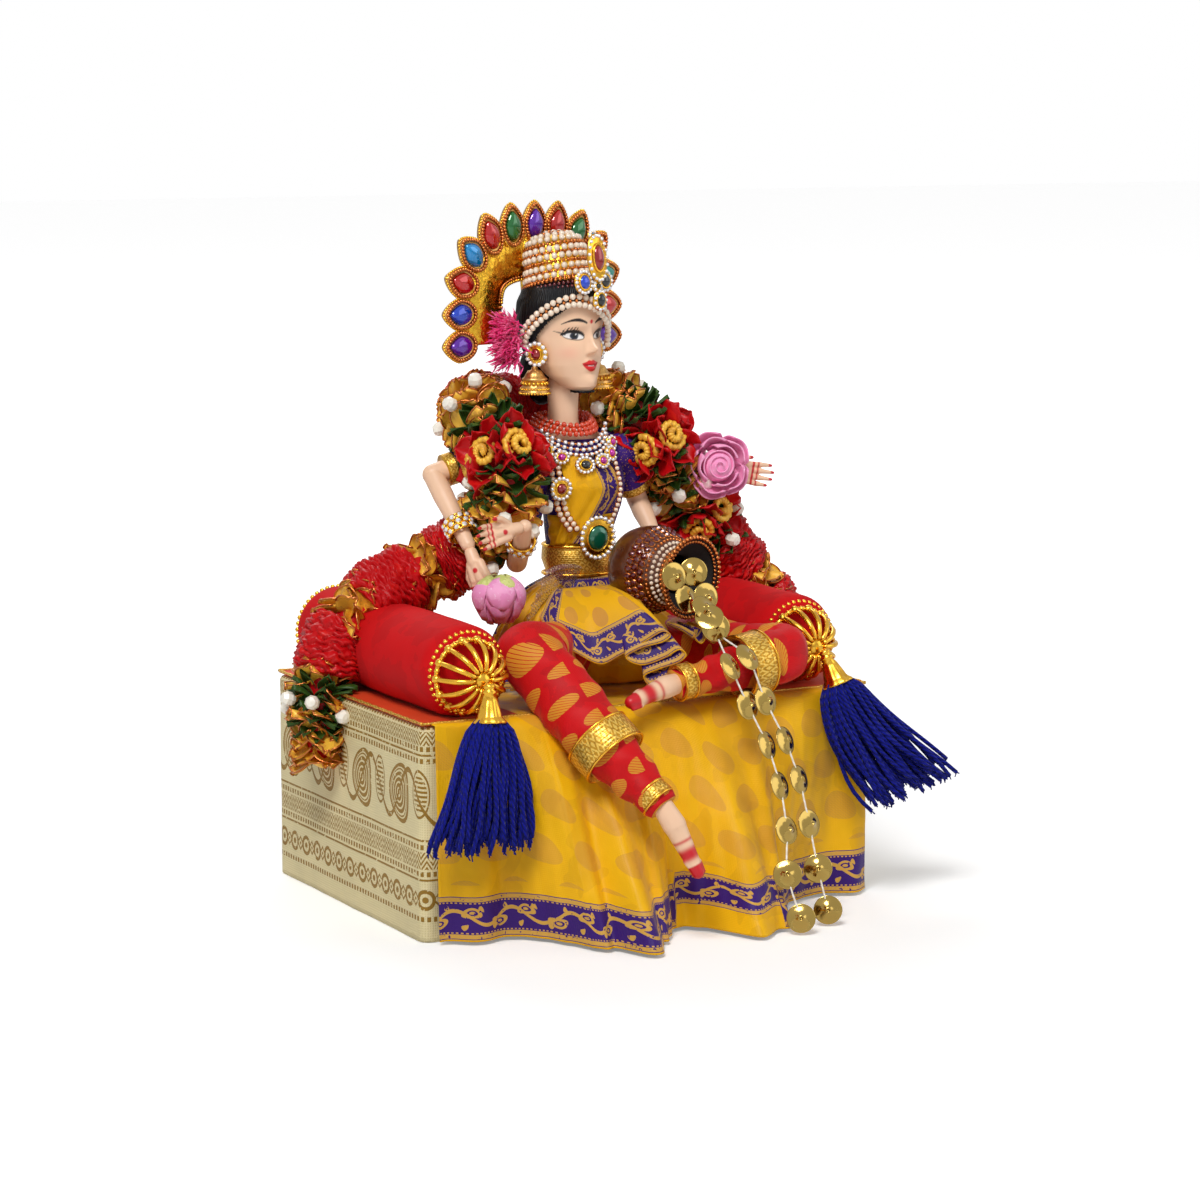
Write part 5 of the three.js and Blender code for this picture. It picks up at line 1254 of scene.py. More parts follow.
@dataclass
class Bolster:
    """Velvet bolster with its spoked cap, tassel bell and yarn."""

    name: str
    sign: int
    front_y: float
    lean: tuple[float, float, float]
    spread: float
    radius: float = 14.3
    inset: float = 18.3
    sag: float = 1.4
    back_y: float = 50.0
    cap_radius: float = 10.9
    cap_depth: float = 11.5
    ribs: int = 14
    hub_radius: float = 3.2
    bell_length: float = 12.0
    bell_rim: float = 5.0
    yarn_length: float = 36.0
    strands: int = 72

    def centre(self) -> Points:
        """Middle of the front end."""
        return seat(self.sign * (77.5 - self.inset), self.front_y, self.radius - self.sag)

    def build(self) -> None:
        """Makes the bolster and what hangs on it."""
        self.cushion()
        self.cap()
        self.bell()
        self.yarn()

    def cushion(self) -> None:
        """Stuffed velvet roll, flat where it rests, crowned at its ends, with beaded end seams."""
        length = self.back_y - self.front_y
        centre = self.centre()
        share = np.concatenate([np.linspace(0, 0.08, 12), np.linspace(0.1, 0.9, 30),
                                np.linspace(0.92, 1, 12)])
        rings = []
        angle = turns(64)
        for t in share:
            end = min(t, 1 - t) * length
            crown = math.sqrt(max(0.0, 1 - (1 - min(1.0, end / 7.0)) ** 2.4)) * 0.34 + 0.66
            r = self.radius * min(1.0, crown) * (1 - 0.012 * math.cos(t * 9))
            if end == 0:
                r = self.radius * 0.6
            ring = np.stack([r * np.cos(angle), np.full(64, t * length), r * np.sin(angle)], 1)
            rings.append(ring)
        grid = np.array(rings) + centre
        outward = np.stack([np.cos(angle), 0 * angle, np.sin(angle)], 1)
        grid += ripple(grid, 21, 11)[..., None] * 0.22 * outward
        grid[..., 2] = np.maximum(grid[..., 2], SEAT + 0.35)
        shell = closed_grid(grid)
        piece = Piece(f"bolster_velvet_{self.name}", "seated_doll", "velvet", f"bolster_{self.name}")
        obj = piece.add(shell, VELVET).build()
        piece = Piece(f"bolster_trim_{self.name}", "seated_doll", "gold")
        for y, r in ((self.back_y - 3.0, self.radius - 0.4), (self.front_y + 1.9, self.cap_radius + 1.4)):
            count = int(TAU * r / 1.9)
            turn = turns(count)
            spots = np.stack([r * np.cos(turn), np.full(count, y - centre[1]), r * np.sin(turn)],
                             1) + centre
            spots = spots[spots[:, 2] > SEAT + 1.0]
            piece.add(set_on(ball(1), spots, vec(0, 1, 0), 0.85), GOLD)
        piece.build()

    def cap(self) -> None:
        """Openwork cap: arched ribs from a hub to a rim, each ending in a bead."""
        start = self.centre() + vec(-1, -0.3, -0.3)
        bend = np.linspace(0, math.pi / 2, 14)
        radius = self.hub_radius * 0.8 + (self.cap_radius - self.hub_radius * 0.8) * np.sin(bend)
        path = np.stack([radius, np.zeros(14), 0.9 + (self.cap_depth - 1.8) * np.cos(bend)], 1)
        thick = 0.62 + 0.28 * np.sin(np.linspace(0.3, 3.0, 14))
        rib = tube(path, thick, 8)
        places = [Place(vec(0, 0, 0), basis(UP, spoke(t)), WHOLE)
                  for t in turns(self.ribs)]
        piece = Piece(f"cap_{self.name}", "seated_doll", "gold", f"bolster_cap_{self.name}")

        def put(shell: Shell, flat: bool = False) -> None:
            """Adds a casting part in the cap's own place."""
            piece.add(shell.placed(start, FRONT, ALONG_X), GOLD, flat)

        put(scatter(rib, places))
        turn = turns(self.ribs)
        tips = circle(self.cap_radius, turn, 1.3)
        put(set_on(ball(2), tips, UP, 1.5))
        between = turn + TAU / self.ribs / 2
        small = circle(self.cap_radius, between, 1.1)
        put(set_on(ball(1), small, UP, 1.0))
        rim = smooth_path([*tips, tips[0]], 90) * vec(0.995, 0.995, 0.75)
        put(tube(rim, 0.75, 8))
        hub = [(0.01, self.cap_depth - 2.6), (3.2, self.cap_depth - 2.6), (3.5, self.cap_depth - 1.8),
               (3.0, self.cap_depth - 0.9), (1.9, self.cap_depth - 0.5), (1.5, self.cap_depth),
               (0.01, self.cap_depth)]
        put(lathe(hub, 28))
        piece.build()

    def bell_top(self) -> Points:
        """Top of the tassel's bell."""
        return self.centre() + vec(-1, -0.3 - self.cap_depth - 2.8, -0.3)

    def bell(self) -> None:
        """Folded metal cone with a ring and a flared foot."""
        profile = [(0.01, 0.1), (1.3, 0.2), (1.9, 0.8), (1.9, 1.3), (1.4, 1.9), (2.2, 2.4), (2.3, 3.0),
                   (1.7, 3.4), (2.5, 5.4), (3.1, 7.6), (3.6, 9.6), (3.9, 10.2), (4.9, 11.2), (5.0, 11.7),
                   (4.6, 11.9), (0.01, 11.4)]
        shell = lathe(profile, 40)
        turn = np.arctan2(shell.points[:, 1], shell.points[:, 0])
        fold = 1 + 0.05 * np.cos(8 * turn) * np.clip((shell.points[:, 2] - 3.2) / 4, 0, 1)
        shell.points[:, :2] *= fold[:, None]
        piece = Piece(f"bell_{self.name}", f"tassel_{self.name}", "gold", f"tassel_bell_{self.name}")
        piece.add(shell.placed(self.bell_top(), np.array(self.lean)), GOLD).build()

    def yarn(self) -> None:
        """Strands of twisted yarn that hang from the bell and spread at their ends."""
        lean = unit(np.array(self.lean))
        start = self.bell_top() + lean * (self.bell_length - 0.9)
        across = unit(ALONG_X - lean * lean[0])
        deep = np.cross(lean, across)
        rng = np.random.default_rng(17 + self.sign)
        piece = Piece(f"yarn_{self.name}", f"tassel_{self.name}", "yarn", f"tassel_yarn_{self.name}")
        for k in range(self.strands):
            share = math.sqrt((k + 0.5) / self.strands)
            angle = k * GOLDEN_ANGLE
            length = self.yarn_length * rng.uniform(0.9, 1.08)
            wave, phase = rng.uniform(0.4, 1.3), rng.uniform(0, TAU)
            t = np.linspace(0, 1, 12)
            wide = self.bell_rim * (0.8 + 2.7 * t ** 0.55) * share
            thick = self.bell_rim * (0.78 + 0.42 * t) * share
            path = (start + t[:, None] * length * lean
                    + (wide * math.cos(angle) + wave * np.sin(t * 7 + phase) * t)[:, None] * across
                    + (thick * math.sin(angle) + wave * np.cos(t * 6 + phase) * t)[:, None] * deep)
            path[:, 0] += self.spread * self.yarn_length * t * t
            piece.add(tube(path, 0.74 - 0.08 * t, 7), YARN)
            tip = path[-1]
            for _ in range(2):
                frayed = np.array([tip, tip + lean * 0.8 + rng.normal(size=3) * 0.35])
                piece.add(tube(smooth_path(list(frayed), 2), 0.22, 4), YARN)
        piece.build()


# Height above the seat, centre x, centre y, half width and half depth of the body
BODY_SECTIONS = ((3.5, 13, 0, 13, 9), (9, 13, 0, 16.5, 11.5), (17, 12, 1, 15.5, 10.8),
                 (25, 9.5, 2, 12.5, 8.8), (33, 6.3, 3, 9.8, 7), (38, 4.8, 3, 9.2, 6.5),
                 (45, 4.8, 2.8, 10.2, 7.2), (54, 5.6, 2, 12.2, 9), (61, 5.8, 1.6, 13, 10.2),
                 (68, 5, 3, 13.4, 8.8), (74, 4, 4.6, 14, 6.6), (77, 3, 5.2, 9.5, 5.6))


def body_section(h: Points | float) -> Points:
    """Centre x, centre y, half width and half depth of the body at a height above the seat."""
    table = np.array(BODY_SECTIONS)
    return np.stack([np.interp(h, table[:, 0], table[:, k]) for k in range(1, 5)], -1)


def body_front(x: float, h: float, out: float) -> Points:
    """Front of the body at a place, pushed out by a thickness."""
    cx, cy, a, b = body_section(h)
    across = np.clip((x - cx) / (a + out), -0.97, 0.97)
    return seat(cx + across * (a + out), cy - (b + out) * math.sqrt(1 - across * across), h)


def body_ring(h: float, out: float, columns: int) -> Points:
    """Ring round the body at a height."""
    cx, cy, a, b = body_section(h)
    angle = turns(columns)
    return np.stack([cx + (a + out) * np.cos(angle), cy + (b + out) * np.sin(angle),
                     np.full(columns, SEAT + h)], 1)


@dataclass
class Leg:
    """One leg with its foot, brocade legging and gold bands."""

    name: str
    joints: tuple
    toes: tuple
    radii: tuple
    band: tuple[float, float]
    inner: tuple = (7.4, 7.0, 5.6, 3.3)

    def build(self) -> None:
        """Makes the leg from the inside out."""
        self.foot()
        self.legging()
        self.bands()

    def foot(self) -> None:
        """Vinyl ankle and pointed foot with red painted toes."""
        ankle, ball_of_foot, tip = (vec(*p) for p in (self.joints[3], self.toes[0], self.toes[1]))
        shin = ankle + 0.3 * (vec(*self.joints[2]) - ankle)
        along = unit(tip - ball_of_foot)
        side = unit(np.cross(along, vec(0, -0.8, 0.6)))
        shapes = [rod(shin, ankle, 3.4, 3.1), rod(ankle, ball_of_foot, 3.2, 3.6),
                  rod(ball_of_foot, tip, 3.4, 2.0)]
        for k in range(5):
            root = tip - along * (2.6 + 0.5 * k) + side * (k - 2) * 1.05
            shapes.append(rod(root, root + along * (3.2 - 0.25 * k), 0.95, 0.72 - 0.05 * k, 8))
        skin = fused(shapes, 0.32, 4)
        reach = (skin.points - tip) @ along
        red = np.clip((reach + 2.6) * 2.5, 0, 1) + np.exp(-(((reach + 6.2) / 2.0) ** 4))
        red += 0.8 * np.exp(-(((reach + 10.4) / 0.5) ** 2))
        red = np.clip(red, 0, 1)[:, None]
        base, nail = (np.array(linear(c)) for c in (SKIN_COLOUR, NAIL_COLOUR))
        piece = Piece(f"foot_{self.name}", "seated_doll", "vinyl", f"leg_{self.name}")
        piece.add(skin, FACE, paint=base + (nail - base) * red).build()

    def legging(self) -> None:
        """Brocade legging, rounded at the knee and gathered towards the ankle."""
        joints = [vec(*p) for p in self.joints]
        hip, knee, shin, ankle = joints
        soft = [hip, hip + 0.5 * (knee - hip), knee + 0.2 * (hip - knee), knee + 0.02 * (shin - knee),
                knee + 0.32 * (shin - knee), shin, shin + 0.5 * (ankle - shin), ankle]
        path = smooth_path(soft, 110)
        t = np.linspace(0, 1, 111)
        reach = np.cumsum([0] + [np.linalg.norm(b - a) for a, b in zip(joints, joints[1:])])
        radius = np.interp(t * reach[-1], reach, np.array(self.radii)) - 0.15
        angle = turns(56)
        tight = np.clip(t * 2.2 - 0.8, 0.25, 1)[:, None]
        folds = 0.42 * np.sin(t[:, None] * 80 + 1.8 * np.sin(angle * 2)) * tight
        folds = folds + 0.4 * np.sin(t[:, None] * 23 + angle * 3 + 1.5 * np.sin(angle + 2))
        at_knee = np.exp(-(((t - reach[1] / reach[-1]) / 0.06) ** 2))[:, None]
        knee_folds = 0.35 * at_knee * np.sin(angle * 3 + t[:, None] * 60)
        shell = tube(path, radius[:, None] + folds + knee_folds - 0.25, 56)
        shell.points[:, 2] = np.where(shell.points[:, 1] > -52,
                                      np.maximum(shell.points[:, 2], SEAT + 0.6), shell.points[:, 2])
        piece = Piece(f"brocade_legging_{self.name}", "seated_doll", "red_brocade",
                      f"legging_{self.name}")
        piece.add(shell, LEGGING)
        piece.build()

    def bands(self) -> None:
        """Gold band on the calf and at the ankle, with corded edges."""
        joints = [vec(*p) for p in self.joints[1:]]
        path = smooth_path(joints, 100)
        share, radius = self.band
        piece = Piece(f"gold_band_{self.name}", "seated_doll", "zari", f"calf_band_{self.name}")
        ankle_radius = self.radii[3] + 0.7
        for at, r, width in ((share, radius, 8.4), (0.93, ankle_radius, 4.2)):
            k = int(at * 100)
            direction = unit(path[min(k + 1, 100)] - path[k - 1])
            half = width / 2
            profile = [(r - 1.2, -half), (r - 0.3, -half), (r, -half + 0.6), (r + 0.1, 0),
                       (r, half - 0.6), (r - 0.3, half), (r - 1.2, half)]
            turn = turns(60)
            grid = turned(profile, 60)
            band = weave_grid(np.vstack([grid, grid[:1]]), True, (TAU * r, width + 2))
            piece.add(facing_out(band).placed(path[k], direction), ZARI)
            for edge in (-half, half):
                ring = circle(r - 0.1, turn, edge)
                cord = tube(np.vstack([ring, ring[:1]]), 0.4, 6, UP)
                piece.add(cord.placed(path[k], direction), GOLD)
        piece.build()


@dataclass
class Dress:
    """Blouse, belt, hip cloth, pallu, pleats and net stole."""

    belt_middle: float = 37.4
    belt_height: float = 9.0
    fan_corner: tuple[float, float, float] = (-30, -38, 26.5)
    tongues: tuple = ((0, 0), (3.2, 6.5), (10.6, 11.1), (18, 14.6), (23.5, 12), (31, 7.6), (36.6, 4.4),
                      (38.6, 5.6), (36.6, 7.4), (29, 9.6), (24.6, 12.4), (29, 14.6), (36.4, 12.2),
                      (40.6, 9.8), (42.4, 11.4), (40.6, 13.4), (33.7, 15.8), (29.2, 18), (31, 20.7),
                      (36.4, 18.6), (40.6, 16.8), (42, 18.6), (39, 21.4), (33, 24))

    def build(self, arms: list["Arm"]) -> None:
        """Makes the clothes from the inside out."""
        self.blouse(arms)
        self.hips()
        self.belt()
        self.pallu()
        self.pleats()
        self.side_gather()
        self.net()

    def blouse(self, arms: list["Arm"]) -> None:
        """Purple silk blouse with gold bordered sleeves."""
        piece = Piece("silk_blouse", "seated_doll", "purple_silk", "blouse")
        heights = np.linspace(38.2, 75.4, 46)
        grid = np.array([body_ring(h, 0.95 - 0.5 * max(0.0, (h - 70) / 6), 72) for h in heights])
        grid += ripple(grid, 9, 21)[..., None] * 0.12
        piece.add(closed_grid(grid), BLOUSE)
        for arm in arms:
            shoulder, elbow = vec(*arm.joints[0]), vec(*arm.joints[1])
            end = shoulder + arm.sleeve * (elbow - shoulder)
            start = shoulder - 0.05 * (elbow - shoulder)
            along = unit(end - start)
            path = start + np.linspace(0, 1, 26)[:, None] * (end - start)
            radius = np.linspace(6.2, 4.95, 26)
            piece.add(tube(path, radius, 28), BLOUSE)
            piece.add(ball(3).scaled(6.5, 6.5, 6.5).moved(shoulder), BLOUSE)
            border = end - along * 3.0 + np.linspace(0, 1, 5)[:, None] * along * 3.2
            piece.add(tube(border, 5.15, 28), ZARI)
        piece.build()

    def hips(self) -> None:
        """Yellow silk wound round the hips, with its purple and gold border crossing the lap."""
        rows = np.array([(0.9, 12, -5, 25, 19), (7, 12, -6, 26, 20.5), (16, 11, -5.5, 24, 20),
                         (23, 9.5, -1.5, 18, 14), (29, 7.8, 1.6, 13.2, 10.4),
                         (32.8, 6.6, 2.8, 11.2, 8.6)])
        heights = np.linspace(0.9, 32.8, 44)
        angle = turns(96)
        c, s = np.cos(angle), np.sin(angle)
        grid = []
        for h in heights:
            x, y, a, b = (np.interp(h, rows[:, 0], rows[:, k]) for k in range(1, 5))
            squared = 0.85
            fold = 0.45 * np.sin(angle * 17 + h * 0.12) * min(1, (33 - h) / 14)
            grid.append(np.stack([x + (a - 0.4 + fold) * np.sign(c) * np.abs(c) ** squared,
                                  y + (b - 0.4 + fold) * np.sign(s) * np.abs(s) ** squared,
                                  np.full(96, SEAT + h)], 1))
        shell = closed_grid(np.array(grid))
        shell.corners[..., 1] = shell.corners[..., 1].max() - shell.corners[..., 1]
        Piece("silk_hip_cloth", "seated_doll", "silk", "hip_wrap").add(shell, SARI).build()

    def belt(self) -> None:
        """Broad zari belt with corded edges."""
        piece = Piece("zari_belt", "seated_doll", "zari", "waist_belt")
        low, high = self.belt_middle - self.belt_height / 2, self.belt_middle + self.belt_height / 2
        levels = [(low, 1.5), (low, 2.3), (low + 1, 2.8), (self.belt_middle, 3.1), (high - 1, 2.8),
                  (high, 2.3), (high, 1.5)]
        grid = np.array([body_ring(self.belt_middle, out, 80) * LEVEL + vec(0, 0, SEAT + h)
                         for h, out in levels])
        grid[..., :2] += (body_section(grid[..., 2] - SEAT) - body_section(self.belt_middle))[..., :2]
        piece.add(facing_out(weave_grid(np.vstack([grid, grid[:1]]), True)), ZARI)
        for h in (low, high):
            ring = body_ring(self.belt_middle, 2.6, 80) * LEVEL + vec(0, 0, SEAT + h)
            piece.add(tube(np.vstack([ring, ring[:1]]), 0.55 + 0.1 * np.cos(np.arange(81) * 1.9), 6),
                      GOLD)
        piece.build()

    def pallu(self) -> None:
        """Folded silk from the belt up across the chest, its border at the left edge."""
        rows = smooth_path([vec(71, -5.5, 6.5), vec(66, -5, 11.5), vec(60.5, -4.6, 13.2),
                            vec(54, -5, 9.6), vec(48, -5.5, 5.2), vec(43, -6, 1.5)], 50)
        columns = 46
        grid = []
        for h, left, right in rows:
            line = []
            for c in range(columns):
                share = c / (columns - 1)
                fold = 0.6 * math.sin(share * 9 + h * 0.16) + 0.3 * math.sin(share * 21 - h * 0.1)
                line.append(body_front(left + (right - left) * share, h, 2.0 + 0.9 * fold))
            grid.append(line)
        grid = np.array(grid)
        shell = weave_grid(grid.transpose(1, 0, 2)[::-1])
        piece = Piece("silk_pallu", "seated_doll", "silk", "pallu").add(shell, SARI)
        waist = [[body_front(x, h, 1.45 + 0.3
                             * math.sin(h * 1.3 + x * 0.2)) for x in np.linspace(-11, 13.6, 40)]
                 for h in np.linspace(42, 52, 14)]
        piece.add(facing_out(weave_grid(np.array(waist))), SARI_PLAIN)
        obj = piece.build(0.45)

    def accordion(self, rows: list, folds: int, finish: Finish, name: str, node_name: str) -> None:
        """Pleated cloth between a left and a right edge, deepest at its free end.

        Args:
            rows: left place, right place and pleat depth down the cloth.
            folds: number of pleats.
            finish: cloth.
            name: piece to make.
            node_name: node that it stands for.
        """
        left = smooth_path([r[0] for r in rows], 40)
        right = smooth_path([r[1] for r in rows], 40)
        depth = np.interp(np.linspace(0, 1, 41), np.linspace(0, 1, len(rows)), [r[2] for r in rows])
        columns = folds * 16 + 1
        share = np.linspace(0, 1, columns)
        phase = share * folds * TAU
        lift = np.sin(phase) * 0.5 + 0.32 + 0.1 * np.sin(phase * 2)
        slide = np.cos(phase) * 0.35
        grid = left[:, None] + (right - left)[:, None] * (share + slide / (folds * 2.4))[None, :, None]
        grid[..., 2] += lift * depth[:, None] * 1.7
        grid[..., 1] -= lift * depth[:, None] * 0.35
        shell = weave_grid(grid[::-1])
        down = np.linalg.norm(np.diff(grid[:, columns // 2], axis=0), axis=1).sum()
        across = float(np.mean([path_length(row) for row in grid[10::10]]))
        shell.corners = weave_grid(grid[::-1], scale=(across, down)).corners
        obj = Piece(name, "seated_doll", "silk", node_name).add(shell, finish).build(0.4)
        total = area_of(shell)

    def fan(self) -> None:
        """Pleated silk that widens from the belt to a free end folded in standing tongues."""
        profile = [vec(a, -d, 0) for a, d in self.tongues]
        end = smooth_path(profile, 260)
        share = np.linspace(0, 1, len(end))
        steps = 44
        t = np.linspace(0, 1, steps)
        sideways, corner = unit(vec(0.88, -0.47, 0)), seat(*self.fan_corner)
        low = corner + end[:, :1] * sideways + end[:, 1:2] * UP
        low = low + (share * 6)[:, None] * vec(0.1, -0.9, 0)
        high = seat(-13, -18, 31) + share[:, None] * vec(24, -5, 1)
        middle = low[:1] + (low[-1:] - low[:1]) * share[:, None]
        bend = (t ** 1.6)[:, None, None]
        grid = high[None] + (middle - high)[None] * t[:, None, None] + (low - middle)[None] * bend
        swell = np.sin(np.pi * t)[:, None] * (3 + 3.5 * np.sin(np.pi * share))[None]
        grid[..., 2] += swell
        grid[..., 1] -= swell * 0.5
        shell = weave_grid(grid[::-1])
        down = float(np.mean([path_length(grid[:, k]) for k in (0, 130, 260)]))
        shell.corners = weave_grid(grid[::-1], scale=(path_length(low), down)).corners
        if normals_of(shell)[:, 2].sum() < 0:
            shell = shell.flipped()
        obj = Piece("sari_pleats", "seated_doll", "silk", "pleat_fan").add(shell, SARI_WIDE).build(0.4)
        total = area_of(shell)

    def pleats(self) -> None:
        """The sari's pleated end over the lap and its small tail beside the pot."""
        self.fan()
        tail = [(seat(13.5, -38, 20.4), seat(23, -40, 20), 0.9),
                (seat(13, -47, 19.8), seat(24, -49, 18.8), 1.3),
                (seat(12.5, -56, 18), seat(25, -57, 17.6), 1.8)]
        self.accordion(tail, 3, SARI_WIDE, "sari_tail", "pleat_tail")

    def side_gather(self) -> None:
        """The sari's gathered side, which falls from the belt to the seat beside the hip."""
        top = smooth_path([seat(-6, 2, 33), seat(-9, -8, 33), seat(-11, -18, 31)], 60)
        foot = smooth_path([seat(-29, 4, 1.2), seat(-33, -10, 1.2), seat(-29, -24, 1.4)], 60)
        t = np.linspace(0, 1, 44)[:, None, None]
        share = np.linspace(0, 1, 61)
        grid = top[None] + (foot - top)[None] * t
        grid[..., 2] += 7.5 * np.sin(np.pi * t[..., 0]) ** 1.2
        grid[..., 0] -= np.sin(share * TAU * 5.5)[None] * (0.4 + 2.2 * t[..., 0])
        grid[..., 1] -= np.cos(share * TAU * 5.5 + 1)[None] * 0.7 * t[..., 0]
        grid[..., 2] = np.maximum(grid[..., 2], SEAT + 1.1)
        shell = weave_grid(grid[::-1])
        obj = Piece("sari_side", "seated_doll", "silk").add(shell, SARI_WIDE).build(0.4)
        down, total = path_length(grid[:, 30]) * MM, area_of(shell)

    def net(self) -> None:
        """Gathered mauve net beside the right hip."""
        rows = [(seat(-2, -10, 34), 2.6), (seat(-9, -15, 33.6), 4.6), (seat(-16, -19, 32.4), 6.6),
                (seat(-23, -22, 30), 8.2)]
        path = smooth_path([r[0] for r in rows], 36)
        half = np.interp(np.linspace(0, 1, 37), np.linspace(0, 1, 4), [r[1] for r in rows])
        share = np.linspace(-1, 1, 61)
        grid = np.repeat(path[:, None], 61, axis=1)
        grid[..., 0] += half[:, None] * 0.3 * share
        grid[..., 1] += 0.75 * np.sin(share * 14)[None] - half[:, None] * 0.3 * share
        grid[..., 2] += half[:, None] * share
        shell = weave_grid(grid)
        obj = Piece("net_gather", "seated_doll", "net", "net_stole").add(shell, NET).build(0.25)


@dataclass
class Arm:
    """One vinyl arm: its bones, hand and bracelets."""

    name: str
    joints: tuple
    sleeve: float
    hand: tuple[float, float, float]
    palm: tuple[float, float, float]
    curl: float
    mirrored: bool
    upper_nodes: tuple[str, ...]
    upper_body: str = "seated_doll"
    lower: tuple[str, str] | None = None
    hand_body: str = "seated_doll"
    bangles: tuple[float, int, float] | None = None
    painted: bool = True

    def build(self) -> None:
        """Makes the arm from shoulder to fingers."""
        shoulder, elbow, wrist = (vec(*p) for p in self.joints)
        upper = [rod(shoulder, elbow, 3.9, 3.4)]
        lower = [rod(elbow, elbow + 0.3 * (wrist - elbow), 3.25, 3.4),
                 rod(elbow + 0.3 * (wrist - elbow), wrist, 3.4, 2.3)]
        if self.lower:
            body, lower_node = self.lower
            Piece(f"upper_arm_{self.name}", self.upper_body, "vinyl", *self.upper_nodes).add(
                fused(upper, 0.5), SKIN).build()
            Piece(f"lower_arm_{self.name}", body, "vinyl", lower_node).add(fused(lower, 0.45),
                                                                           SKIN).build()
        else:
            Piece(f"arm_{self.name}", self.upper_body, "vinyl", *self.upper_nodes).add(
                fused(upper + lower, 0.5), SKIN).build()
        self.make_hand()
        if self.bangles:
            self.make_bangles(elbow, wrist)

    def axes(self) -> tuple[Points, Points]:
        """The hand's frame, with +Z back up the arm and +Y out of its back, and its start."""
        down = -unit(np.array(self.hand))
        palm = np.array(self.palm)
        back = -unit(palm - down * (palm @ down))
        across = np.cross(back, down)
        start = vec(*self.joints[2]) - down * 2.9
        return np.stack([across, back, down], 1), start

    def make_hand(self) -> None:
        """Palm, four jointed fingers and a thumb, grown into one skin and painted red at the nails."""
        curl, shapes = self.curl, []
        shapes += [rod(vec(0, 0, 0.2), vec(0, 0, -3), 2.0, 2.2),
                   rod(vec(-1.6, 0, -4), vec(-2.4, 0, -8.4), 1.6, 1.35),
                   rod(vec(0, 0, -3), vec(0, 0, -8.8), 2.0, 1.5),
                   rod(vec(1.6, 0, -4), vec(2.2, 0, -8.4), 1.6, 1.3)]
        tips = []
        for x, length in ((-2.8, 7.2), (-1.0, 8.6), (0.9, 8.9), (2.7, 7.8)):
            root, middle = vec(x, 0, -8.4), vec(x * 1.15, -0.2 * curl, -9 - length * 0.5)
            tip = vec(x * 1.2, -curl * 0.9, -8.6 - length)
            shapes += [rod(root, middle, 0.98, 0.86, 10), rod(middle, tip, 0.84, 0.52, 10)]
            tips.append(tip)
        shapes += [rod(vec(1.8, -0.2, -3), vec(4.3, -1.3, -6.6), 1.25, 1.05, 10),
                   rod(vec(4.3, -1.3, -6.6), vec(4.8, -2.4, -10), 0.98, 0.6, 10)]
        tips.append(vec(4.8, -2.4, -10))
        skin = fused(shapes, 0.27, 3)
        p = skin.points
        near = np.min([np.linalg.norm(p - tip, axis=1) for tip in tips], axis=0)
        red = np.clip((1.35 - near) * 3, 0, 1)
        if self.painted:
            dot = np.clip((1.0 - np.hypot(p[:, 0], p[:, 2] + 6)) * 3, 0, 1)
            bars = np.clip((0.5 - np.abs(p[:, 2] + 10.4)) * 4, 0,
                           1) + np.clip((0.4 - np.abs(p[:, 2] + 12)) * 4, 0, 1)
            red = np.clip(red + dot + bars, 0, 1)
        base, nail = (np.array(linear(c)) for c in (SKIN_COLOUR, NAIL_COLOUR))
        paint = base + (nail - base) * red[:, None]
        if self.mirrored:
            skin = facing_out(skin.scaled(-1, 1, 1))
        frame, start = self.axes()
        skin = skin.reshaped(skin.points @ frame.T + start)
        piece = Piece(f"vinyl_hand_{self.name}", self.hand_body, "vinyl", f"hand_{self.name}")
        piece.add(skin, FACE, paint=paint).build()

    def make_bangles(self, elbow: Points, wrist: Points) -> None:
        """Gold wire bracelets with rows of rhinestones in round settings."""
        share, count, radius = self.bangles
        along = unit(wrist - elbow)
        middle = elbow + share * (wrist - elbow)
        body = self.lower[0] if self.lower else self.upper_body
        piece = Piece(f"bangles_{self.name}", body, "gold", f"bracelets_{self.name}")
        turn = turns(40)
        stones = 11
        for k in range(count):
            z = (k - (count - 1) / 2) * 1.9
            for edge in (-0.72, 0.72):
                ring = circle(radius + 0.35, turn, z + edge)
                piece.add(tube(np.vstack([ring, ring[:1]]), 0.3, 6).placed(middle, along), GOLD)
            spots = turns(stones, 0.5 * (k % 2))
            at = circle(radius + 0.3, spots, z)
            away = at * LEVEL
            cup = lathe([(0.01, -0.3), (0.95, -0.3), (1.1, 0.35), (0.85, 0.5), (0.01, 0.4)], 10)
            stone = lathe([(0.01, 0.3), (0.75, 0.4), (0.8, 0.65), (0.45, 1.0), (0.01, 1.02)], 8)
            piece.add(set_on(cup, at, unit(away)).placed(middle, along), GOLD)
            piece.add(set_on(stone, at, unit(away)).placed(middle, along), CRYSTAL, True)
        piece.build()


# Height in the head's frame, half width, front and back of the head
HEAD_SECTIONS = ((-18.2, 2.6, -11.2, -5.5), (-16.8, 5.4, -12.4, -1), (-13.5, 8.3, -12.2, 4),
                 (-10, 10.1, -12.4, 8), (-6, 11.5, -12, 11), (-1, 12.6, -11.6, 13), (4, 13, -12.6, 13.8),
                 (9, 12.5, -12.2, 13.2), (13.5, 10.8, -10.2, 11.2), (17.5, 7.8, -6.8, 8),
                 (20, 3.6, -3, 3.8))


def bump(x: Points, z: Points, cx: float, cz: float, wx: float, wz: float) -> Points:
    """Soft swelling round a place on the face."""
    return np.exp(-(((x - cx) / wx) ** 2) - (((z - cz) / wz) ** 2))


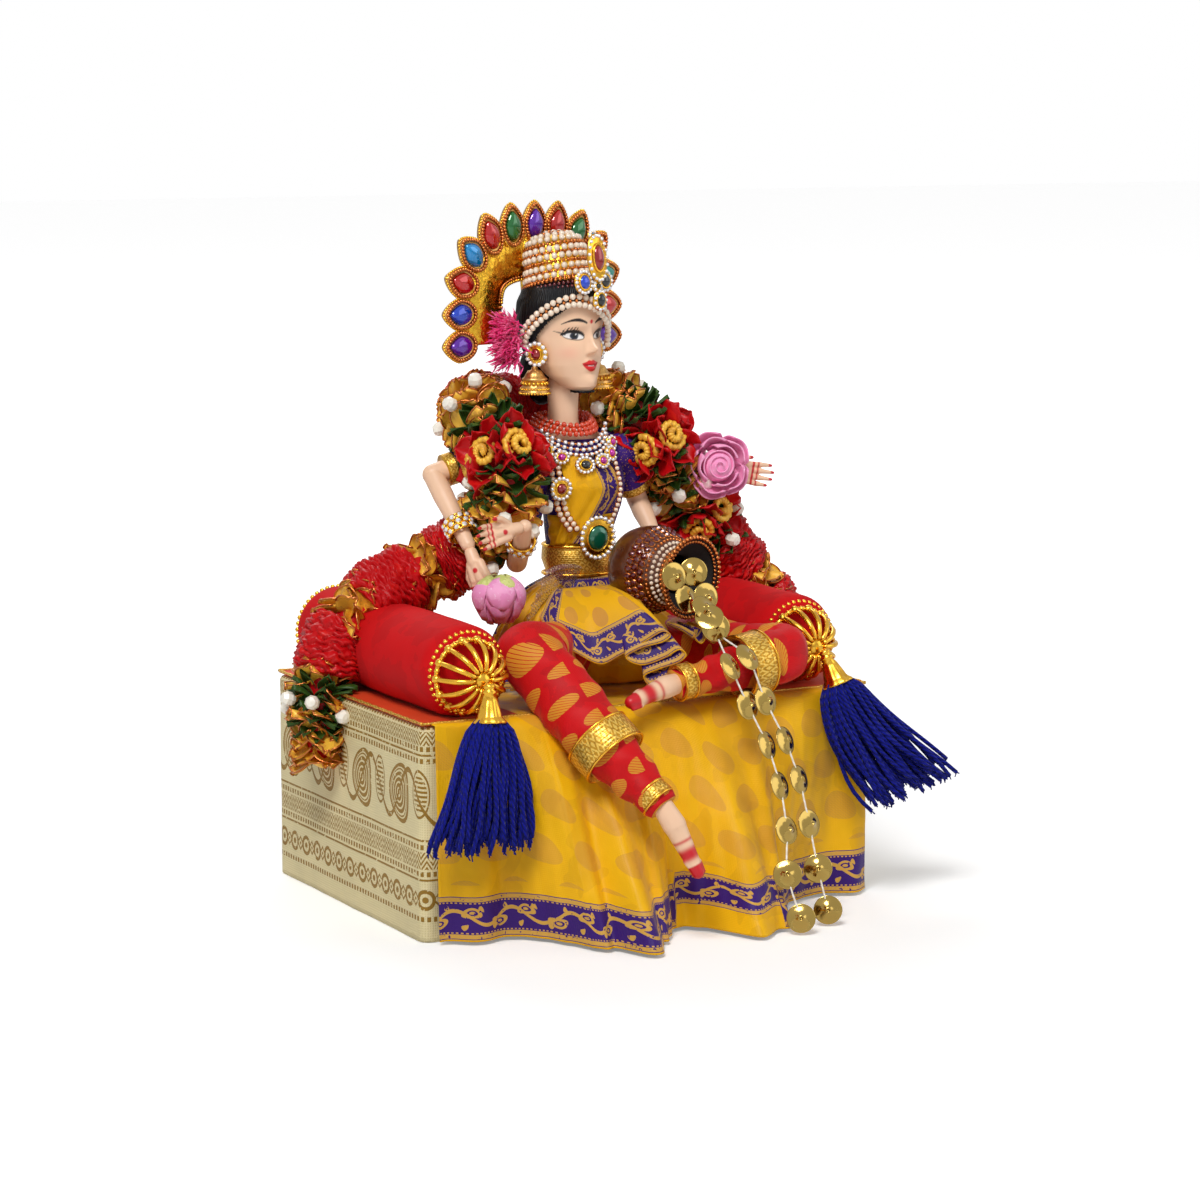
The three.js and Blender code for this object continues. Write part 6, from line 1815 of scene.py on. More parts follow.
@dataclass
class Head:
    """Head with its painted face, hair, crown, halo and ear ornaments, in the head's own frame."""

    middle: tuple[float, float, float] = (0.8, 5.5, 109.0)
    turn: float = math.radians(18)
    crown_radius: float = 11.6
    crown_height: float = 19.0
    crown_base: float = 11.8
    crown_tilt: float = math.radians(-13)
    halo_half: float = 28.0
    halo_wide: float = 32.5
    halo_leg: float = 9.0
    halo_shift: float = -1.0
    halo_lift: float = 5.4
    halo_plane: float = 12.8
    stud: float = 3.75
    jhumka_radius: float = 4.7
    jhumka_height: float = 8.6
    hair_start: int = 184
    hair_span: int = 172
    colours: tuple = ("purple", "blue", "red", "cyan", "red", "green", "purple", "red", "green", "pink",
                      "teal", "red", "purple")

    def put(self, shell: Shell) -> Shell:
        """A surface of the head's frame, in the doll's place."""
        c, s = math.cos(self.turn), math.sin(self.turn)
        turn = np.array([[c, -s, 0], [s, c, 0], [0, 0, 1]])
        return shell.reshaped(shell.points @ turn.T + seat(*self.middle))

    def bell(self, sign: float) -> Points:
        """Middle of a bell earring."""
        return self.put(ball(1).moved(vec(sign * 14.2, -1.6, -15.2))).points.mean(axis=0)

    def build(self) -> None:
        """Makes the head from the inside out."""
        self.face()
        self.hair()
        self.crown()
        self.brooch()
        self.forehead_chain()
        self.halo()
        self.feather()
        for name, sign in (("right", -1), ("left", 1)):
            self.ear(name, sign)

    def surface(self, grow: float, flatten: bool, columns: int, rows: int) -> Points:
        """Rings of the head.

        Args:
            grow: distance outside the skin.
            flatten: leaves the features off, as under hair.
            columns: points round.
            rows: rings.

        Returns:
            Grid of places in the head's frame.
        """
        table = np.array(HEAD_SECTIONS)
        z = np.interp(np.linspace(0, 1, rows), np.linspace(0, 1, len(table)), table[:, 0])
        w, f, b = (np.interp(z, table[:, 0], table[:, k]) for k in (1, 2, 3))
        angle = turns(columns)
        middle, half = (f + b) / 2, (b - f) / 2
        kernel = np.array([1, 4, 6, 4, 1]) / 16
        w, middle, half = (np.convolve(np.pad(v, 2, mode="edge"), kernel, "valid") for v in (w, middle,
                                                                                             half))
        x = (w[:, None] + grow) * np.cos(angle)
        y = middle[:, None] + (half[:, None] + grow) * np.sin(angle)
        zz = np.repeat(z[:, None], columns, 1)
        if not flatten:
            frontal = np.clip(-np.sin(angle) * 3, 0, 1)[None]
            nose = 2.6 * bump(x, zz, 0, -5.0, 1.25, 1.5) + 1.9 * bump(x, zz, 0, -2.6, 0.95, 2.8)
            nose += 0.7 * (bump(x, zz, 1.25, -5.9, 0.7, 0.8) + bump(x, zz, -1.25, -5.9, 0.7, 0.8))
            nose -= 0.5 * bump(x, zz, 0, -7.4, 1.4, 0.7)
            lips = 0.75 * bump(x, zz, 0, -9.3, 2.0, 0.75) + 0.85 * bump(x, zz, 0, -11.0, 1.7, 0.85)
            lips -= 0.45 * bump(x, zz, 0, -10.1, 2.6, 0.3)
            chin = 1.0 * bump(x, zz, 0, -15.2, 2.6, 2.0) - 0.35 * bump(x, zz, 0, -12.7, 2.2, 0.8)
            eyes = sum(0.95 * bump(x, zz, s * 5.2, -0.9, 2.5, 1.7) - 0.55
                       * bump(x, zz, s * 5.2, -1.0, 1.5, 0.9)
                       for s in (-1, 1))
            cheeks = sum(0.5 * bump(x, zz, s * 6.4, -6.4, 3.0, 3.2) for s in (-1, 1))
            brow = sum(0.3 * bump(x, zz, s * 4.8, 2.4, 3.4, 1.0) for s in (-1, 1))
            y = y - (nose + lips + chin - eyes + cheeks + brow) * frontal
        return np.stack([x, y, zz], -1)

    def face(self) -> None:
        """Vinyl head, painted: arched brows, winged eyes with a painted highlight, red lips and a red dot.
        """
        grid = self.surface(0.0, False, 260, 210)
        shell = closed_grid(grid)
        p = shell.points
        x, y, z = p.T
        front = y < 0
        colour = np.tile(np.array(linear(SKIN_COLOUR)), (len(p), 1))

        def lay(mask: Points, hexed: str) -> None:
            """Paints where a soft mask is one."""
            m = np.clip(mask, 0, 1)[:, None] * front[:, None]
            colour[:] = colour * (1 - m) + np.array(linear(hexed)) * m

        blush = sum(bump(x, z, s * 7.2, -6.0, 2.6, 2.0) for s in (-1, 1))
        lay(blush * 0.28, "#f08c7c")
        for s in (-1, 1):
            ex, ez = (x * s - 5.3), z + 0.9
            shadow = bump(ex, ez, 0, 1.6, 3.0, 0.8)
            lay(shadow * 0.35, "#b07860")
            open_half = 3.2
            lid = 1.3 * np.sqrt(np.clip(1 - (ex / open_half) ** 2, 0, 1)) + 0.12 * ex
            low = -0.95 * np.sqrt(np.clip(1 - (ex / open_half) ** 2, 0, 1)) + 0.12 * ex
            inside = np.clip((lid - ez) * 6, 0, 1) * np.clip((ez - low) * 6, 0,
                                                             1) * (np.abs(ex) < open_half)
            lay(inside, "#f4f0ee")
            iris = np.hypot(ex + 0.1, ez - 0.25)
            lay(np.clip((1.42 - iris) * 5, 0, 1) * inside, "#20283a")
            lay(np.clip((0.8 - iris) * 6, 0, 1) * inside, "#06060a")
            # Painted highlight: a white dot on each eye's iris.
            lay(np.clip((0.3 - np.hypot(ex + 0.55, ez - 0.7)) * 8, 0, 1), "#ffffff")
            wing = lid + 0.24
            liner = np.clip((0.62 - np.abs(ez - wing)) * 5, 0, 1) * (np.abs(ex) < open_half + 0.2)
            lay(liner, "#0c0808")
            lash = np.clip((0.95 - np.abs(ez - lid - 0.75)) * 5, 0, 1) * (np.sin(ex * 7 + ez * 2) > 0.25)
            lay(lash * (ex > -1.2) * (ex < open_half + 0.6), "#0c0808")
            tail_up = 0.4 + 0.38 * (ex - 2.6)
            tail = np.clip((0.44 - 0.11 * (ex - 2.6) - np.abs(ez - tail_up - 0.3)) * 5, 0, 1)
            lay(tail * (ex > 2.4) * (ex < 5.6), "#0c0808")
            under = np.clip((0.22 - np.abs(ez - low + 0.08)) * 6, 0, 1) * (np.abs(ex) < open_half)
            lay(under * 0.9, "#1c0c0c")
            bx = x * s - 5.2
            arch = 4.3 - 0.085 * (bx - 0.2) ** 2
            width = 0.66 - 0.09 * np.abs(bx + 0.6)
            brow = np.clip((width - np.abs(z - arch)) * 5, 0, 1) * (bx > -3.4) * (bx < 4.2)
            lay(brow, "#140c0a")
        bow = 0.045 * x * x
        upper = -8.9 + 0.34 * np.exp(-(((np.abs(x) - 0.9) / 0.8) ** 2)) - 0.1 * x * x + bow
        lower = -12.1 + 0.17 * x * x + bow
        lips = np.clip((upper + 0.3 - z) * 5, 0, 1) * np.clip((z - lower) * 5, 0, 1) * (np.abs(x) < 3.9)
        lay(lips, "#d01018")
        smile = z + 10.2 - bow
        lay(np.clip((0.2 - np.abs(smile)) * 6, 0, 1) * (np.abs(x) < 1.4), "#f8f0ee")
        line = np.clip((0.14 - np.abs(smile - 0.2)) * 8, 0, 1) * (np.abs(x) < 3.0)
        lay(line * 0.7, "#6c0810")
        lay(np.clip((0.75 - np.hypot(x, z - 3.6)) * 5, 0, 1), "#d41018")
        piece = Piece("painted_head", "head", "vinyl", "head")
        piece.add(self.put(shell), FACE, paint=colour)
        piece.build()

    def hair_line(self, share: Points | float) -> Points:
        """Height of the hair's edge, from the right ear (0) over the forehead to the left ear (1)."""
        return -3.8 + 14.2 * np.sin(math.pi * share) ** 0.82

    def hair(self) -> None:
        """Black hair drawn back from the face, with a nape roll."""
        grid = self.surface(0.95, True, 150, 120)
        x, y, z = (grid[..., k] for k in range(3))
        turn = np.degrees(np.arctan2(y - y.mean(axis=1, keepdims=True), x)) % 360
        share = (turn - self.hair_start) / self.hair_span
        facing = (share > 0) & (share < 1)
        keep = (~facing | (z > self.hair_line(np.clip(share, 0, 1)))) & ((z > -9) | (y > 3))
        keep = keep.ravel()
        strands = np.sin(np.arctan2(y - 1, x) * 70 + 2 * ripple(grid, 7, 31)) * 0.14
        out = unit(np.stack([x, y - 1, z * 0.4], -1))
        grid = grid + out * (strands + 0.3)[..., None]
        shell = closed_grid(grid)
        inside = np.concatenate([keep, [True, True]])
        quads = shell.quads[inside[shell.quads].all(axis=1)]
        corners = shell.corners[inside[shell.quads].all(axis=1)]
        cap = Shell(shell.points, quads, corners, shell.triangles)
        piece = Piece("fibre_hair", "head", "hair", "hair").add(self.put(cap), HAIR)
        roll = fused([ball(4).scaled(8.4, 5.6, 8.2).moved(vec(0, 9.2, -12)),
                      ball(4).scaled(4.6, 3.6, 5).moved(vec(0, 9.4, -18.6))], 0.6, 6)
        combed = roll.swollen(0.16 * np.sin(np.arctan2(roll.points[:, 1] - 8, roll.points[:, 0]) * 46))
        piece.add(self.put(combed), HAIR).build(0.5)

    def crown_place(self, shell: Shell) -> Shell:
        """A surface of the crown, tipped back on the head."""
        c, s = math.cos(self.crown_tilt), math.sin(self.crown_tilt)
        tip = np.array([[1, 0, 0], [0, c, -s], [0, s, c]])
        return self.put(shell.reshaped(shell.points @ tip.T + vec(0, 0.6, self.crown_base)))

    def crown(self) -> None:
        """Tiered crown: foil body with rows of pearls and bands of copper and dark red beads."""
        r = self.crown_radius
        profile = [(0.01, 0.4), (r - 1.4, 0), (r - 1, 3), (r - 1.4, 6.4), (r - 2.1, 11), (r - 2.7, 14.6),
                   (r - 4.4, 17.0), (r - 7.6, 18.3), (0.01, 18.6)]
        piece = Piece("beaded_crown", "head", "gold", "crown")
        piece.add(self.crown_place(lathe(profile, 64)), FOIL)
        bead = ball(1)

        def row(radius: float, z: float, size: float, finish: Finish, shift: float = 0.0) -> None:
            """One ring of beads round the crown."""
            count = int(TAU * radius / (size * 2.16))
            turn = turns(count, shift)
            at = circle(radius, turn, z)
            piece.add(self.crown_place(set_on(bead, at, UP, size)), finish)

        for z in (0.7, 2.0):
            row(r - 0.1, z, 0.66, GEMS["wine"], z)
        row(r, 3.3, 0.66, COPPER)
        for z in (5.1, 7.6, 11.0, 13.4):
            row(r - 0.3 - 0.14 * z, z, 1.08, PEARL, z * 0.37)
        for z in (3.9, 6.35, 9.3, 12.2, 15.0):
            row(r - 0.3 - 0.14 * z, z, 0.62, COPPER, 0.5)
        for radius, z in ((r - 3.4, 16.5), (r - 5.4, 17.9), (r - 9.2, 19.0)):
            row(radius, z, 1.05, PEARL)
        for radius, z in ((r - 7.2, 18.7), (r - 10.4, 19.2)):
            row(radius, z, 0.75, COPPER)
        piece.build()

    def stone_flower(self, radius: float, colour: Finish, stone: float, tall: float = 1.0,
                     halo_size: float = 0.62) -> list[tuple[Shell, Finish, bool]]:
        """Cut stone in a gold cup with a ring of rhinestones, made flat along +Z."""
        parts = [(lathe([(0.01, 0), (radius, 0), (radius + 0.1, 0.5), (radius - 0.5, 0.8), (0.01, 0.8)],
                        28)
                  .scaled(1, tall, 1), GOLD, False)]
        count = max(8, int(TAU * (radius - 0.3) / (2.05 * halo_size)))
        turn = turns(count)
        at = np.stack([(radius - 0.35) * np.cos(turn), (radius - 0.35) * tall * np.sin(turn),
                       np.full(count, 0.95)], 1)
        parts.append((set_on(ball(1), at, UP, halo_size), CRYSTAL, False))
        facets = [(0.01, 0.7), (stone, 0.8), (stone, 1.25), (stone * 0.8, 1.75), (stone * 0.45, 2.15),
                  (0.01, 2.2)]
        parts.append((lathe(facets, 18).scaled(1, tall, 1), colour, False))
        ring = lathe([(stone + 0.02, 0.8), (stone + 0.4, 0.8), (stone + 0.42, 1.3), (stone + 0.1, 1.5),
                      (stone + 0.02, 0.8)], 24)
        ring = Shell(ring.points[:-2], ring.quads, ring.corners)
        parts.append((ring.scaled(1, tall, 1), GOLD, False))
        return parts

    def brooch(self) -> None:
        """Marquise stone over a bar, with two flowers beside it and a drop below."""
        piece = Piece("brooch", "head", "stones", "crown_brooch")
        lean = vec(0, -1, 0.12)

        def put_all(parts: list, at: Points, facing: Points) -> None:
            """Adds a setting at a place of the head's frame."""
            for shell, finish, flat in parts:
                piece.add(self.put(shell.placed(at, facing, ALONG_X)), finish, flat)

        put_all(self.stone_flower(4.2, GEMS["ruby"], 2.2, 1.8), vec(0, -14.6, 23.4), lean)
        put_all(self.stone_flower(3.7, GEMS["blue"], 2.2), vec(-5.2, -13.6, 16.0), lean)
        put_all(self.stone_flower(3.3, GEMS["black"], 2.0), vec(4.6, -13.0, 16.0), lean)
        put_all(self.stone_flower(1.8, GEMS["black"], 0.9), vec(0, -14.2, 14.6), lean)
        put_all(self.stone_flower(2.7, GEMS["black"], 1.7, 1.2), vec(0, -15.6, 10.4), FRONT)
        put_all(self.stone_flower(1.6, GEMS["cyan"], 0.9), vec(0, -12.2, 30.0), vec(0, -1, 0.3))
        stem = np.array([vec(0, -13.6, 14.2), vec(0, -14.6, 12.4), vec(0, -14.8, 11)])
        piece.add(self.put(tube(smooth_path(list(stem), 8), 0.7, 8)), GOLD).build()

    def forehead_chain(self) -> None:
        """Two rows of pearls from ear to ear, with gold spacers between."""
        skull = self.surface(2.0, True, 200, 180)
        levels = skull[:, 0, 2]
        places = []
        for t in np.linspace(0, 1, 30):
            z = float(self.hair_line(t))
            turn = int(round((self.hair_start + self.hair_span * t) / 2)) % 180
            places.append(skull[int(np.argmin(np.abs(levels - z))), turn] * LEVEL + vec(0, 0, z))
        line = smooth_path(places, 25)
        away = unit(line * vec(1, 1, 0.2))
        up = unit(np.cross(np.gradient(line, axis=0), away))
        piece = Piece("pearl_forehead_chain", "head", "stones", "forehead_chain")
        for side in (-1, 1):
            at = line + up * side * 1.2 + away * 0.15
            piece.add(self.put(set_on(ball(2), at, UP, 1.02)), PEARL)
        middles = (line[1:] + line[:-1]) / 2
        piece.add(self.put(set_on(ball(1), middles + away[1:] * 0.3, UP, 0.55)), COPPER)
        for side in (-1, 1):
            piece.add(self.put(tube(line + up * side * 1.2 - away * 0.2, 0.42, 6)), COPPER)
        piece.build()

    def arch(self, count: int, offset: float) -> tuple[Points, Points]:
        """Places and outward directions along the halo's flat-topped horseshoe."""
        half, wide, power = self.halo_half, self.halo_wide, 0.77
        angle = np.linspace(0, math.pi, 21)
        c, s = np.cos(angle), np.sin(angle)
        raw = [vec(wide, -self.halo_leg, 0)]
        raw += [vec(wide * np.sign(a) * abs(a) ** power, half * max(b, 0) ** power, 0) for a,
                b in zip(c, s)]
        raw.append(vec(-wide, -self.halo_leg, 0))
        line = smooth_path(raw, (count - 1) * 12)
        along = unit(np.gradient(line, axis=0))
        out = np.stack([along[:, 1], -along[:, 0], 0 * along[:, 0]], 1)
        picks = np.arange(count) * 12
        return line[picks] + out[picks] * offset, out[picks]

    def halo_put(self, shell: Shell) -> Shell:
        """A surface of the halo's plane, stood upright behind the head."""
        p = shell.points
        stood = np.stack([p[:, 0] + self.halo_shift, self.halo_plane - p[:, 2], p[:, 1] + self.halo_lift],
                         1)
        return self.put(shell.reshaped(stood))

    def halo(self) -> None:
        """Gem halo: thirteen leaf settings on a beaded foil arch joined to the crown by a bridge."""
        piece = Piece("gem_halo", "head", "gold", "halo")
        outer, _ = self.arch(97, -3.6)
        inner, _ = self.arch(97, -17.5)
        flat = np.stack([outer, (outer + inner) / 2, inner], 0)
        thick = np.array([vec(0, 0, z) for z in (0.0, 1.6)])
        crumple = ripple(flat, 3.2, 41)[..., None] * 0.25 * UP
        front, back = flat + thick[1] + crumple, flat + thick[0]
        ring = np.concatenate([front, back[::-1]], 0).transpose(1, 0, 2)
        piece.add(self.halo_put(closed_grid(ring)), FOIL)
        bridge = np.array([[vec(x, y, z) for x, z in ((-w, 1.5), (0, 2.1), (w, 1.5), (w, 0.3), (-w, 0.3))]
                           for y, w in ((-1, 4.2), (8, 5.2), (14, 5.8), (20, 6.8), (23.5, 7.4))])
        piece.add(self.halo_put(closed_grid(bridge)), FOIL)
        turn = turns(40)
        point = np.clip(np.cos(turn), 0, None) ** 3
        leaf_y = (np.cos(turn) * 0.5 + 0.5 - 0.06 * point) * 15
        leaf_x = np.sin(turn) * 4.9 * (1 - 0.55 * np.clip(np.cos(turn), 0, None) ** 1.4)

        def leaf(scale: float, z: float) -> Points:
            """Outline of a setting."""
            return np.stack([leaf_x * scale, 7 + (leaf_y - 7) * scale, np.full(40, z)], 1)

        dish = closed_grid(np.array([leaf(0.98, 0.1), leaf(1.0, 1.3), leaf(0.94, 1.9), leaf(0.72, 1.6),
                                     leaf(0.66, 1.5)]))
        stone = closed_grid(np.array([leaf(0.66, 1.3), leaf(0.66, 2.0), leaf(0.5, 2.9), leaf(0.26, 3.3)]))
        rim = leaf(0.86, 2.0)
        line = smooth_path([*rim, rim[0]], 30)[:-1]
        beads = set_on(ball(1), line, UP, 0.68)
        edge = leaf(1.0, 1.3)
        scallop = set_on(ball(1), smooth_path([*edge, edge[0]], 40)[:-1], UP, 0.48)
        places, outs = self.arch(13, -7)
        axes = [np.stack([vec(o[1], -o[0], 0), o, UP], 1) for o in outs]
        spots = [Place(p, a, WHOLE) for p, a in zip(places, axes)]
        piece.add(self.halo_put(scatter(dish, spots)), ANTIQUE)
        piece.add(self.halo_put(scatter(beads, spots)), COPPER)
        piece.add(self.halo_put(scatter(scallop, spots)), GOLD)
        for spot, colour in zip(spots, self.colours[::-1]):
            piece.add(self.halo_put(scatter(stone, [spot])), GEMS[colour])
        edge_line, _ = self.arch(61, -17.2)
        fringe, _ = self.arch(61, -16.2)
        piece.add(self.halo_put(set_on(ball(1), edge_line + vec(0, 0, 1.8), UP, 0.62)), GOLD)
        piece.add(self.halo_put(set_on(ball(1), fringe + vec(0, 0, 2.0), UP, 0.5)), COPPER)
        piece.build()

    def feather(self) -> None:
        """Tuft of magenta feather barbs beside the hair."""
        rng = np.random.default_rng(51)
        root = vec(-15.8, 6.2, -4.0)
        piece = Piece("feather_tuft", "head", "feather", "feather_flower")
        barb = tube(smooth_path([vec(0, 0, 0), vec(0.4, 0, 2.2), vec(0.1, 0.2, 5.0)], 4),
                    [0.16, 0.34, 0.3, 0.22, 0.06], 4)
        points, facings, sizes = [], [], []
        for _ in range(900):
            t = rng.uniform(0.32, 1)
            away = unit(vec(-0.9, rng.normal() * 0.6 - 0.1, rng.normal() * 0.5 + 0.35 * (t - 0.3)))
            points.append(root + vec(-0.8 * t, rng.normal() * 1.6, -10 + 17 * t) + away
                          * rng.uniform(0, 3.2))
            facings.append(unit(away + rng.normal(size=3) * 0.4))
            sizes.append(rng.uniform(0.7, 1.15))
        piece.add(self.put(set_on(barb, np.array(points), np.array(facings), np.array(sizes))), FEATHER)
        piece.build()

    def ear(self, name: str, sign: int) -> None:
        """Ruby stud ringed with rhinestones, and the bell earring under it."""
        stud = Piece(f"stud_{name}", "head", "stones", f"ear_stud_{name}")
        at, facing = vec(sign * 12.9, -1.6, -6.4), vec(sign, -0.25, 0)
        for shell, finish, flat in self.stone_flower(self.stud, GEMS["ruby"], 1.7, halo_size=0.78):
            stud.add(self.put(shell.placed(at, facing)), finish, flat)
        stud.build()
        r, h = self.jhumka_radius, self.jhumka_height
        profile = [(0.01, 0.1), (0.9, -0.2), (1.1, -1), (2.2, -1.3), (0.6 * r, -2.4), (0.72 * r, -3.4),
                   (0.84 * r, -3.7), (0.84 * r, -4.2), (0.78 * r, -4.4), (0.8 * r, -6.0), (0.9 * r, -6.3),
                   (0.86 * r, -6.7), (r, -7.6), (1.02 * r, -8.0), (r, -h), (0.86 * r, -h + 0.1),
                   (0.6 * r, 2.4 - h), (0.01, 3 - h)]
        shell = lathe(profile[::-1], 48)
        around = np.arctan2(shell.points[:, 1], shell.points[:, 0])
        dome = np.clip(-shell.points[:, 2] - 1.2, 0, 1) * (shell.points[:, 2] > -3.6)
        shell.points[:, :2] *= (1 + 0.035 * np.cos(around * 18) * dome)[:, None]
        hook = vec(sign * 14.2, -1.6, -10.2)
        piece = Piece(f"bell_earring_{name}", f"earring_{name}", "gold", f"jhumka_{name}")
        piece.add(self.put(shell.moved(hook)), ANTIQUE)
        for z, radius, size, count in ((-5.2, 0.83 * r, 0.62, 18), (-7.0, 0.93 * r, 0.4, 30),
                                       (-8.3, 1.0 * r, 0.42, 32)):
            turn = turns(count)
            spots = circle(radius, turn, z) + hook
            piece.add(self.put(set_on(ball(1), spots, UP, size)), GOLD)
        piece.build()


# How far jewellery lies outside the body
CHEST_OUT = 3.5


@dataclass
class Torso:
    """Vinyl body under the clothes, and the bare neck."""

    neck: tuple[float, float] = (0.8, 5.5)

    def build(self) -> None:
        """Makes the body and the neck."""
        piece = Piece("vinyl_torso", "seated_doll", "vinyl", "torso")
        grid = np.array([body_ring(h, 0.0, 48) for h in np.linspace(3.5, 77, 40)])
        piece.add(closed_grid(grid), SKIN)
        outline = smooth_path([vec(r, 0, z) for r,
                               z in ((7.0, 74), (5.6, 77.5), (4.9, 81), (4.8, 86), (4.9, 91),
                                                         (4.0, 95), (0.05, 97))], 40)
        neck = lathe([(0.01, 74), *[(r, z) for r, z in outline[:, [0, 2]]]], 48)
        piece.add(neck.moved(vec(*self.neck, SEAT)), SKIN).build()


@dataclass
class Jewels:
    """Necklaces and chains on the chest."""

    neck: tuple[float, float] = (0.8, 5.5)

    def build(self, head: Head) -> None:
        """Makes the necklaces from the neck down."""
        self.coral()
        self.collar(head)
        self.chain(head, "ruby_drop", "ruby_chain", ((-7.6, 71), (-7.4, 62), (-5.4, 53), (-2.2, 48)),
                   (-7, 61), 3.2, GEMS["ruby"], 1.7, 1.25)
        self.chain(head, "emerald_drop", "emerald_chain", ((12.6, 71), (12.8, 60), (11.4, 52), (8, 46)),
                   (5.6, 45), 5.7, GEMS["emerald"], 3.5, 0.0)

    def coral(self) -> None:
        """Three rows of coral beads round the neck."""
        piece = Piece("coral_beads", "seated_doll", "coral", "coral_necklace")
        for row, (out, drop) in enumerate(((0.2, 1.2), (1.1, 0.0), (1.6, -1.3))):
            count = 27 + row * 3
            turn = turns(count, 0.5 * row)
            front = np.clip(-np.sin(turn), 0, 1)
            x = self.neck[0] + 0.6 * front + (8.4 + out) * np.cos(turn)
            y = self.neck[1] - 1.4 * front + (7.6 + out) * np.sin(turn)
            at = np.stack([x, y, SEAT + 81.4 - 2.6 * front + drop], 1)
            piece.add(set_on(ball(1), at, UP, 0.98), CORAL)
            piece.add(tube(np.vstack([at, at[:1]]), 0.25, 5), THREAD)
        piece.build()

    def setting(self, piece: Piece, parts: list, at: Points, facing: Points) -> None:
        """Adds a stone setting on the chest."""
        for shell, finish, flat in parts:
            piece.add(shell.placed(at, facing, ALONG_X), finish, flat)

    def collar(self, head: Head) -> None:
        """Rhinestone collar with flower settings."""
        piece = Piece("stone_collar", "seated_doll", "stones", "collar_necklace")
        flowers = ((-9.6, 72.6, 2.5, "wine", 1.2), (-5.6, 70.4, 2.5, "magenta", 0.85),
                   (0.8, 68, 3.3, "black", 0.8), (7, 69, 2.6, "magenta", 0.9),
                   (11, 71, 2.3, "magenta", 1.1), (12.6, 74.2, 2.0, "magenta", 1.1))
        for x, h, r, colour, tall in flowers:
            at = body_front(max(x, -8.4), h, CHEST_OUT - 0.2) + vec(min(0, x + 8.4), 0, 0)
            self.setting(piece, head.stone_flower(r, GEMS[colour], r * 0.52, tall), at,
                         vec(0.03 * x, -1, 0.25))
        for lift in (2.6, 4.2, 5.8):
            places = [body_front(x, h + lift - 1.0, CHEST_OUT - 0.4) for x, h in
                      ((-8.6, 73.6), (-5.6, 71.0), (0.8, 69.4), (7, 70.0), (11, 72.2), (12.8, 75))]
            line = smooth_path(places, int(19 - lift))
            piece.add(set_on(ball(1), line, FRONT, 0.78), CRYSTAL)
            piece.add(set_on(ball(1), (line[1:] + line[:-1]) / 2, FRONT, 0.5), COPPER)
        piece.build()

    def chain(self, head: Head, name: str, node_name: str, places: tuple, pendant: tuple[float, float],
              radius: float, colour: Finish, stone: float, double: float) -> None:
        """Chain of rhinestone links with a round pendant.

        Args:
            head: maker of stone settings.
            name: piece to make.
            node_name: node that it stands for.
            places: x and height pairs that it lies on.
            pendant: x and height of its pendant.
            radius: the pendant's radius.
            colour: the pendant's stone.
            stone: the stone's radius.
            double: half the spacing of two rows, or nought for one.
        """
        piece = Piece(name, "seated_doll", "stones", node_name)
        line = smooth_path([body_front(x, h, CHEST_OUT - 0.1) for x, h in places], 13 if double else 16)
        for side in ((-1, 1) if double else (0,)):
            at = line + vec(side * double, 0, 0)
            piece.add(set_on(ball(2), at, FRONT, 0.92 if double else 0.75), PEARL)
            cups = set_on(lathe([(0.01, -0.6), (1.0, -0.5), (1.15, 0), (0.9, 0.2), (0.01, 0.2)], 10), at,
                          FRONT, 1.0 if double else 0.8)
            piece.add(cups, COPPER)
        at = body_front(*pendant, CHEST_OUT + 0.2)
        size = 0.72 if radius < 4 else 0.8
        self.setting(piece, head.stone_flower(radius + 0.4, colour, stone, 1.0 if radius < 4 else 1.12,
                                              size), at,
                     vec(0, -1, -0.05))
        piece.build()


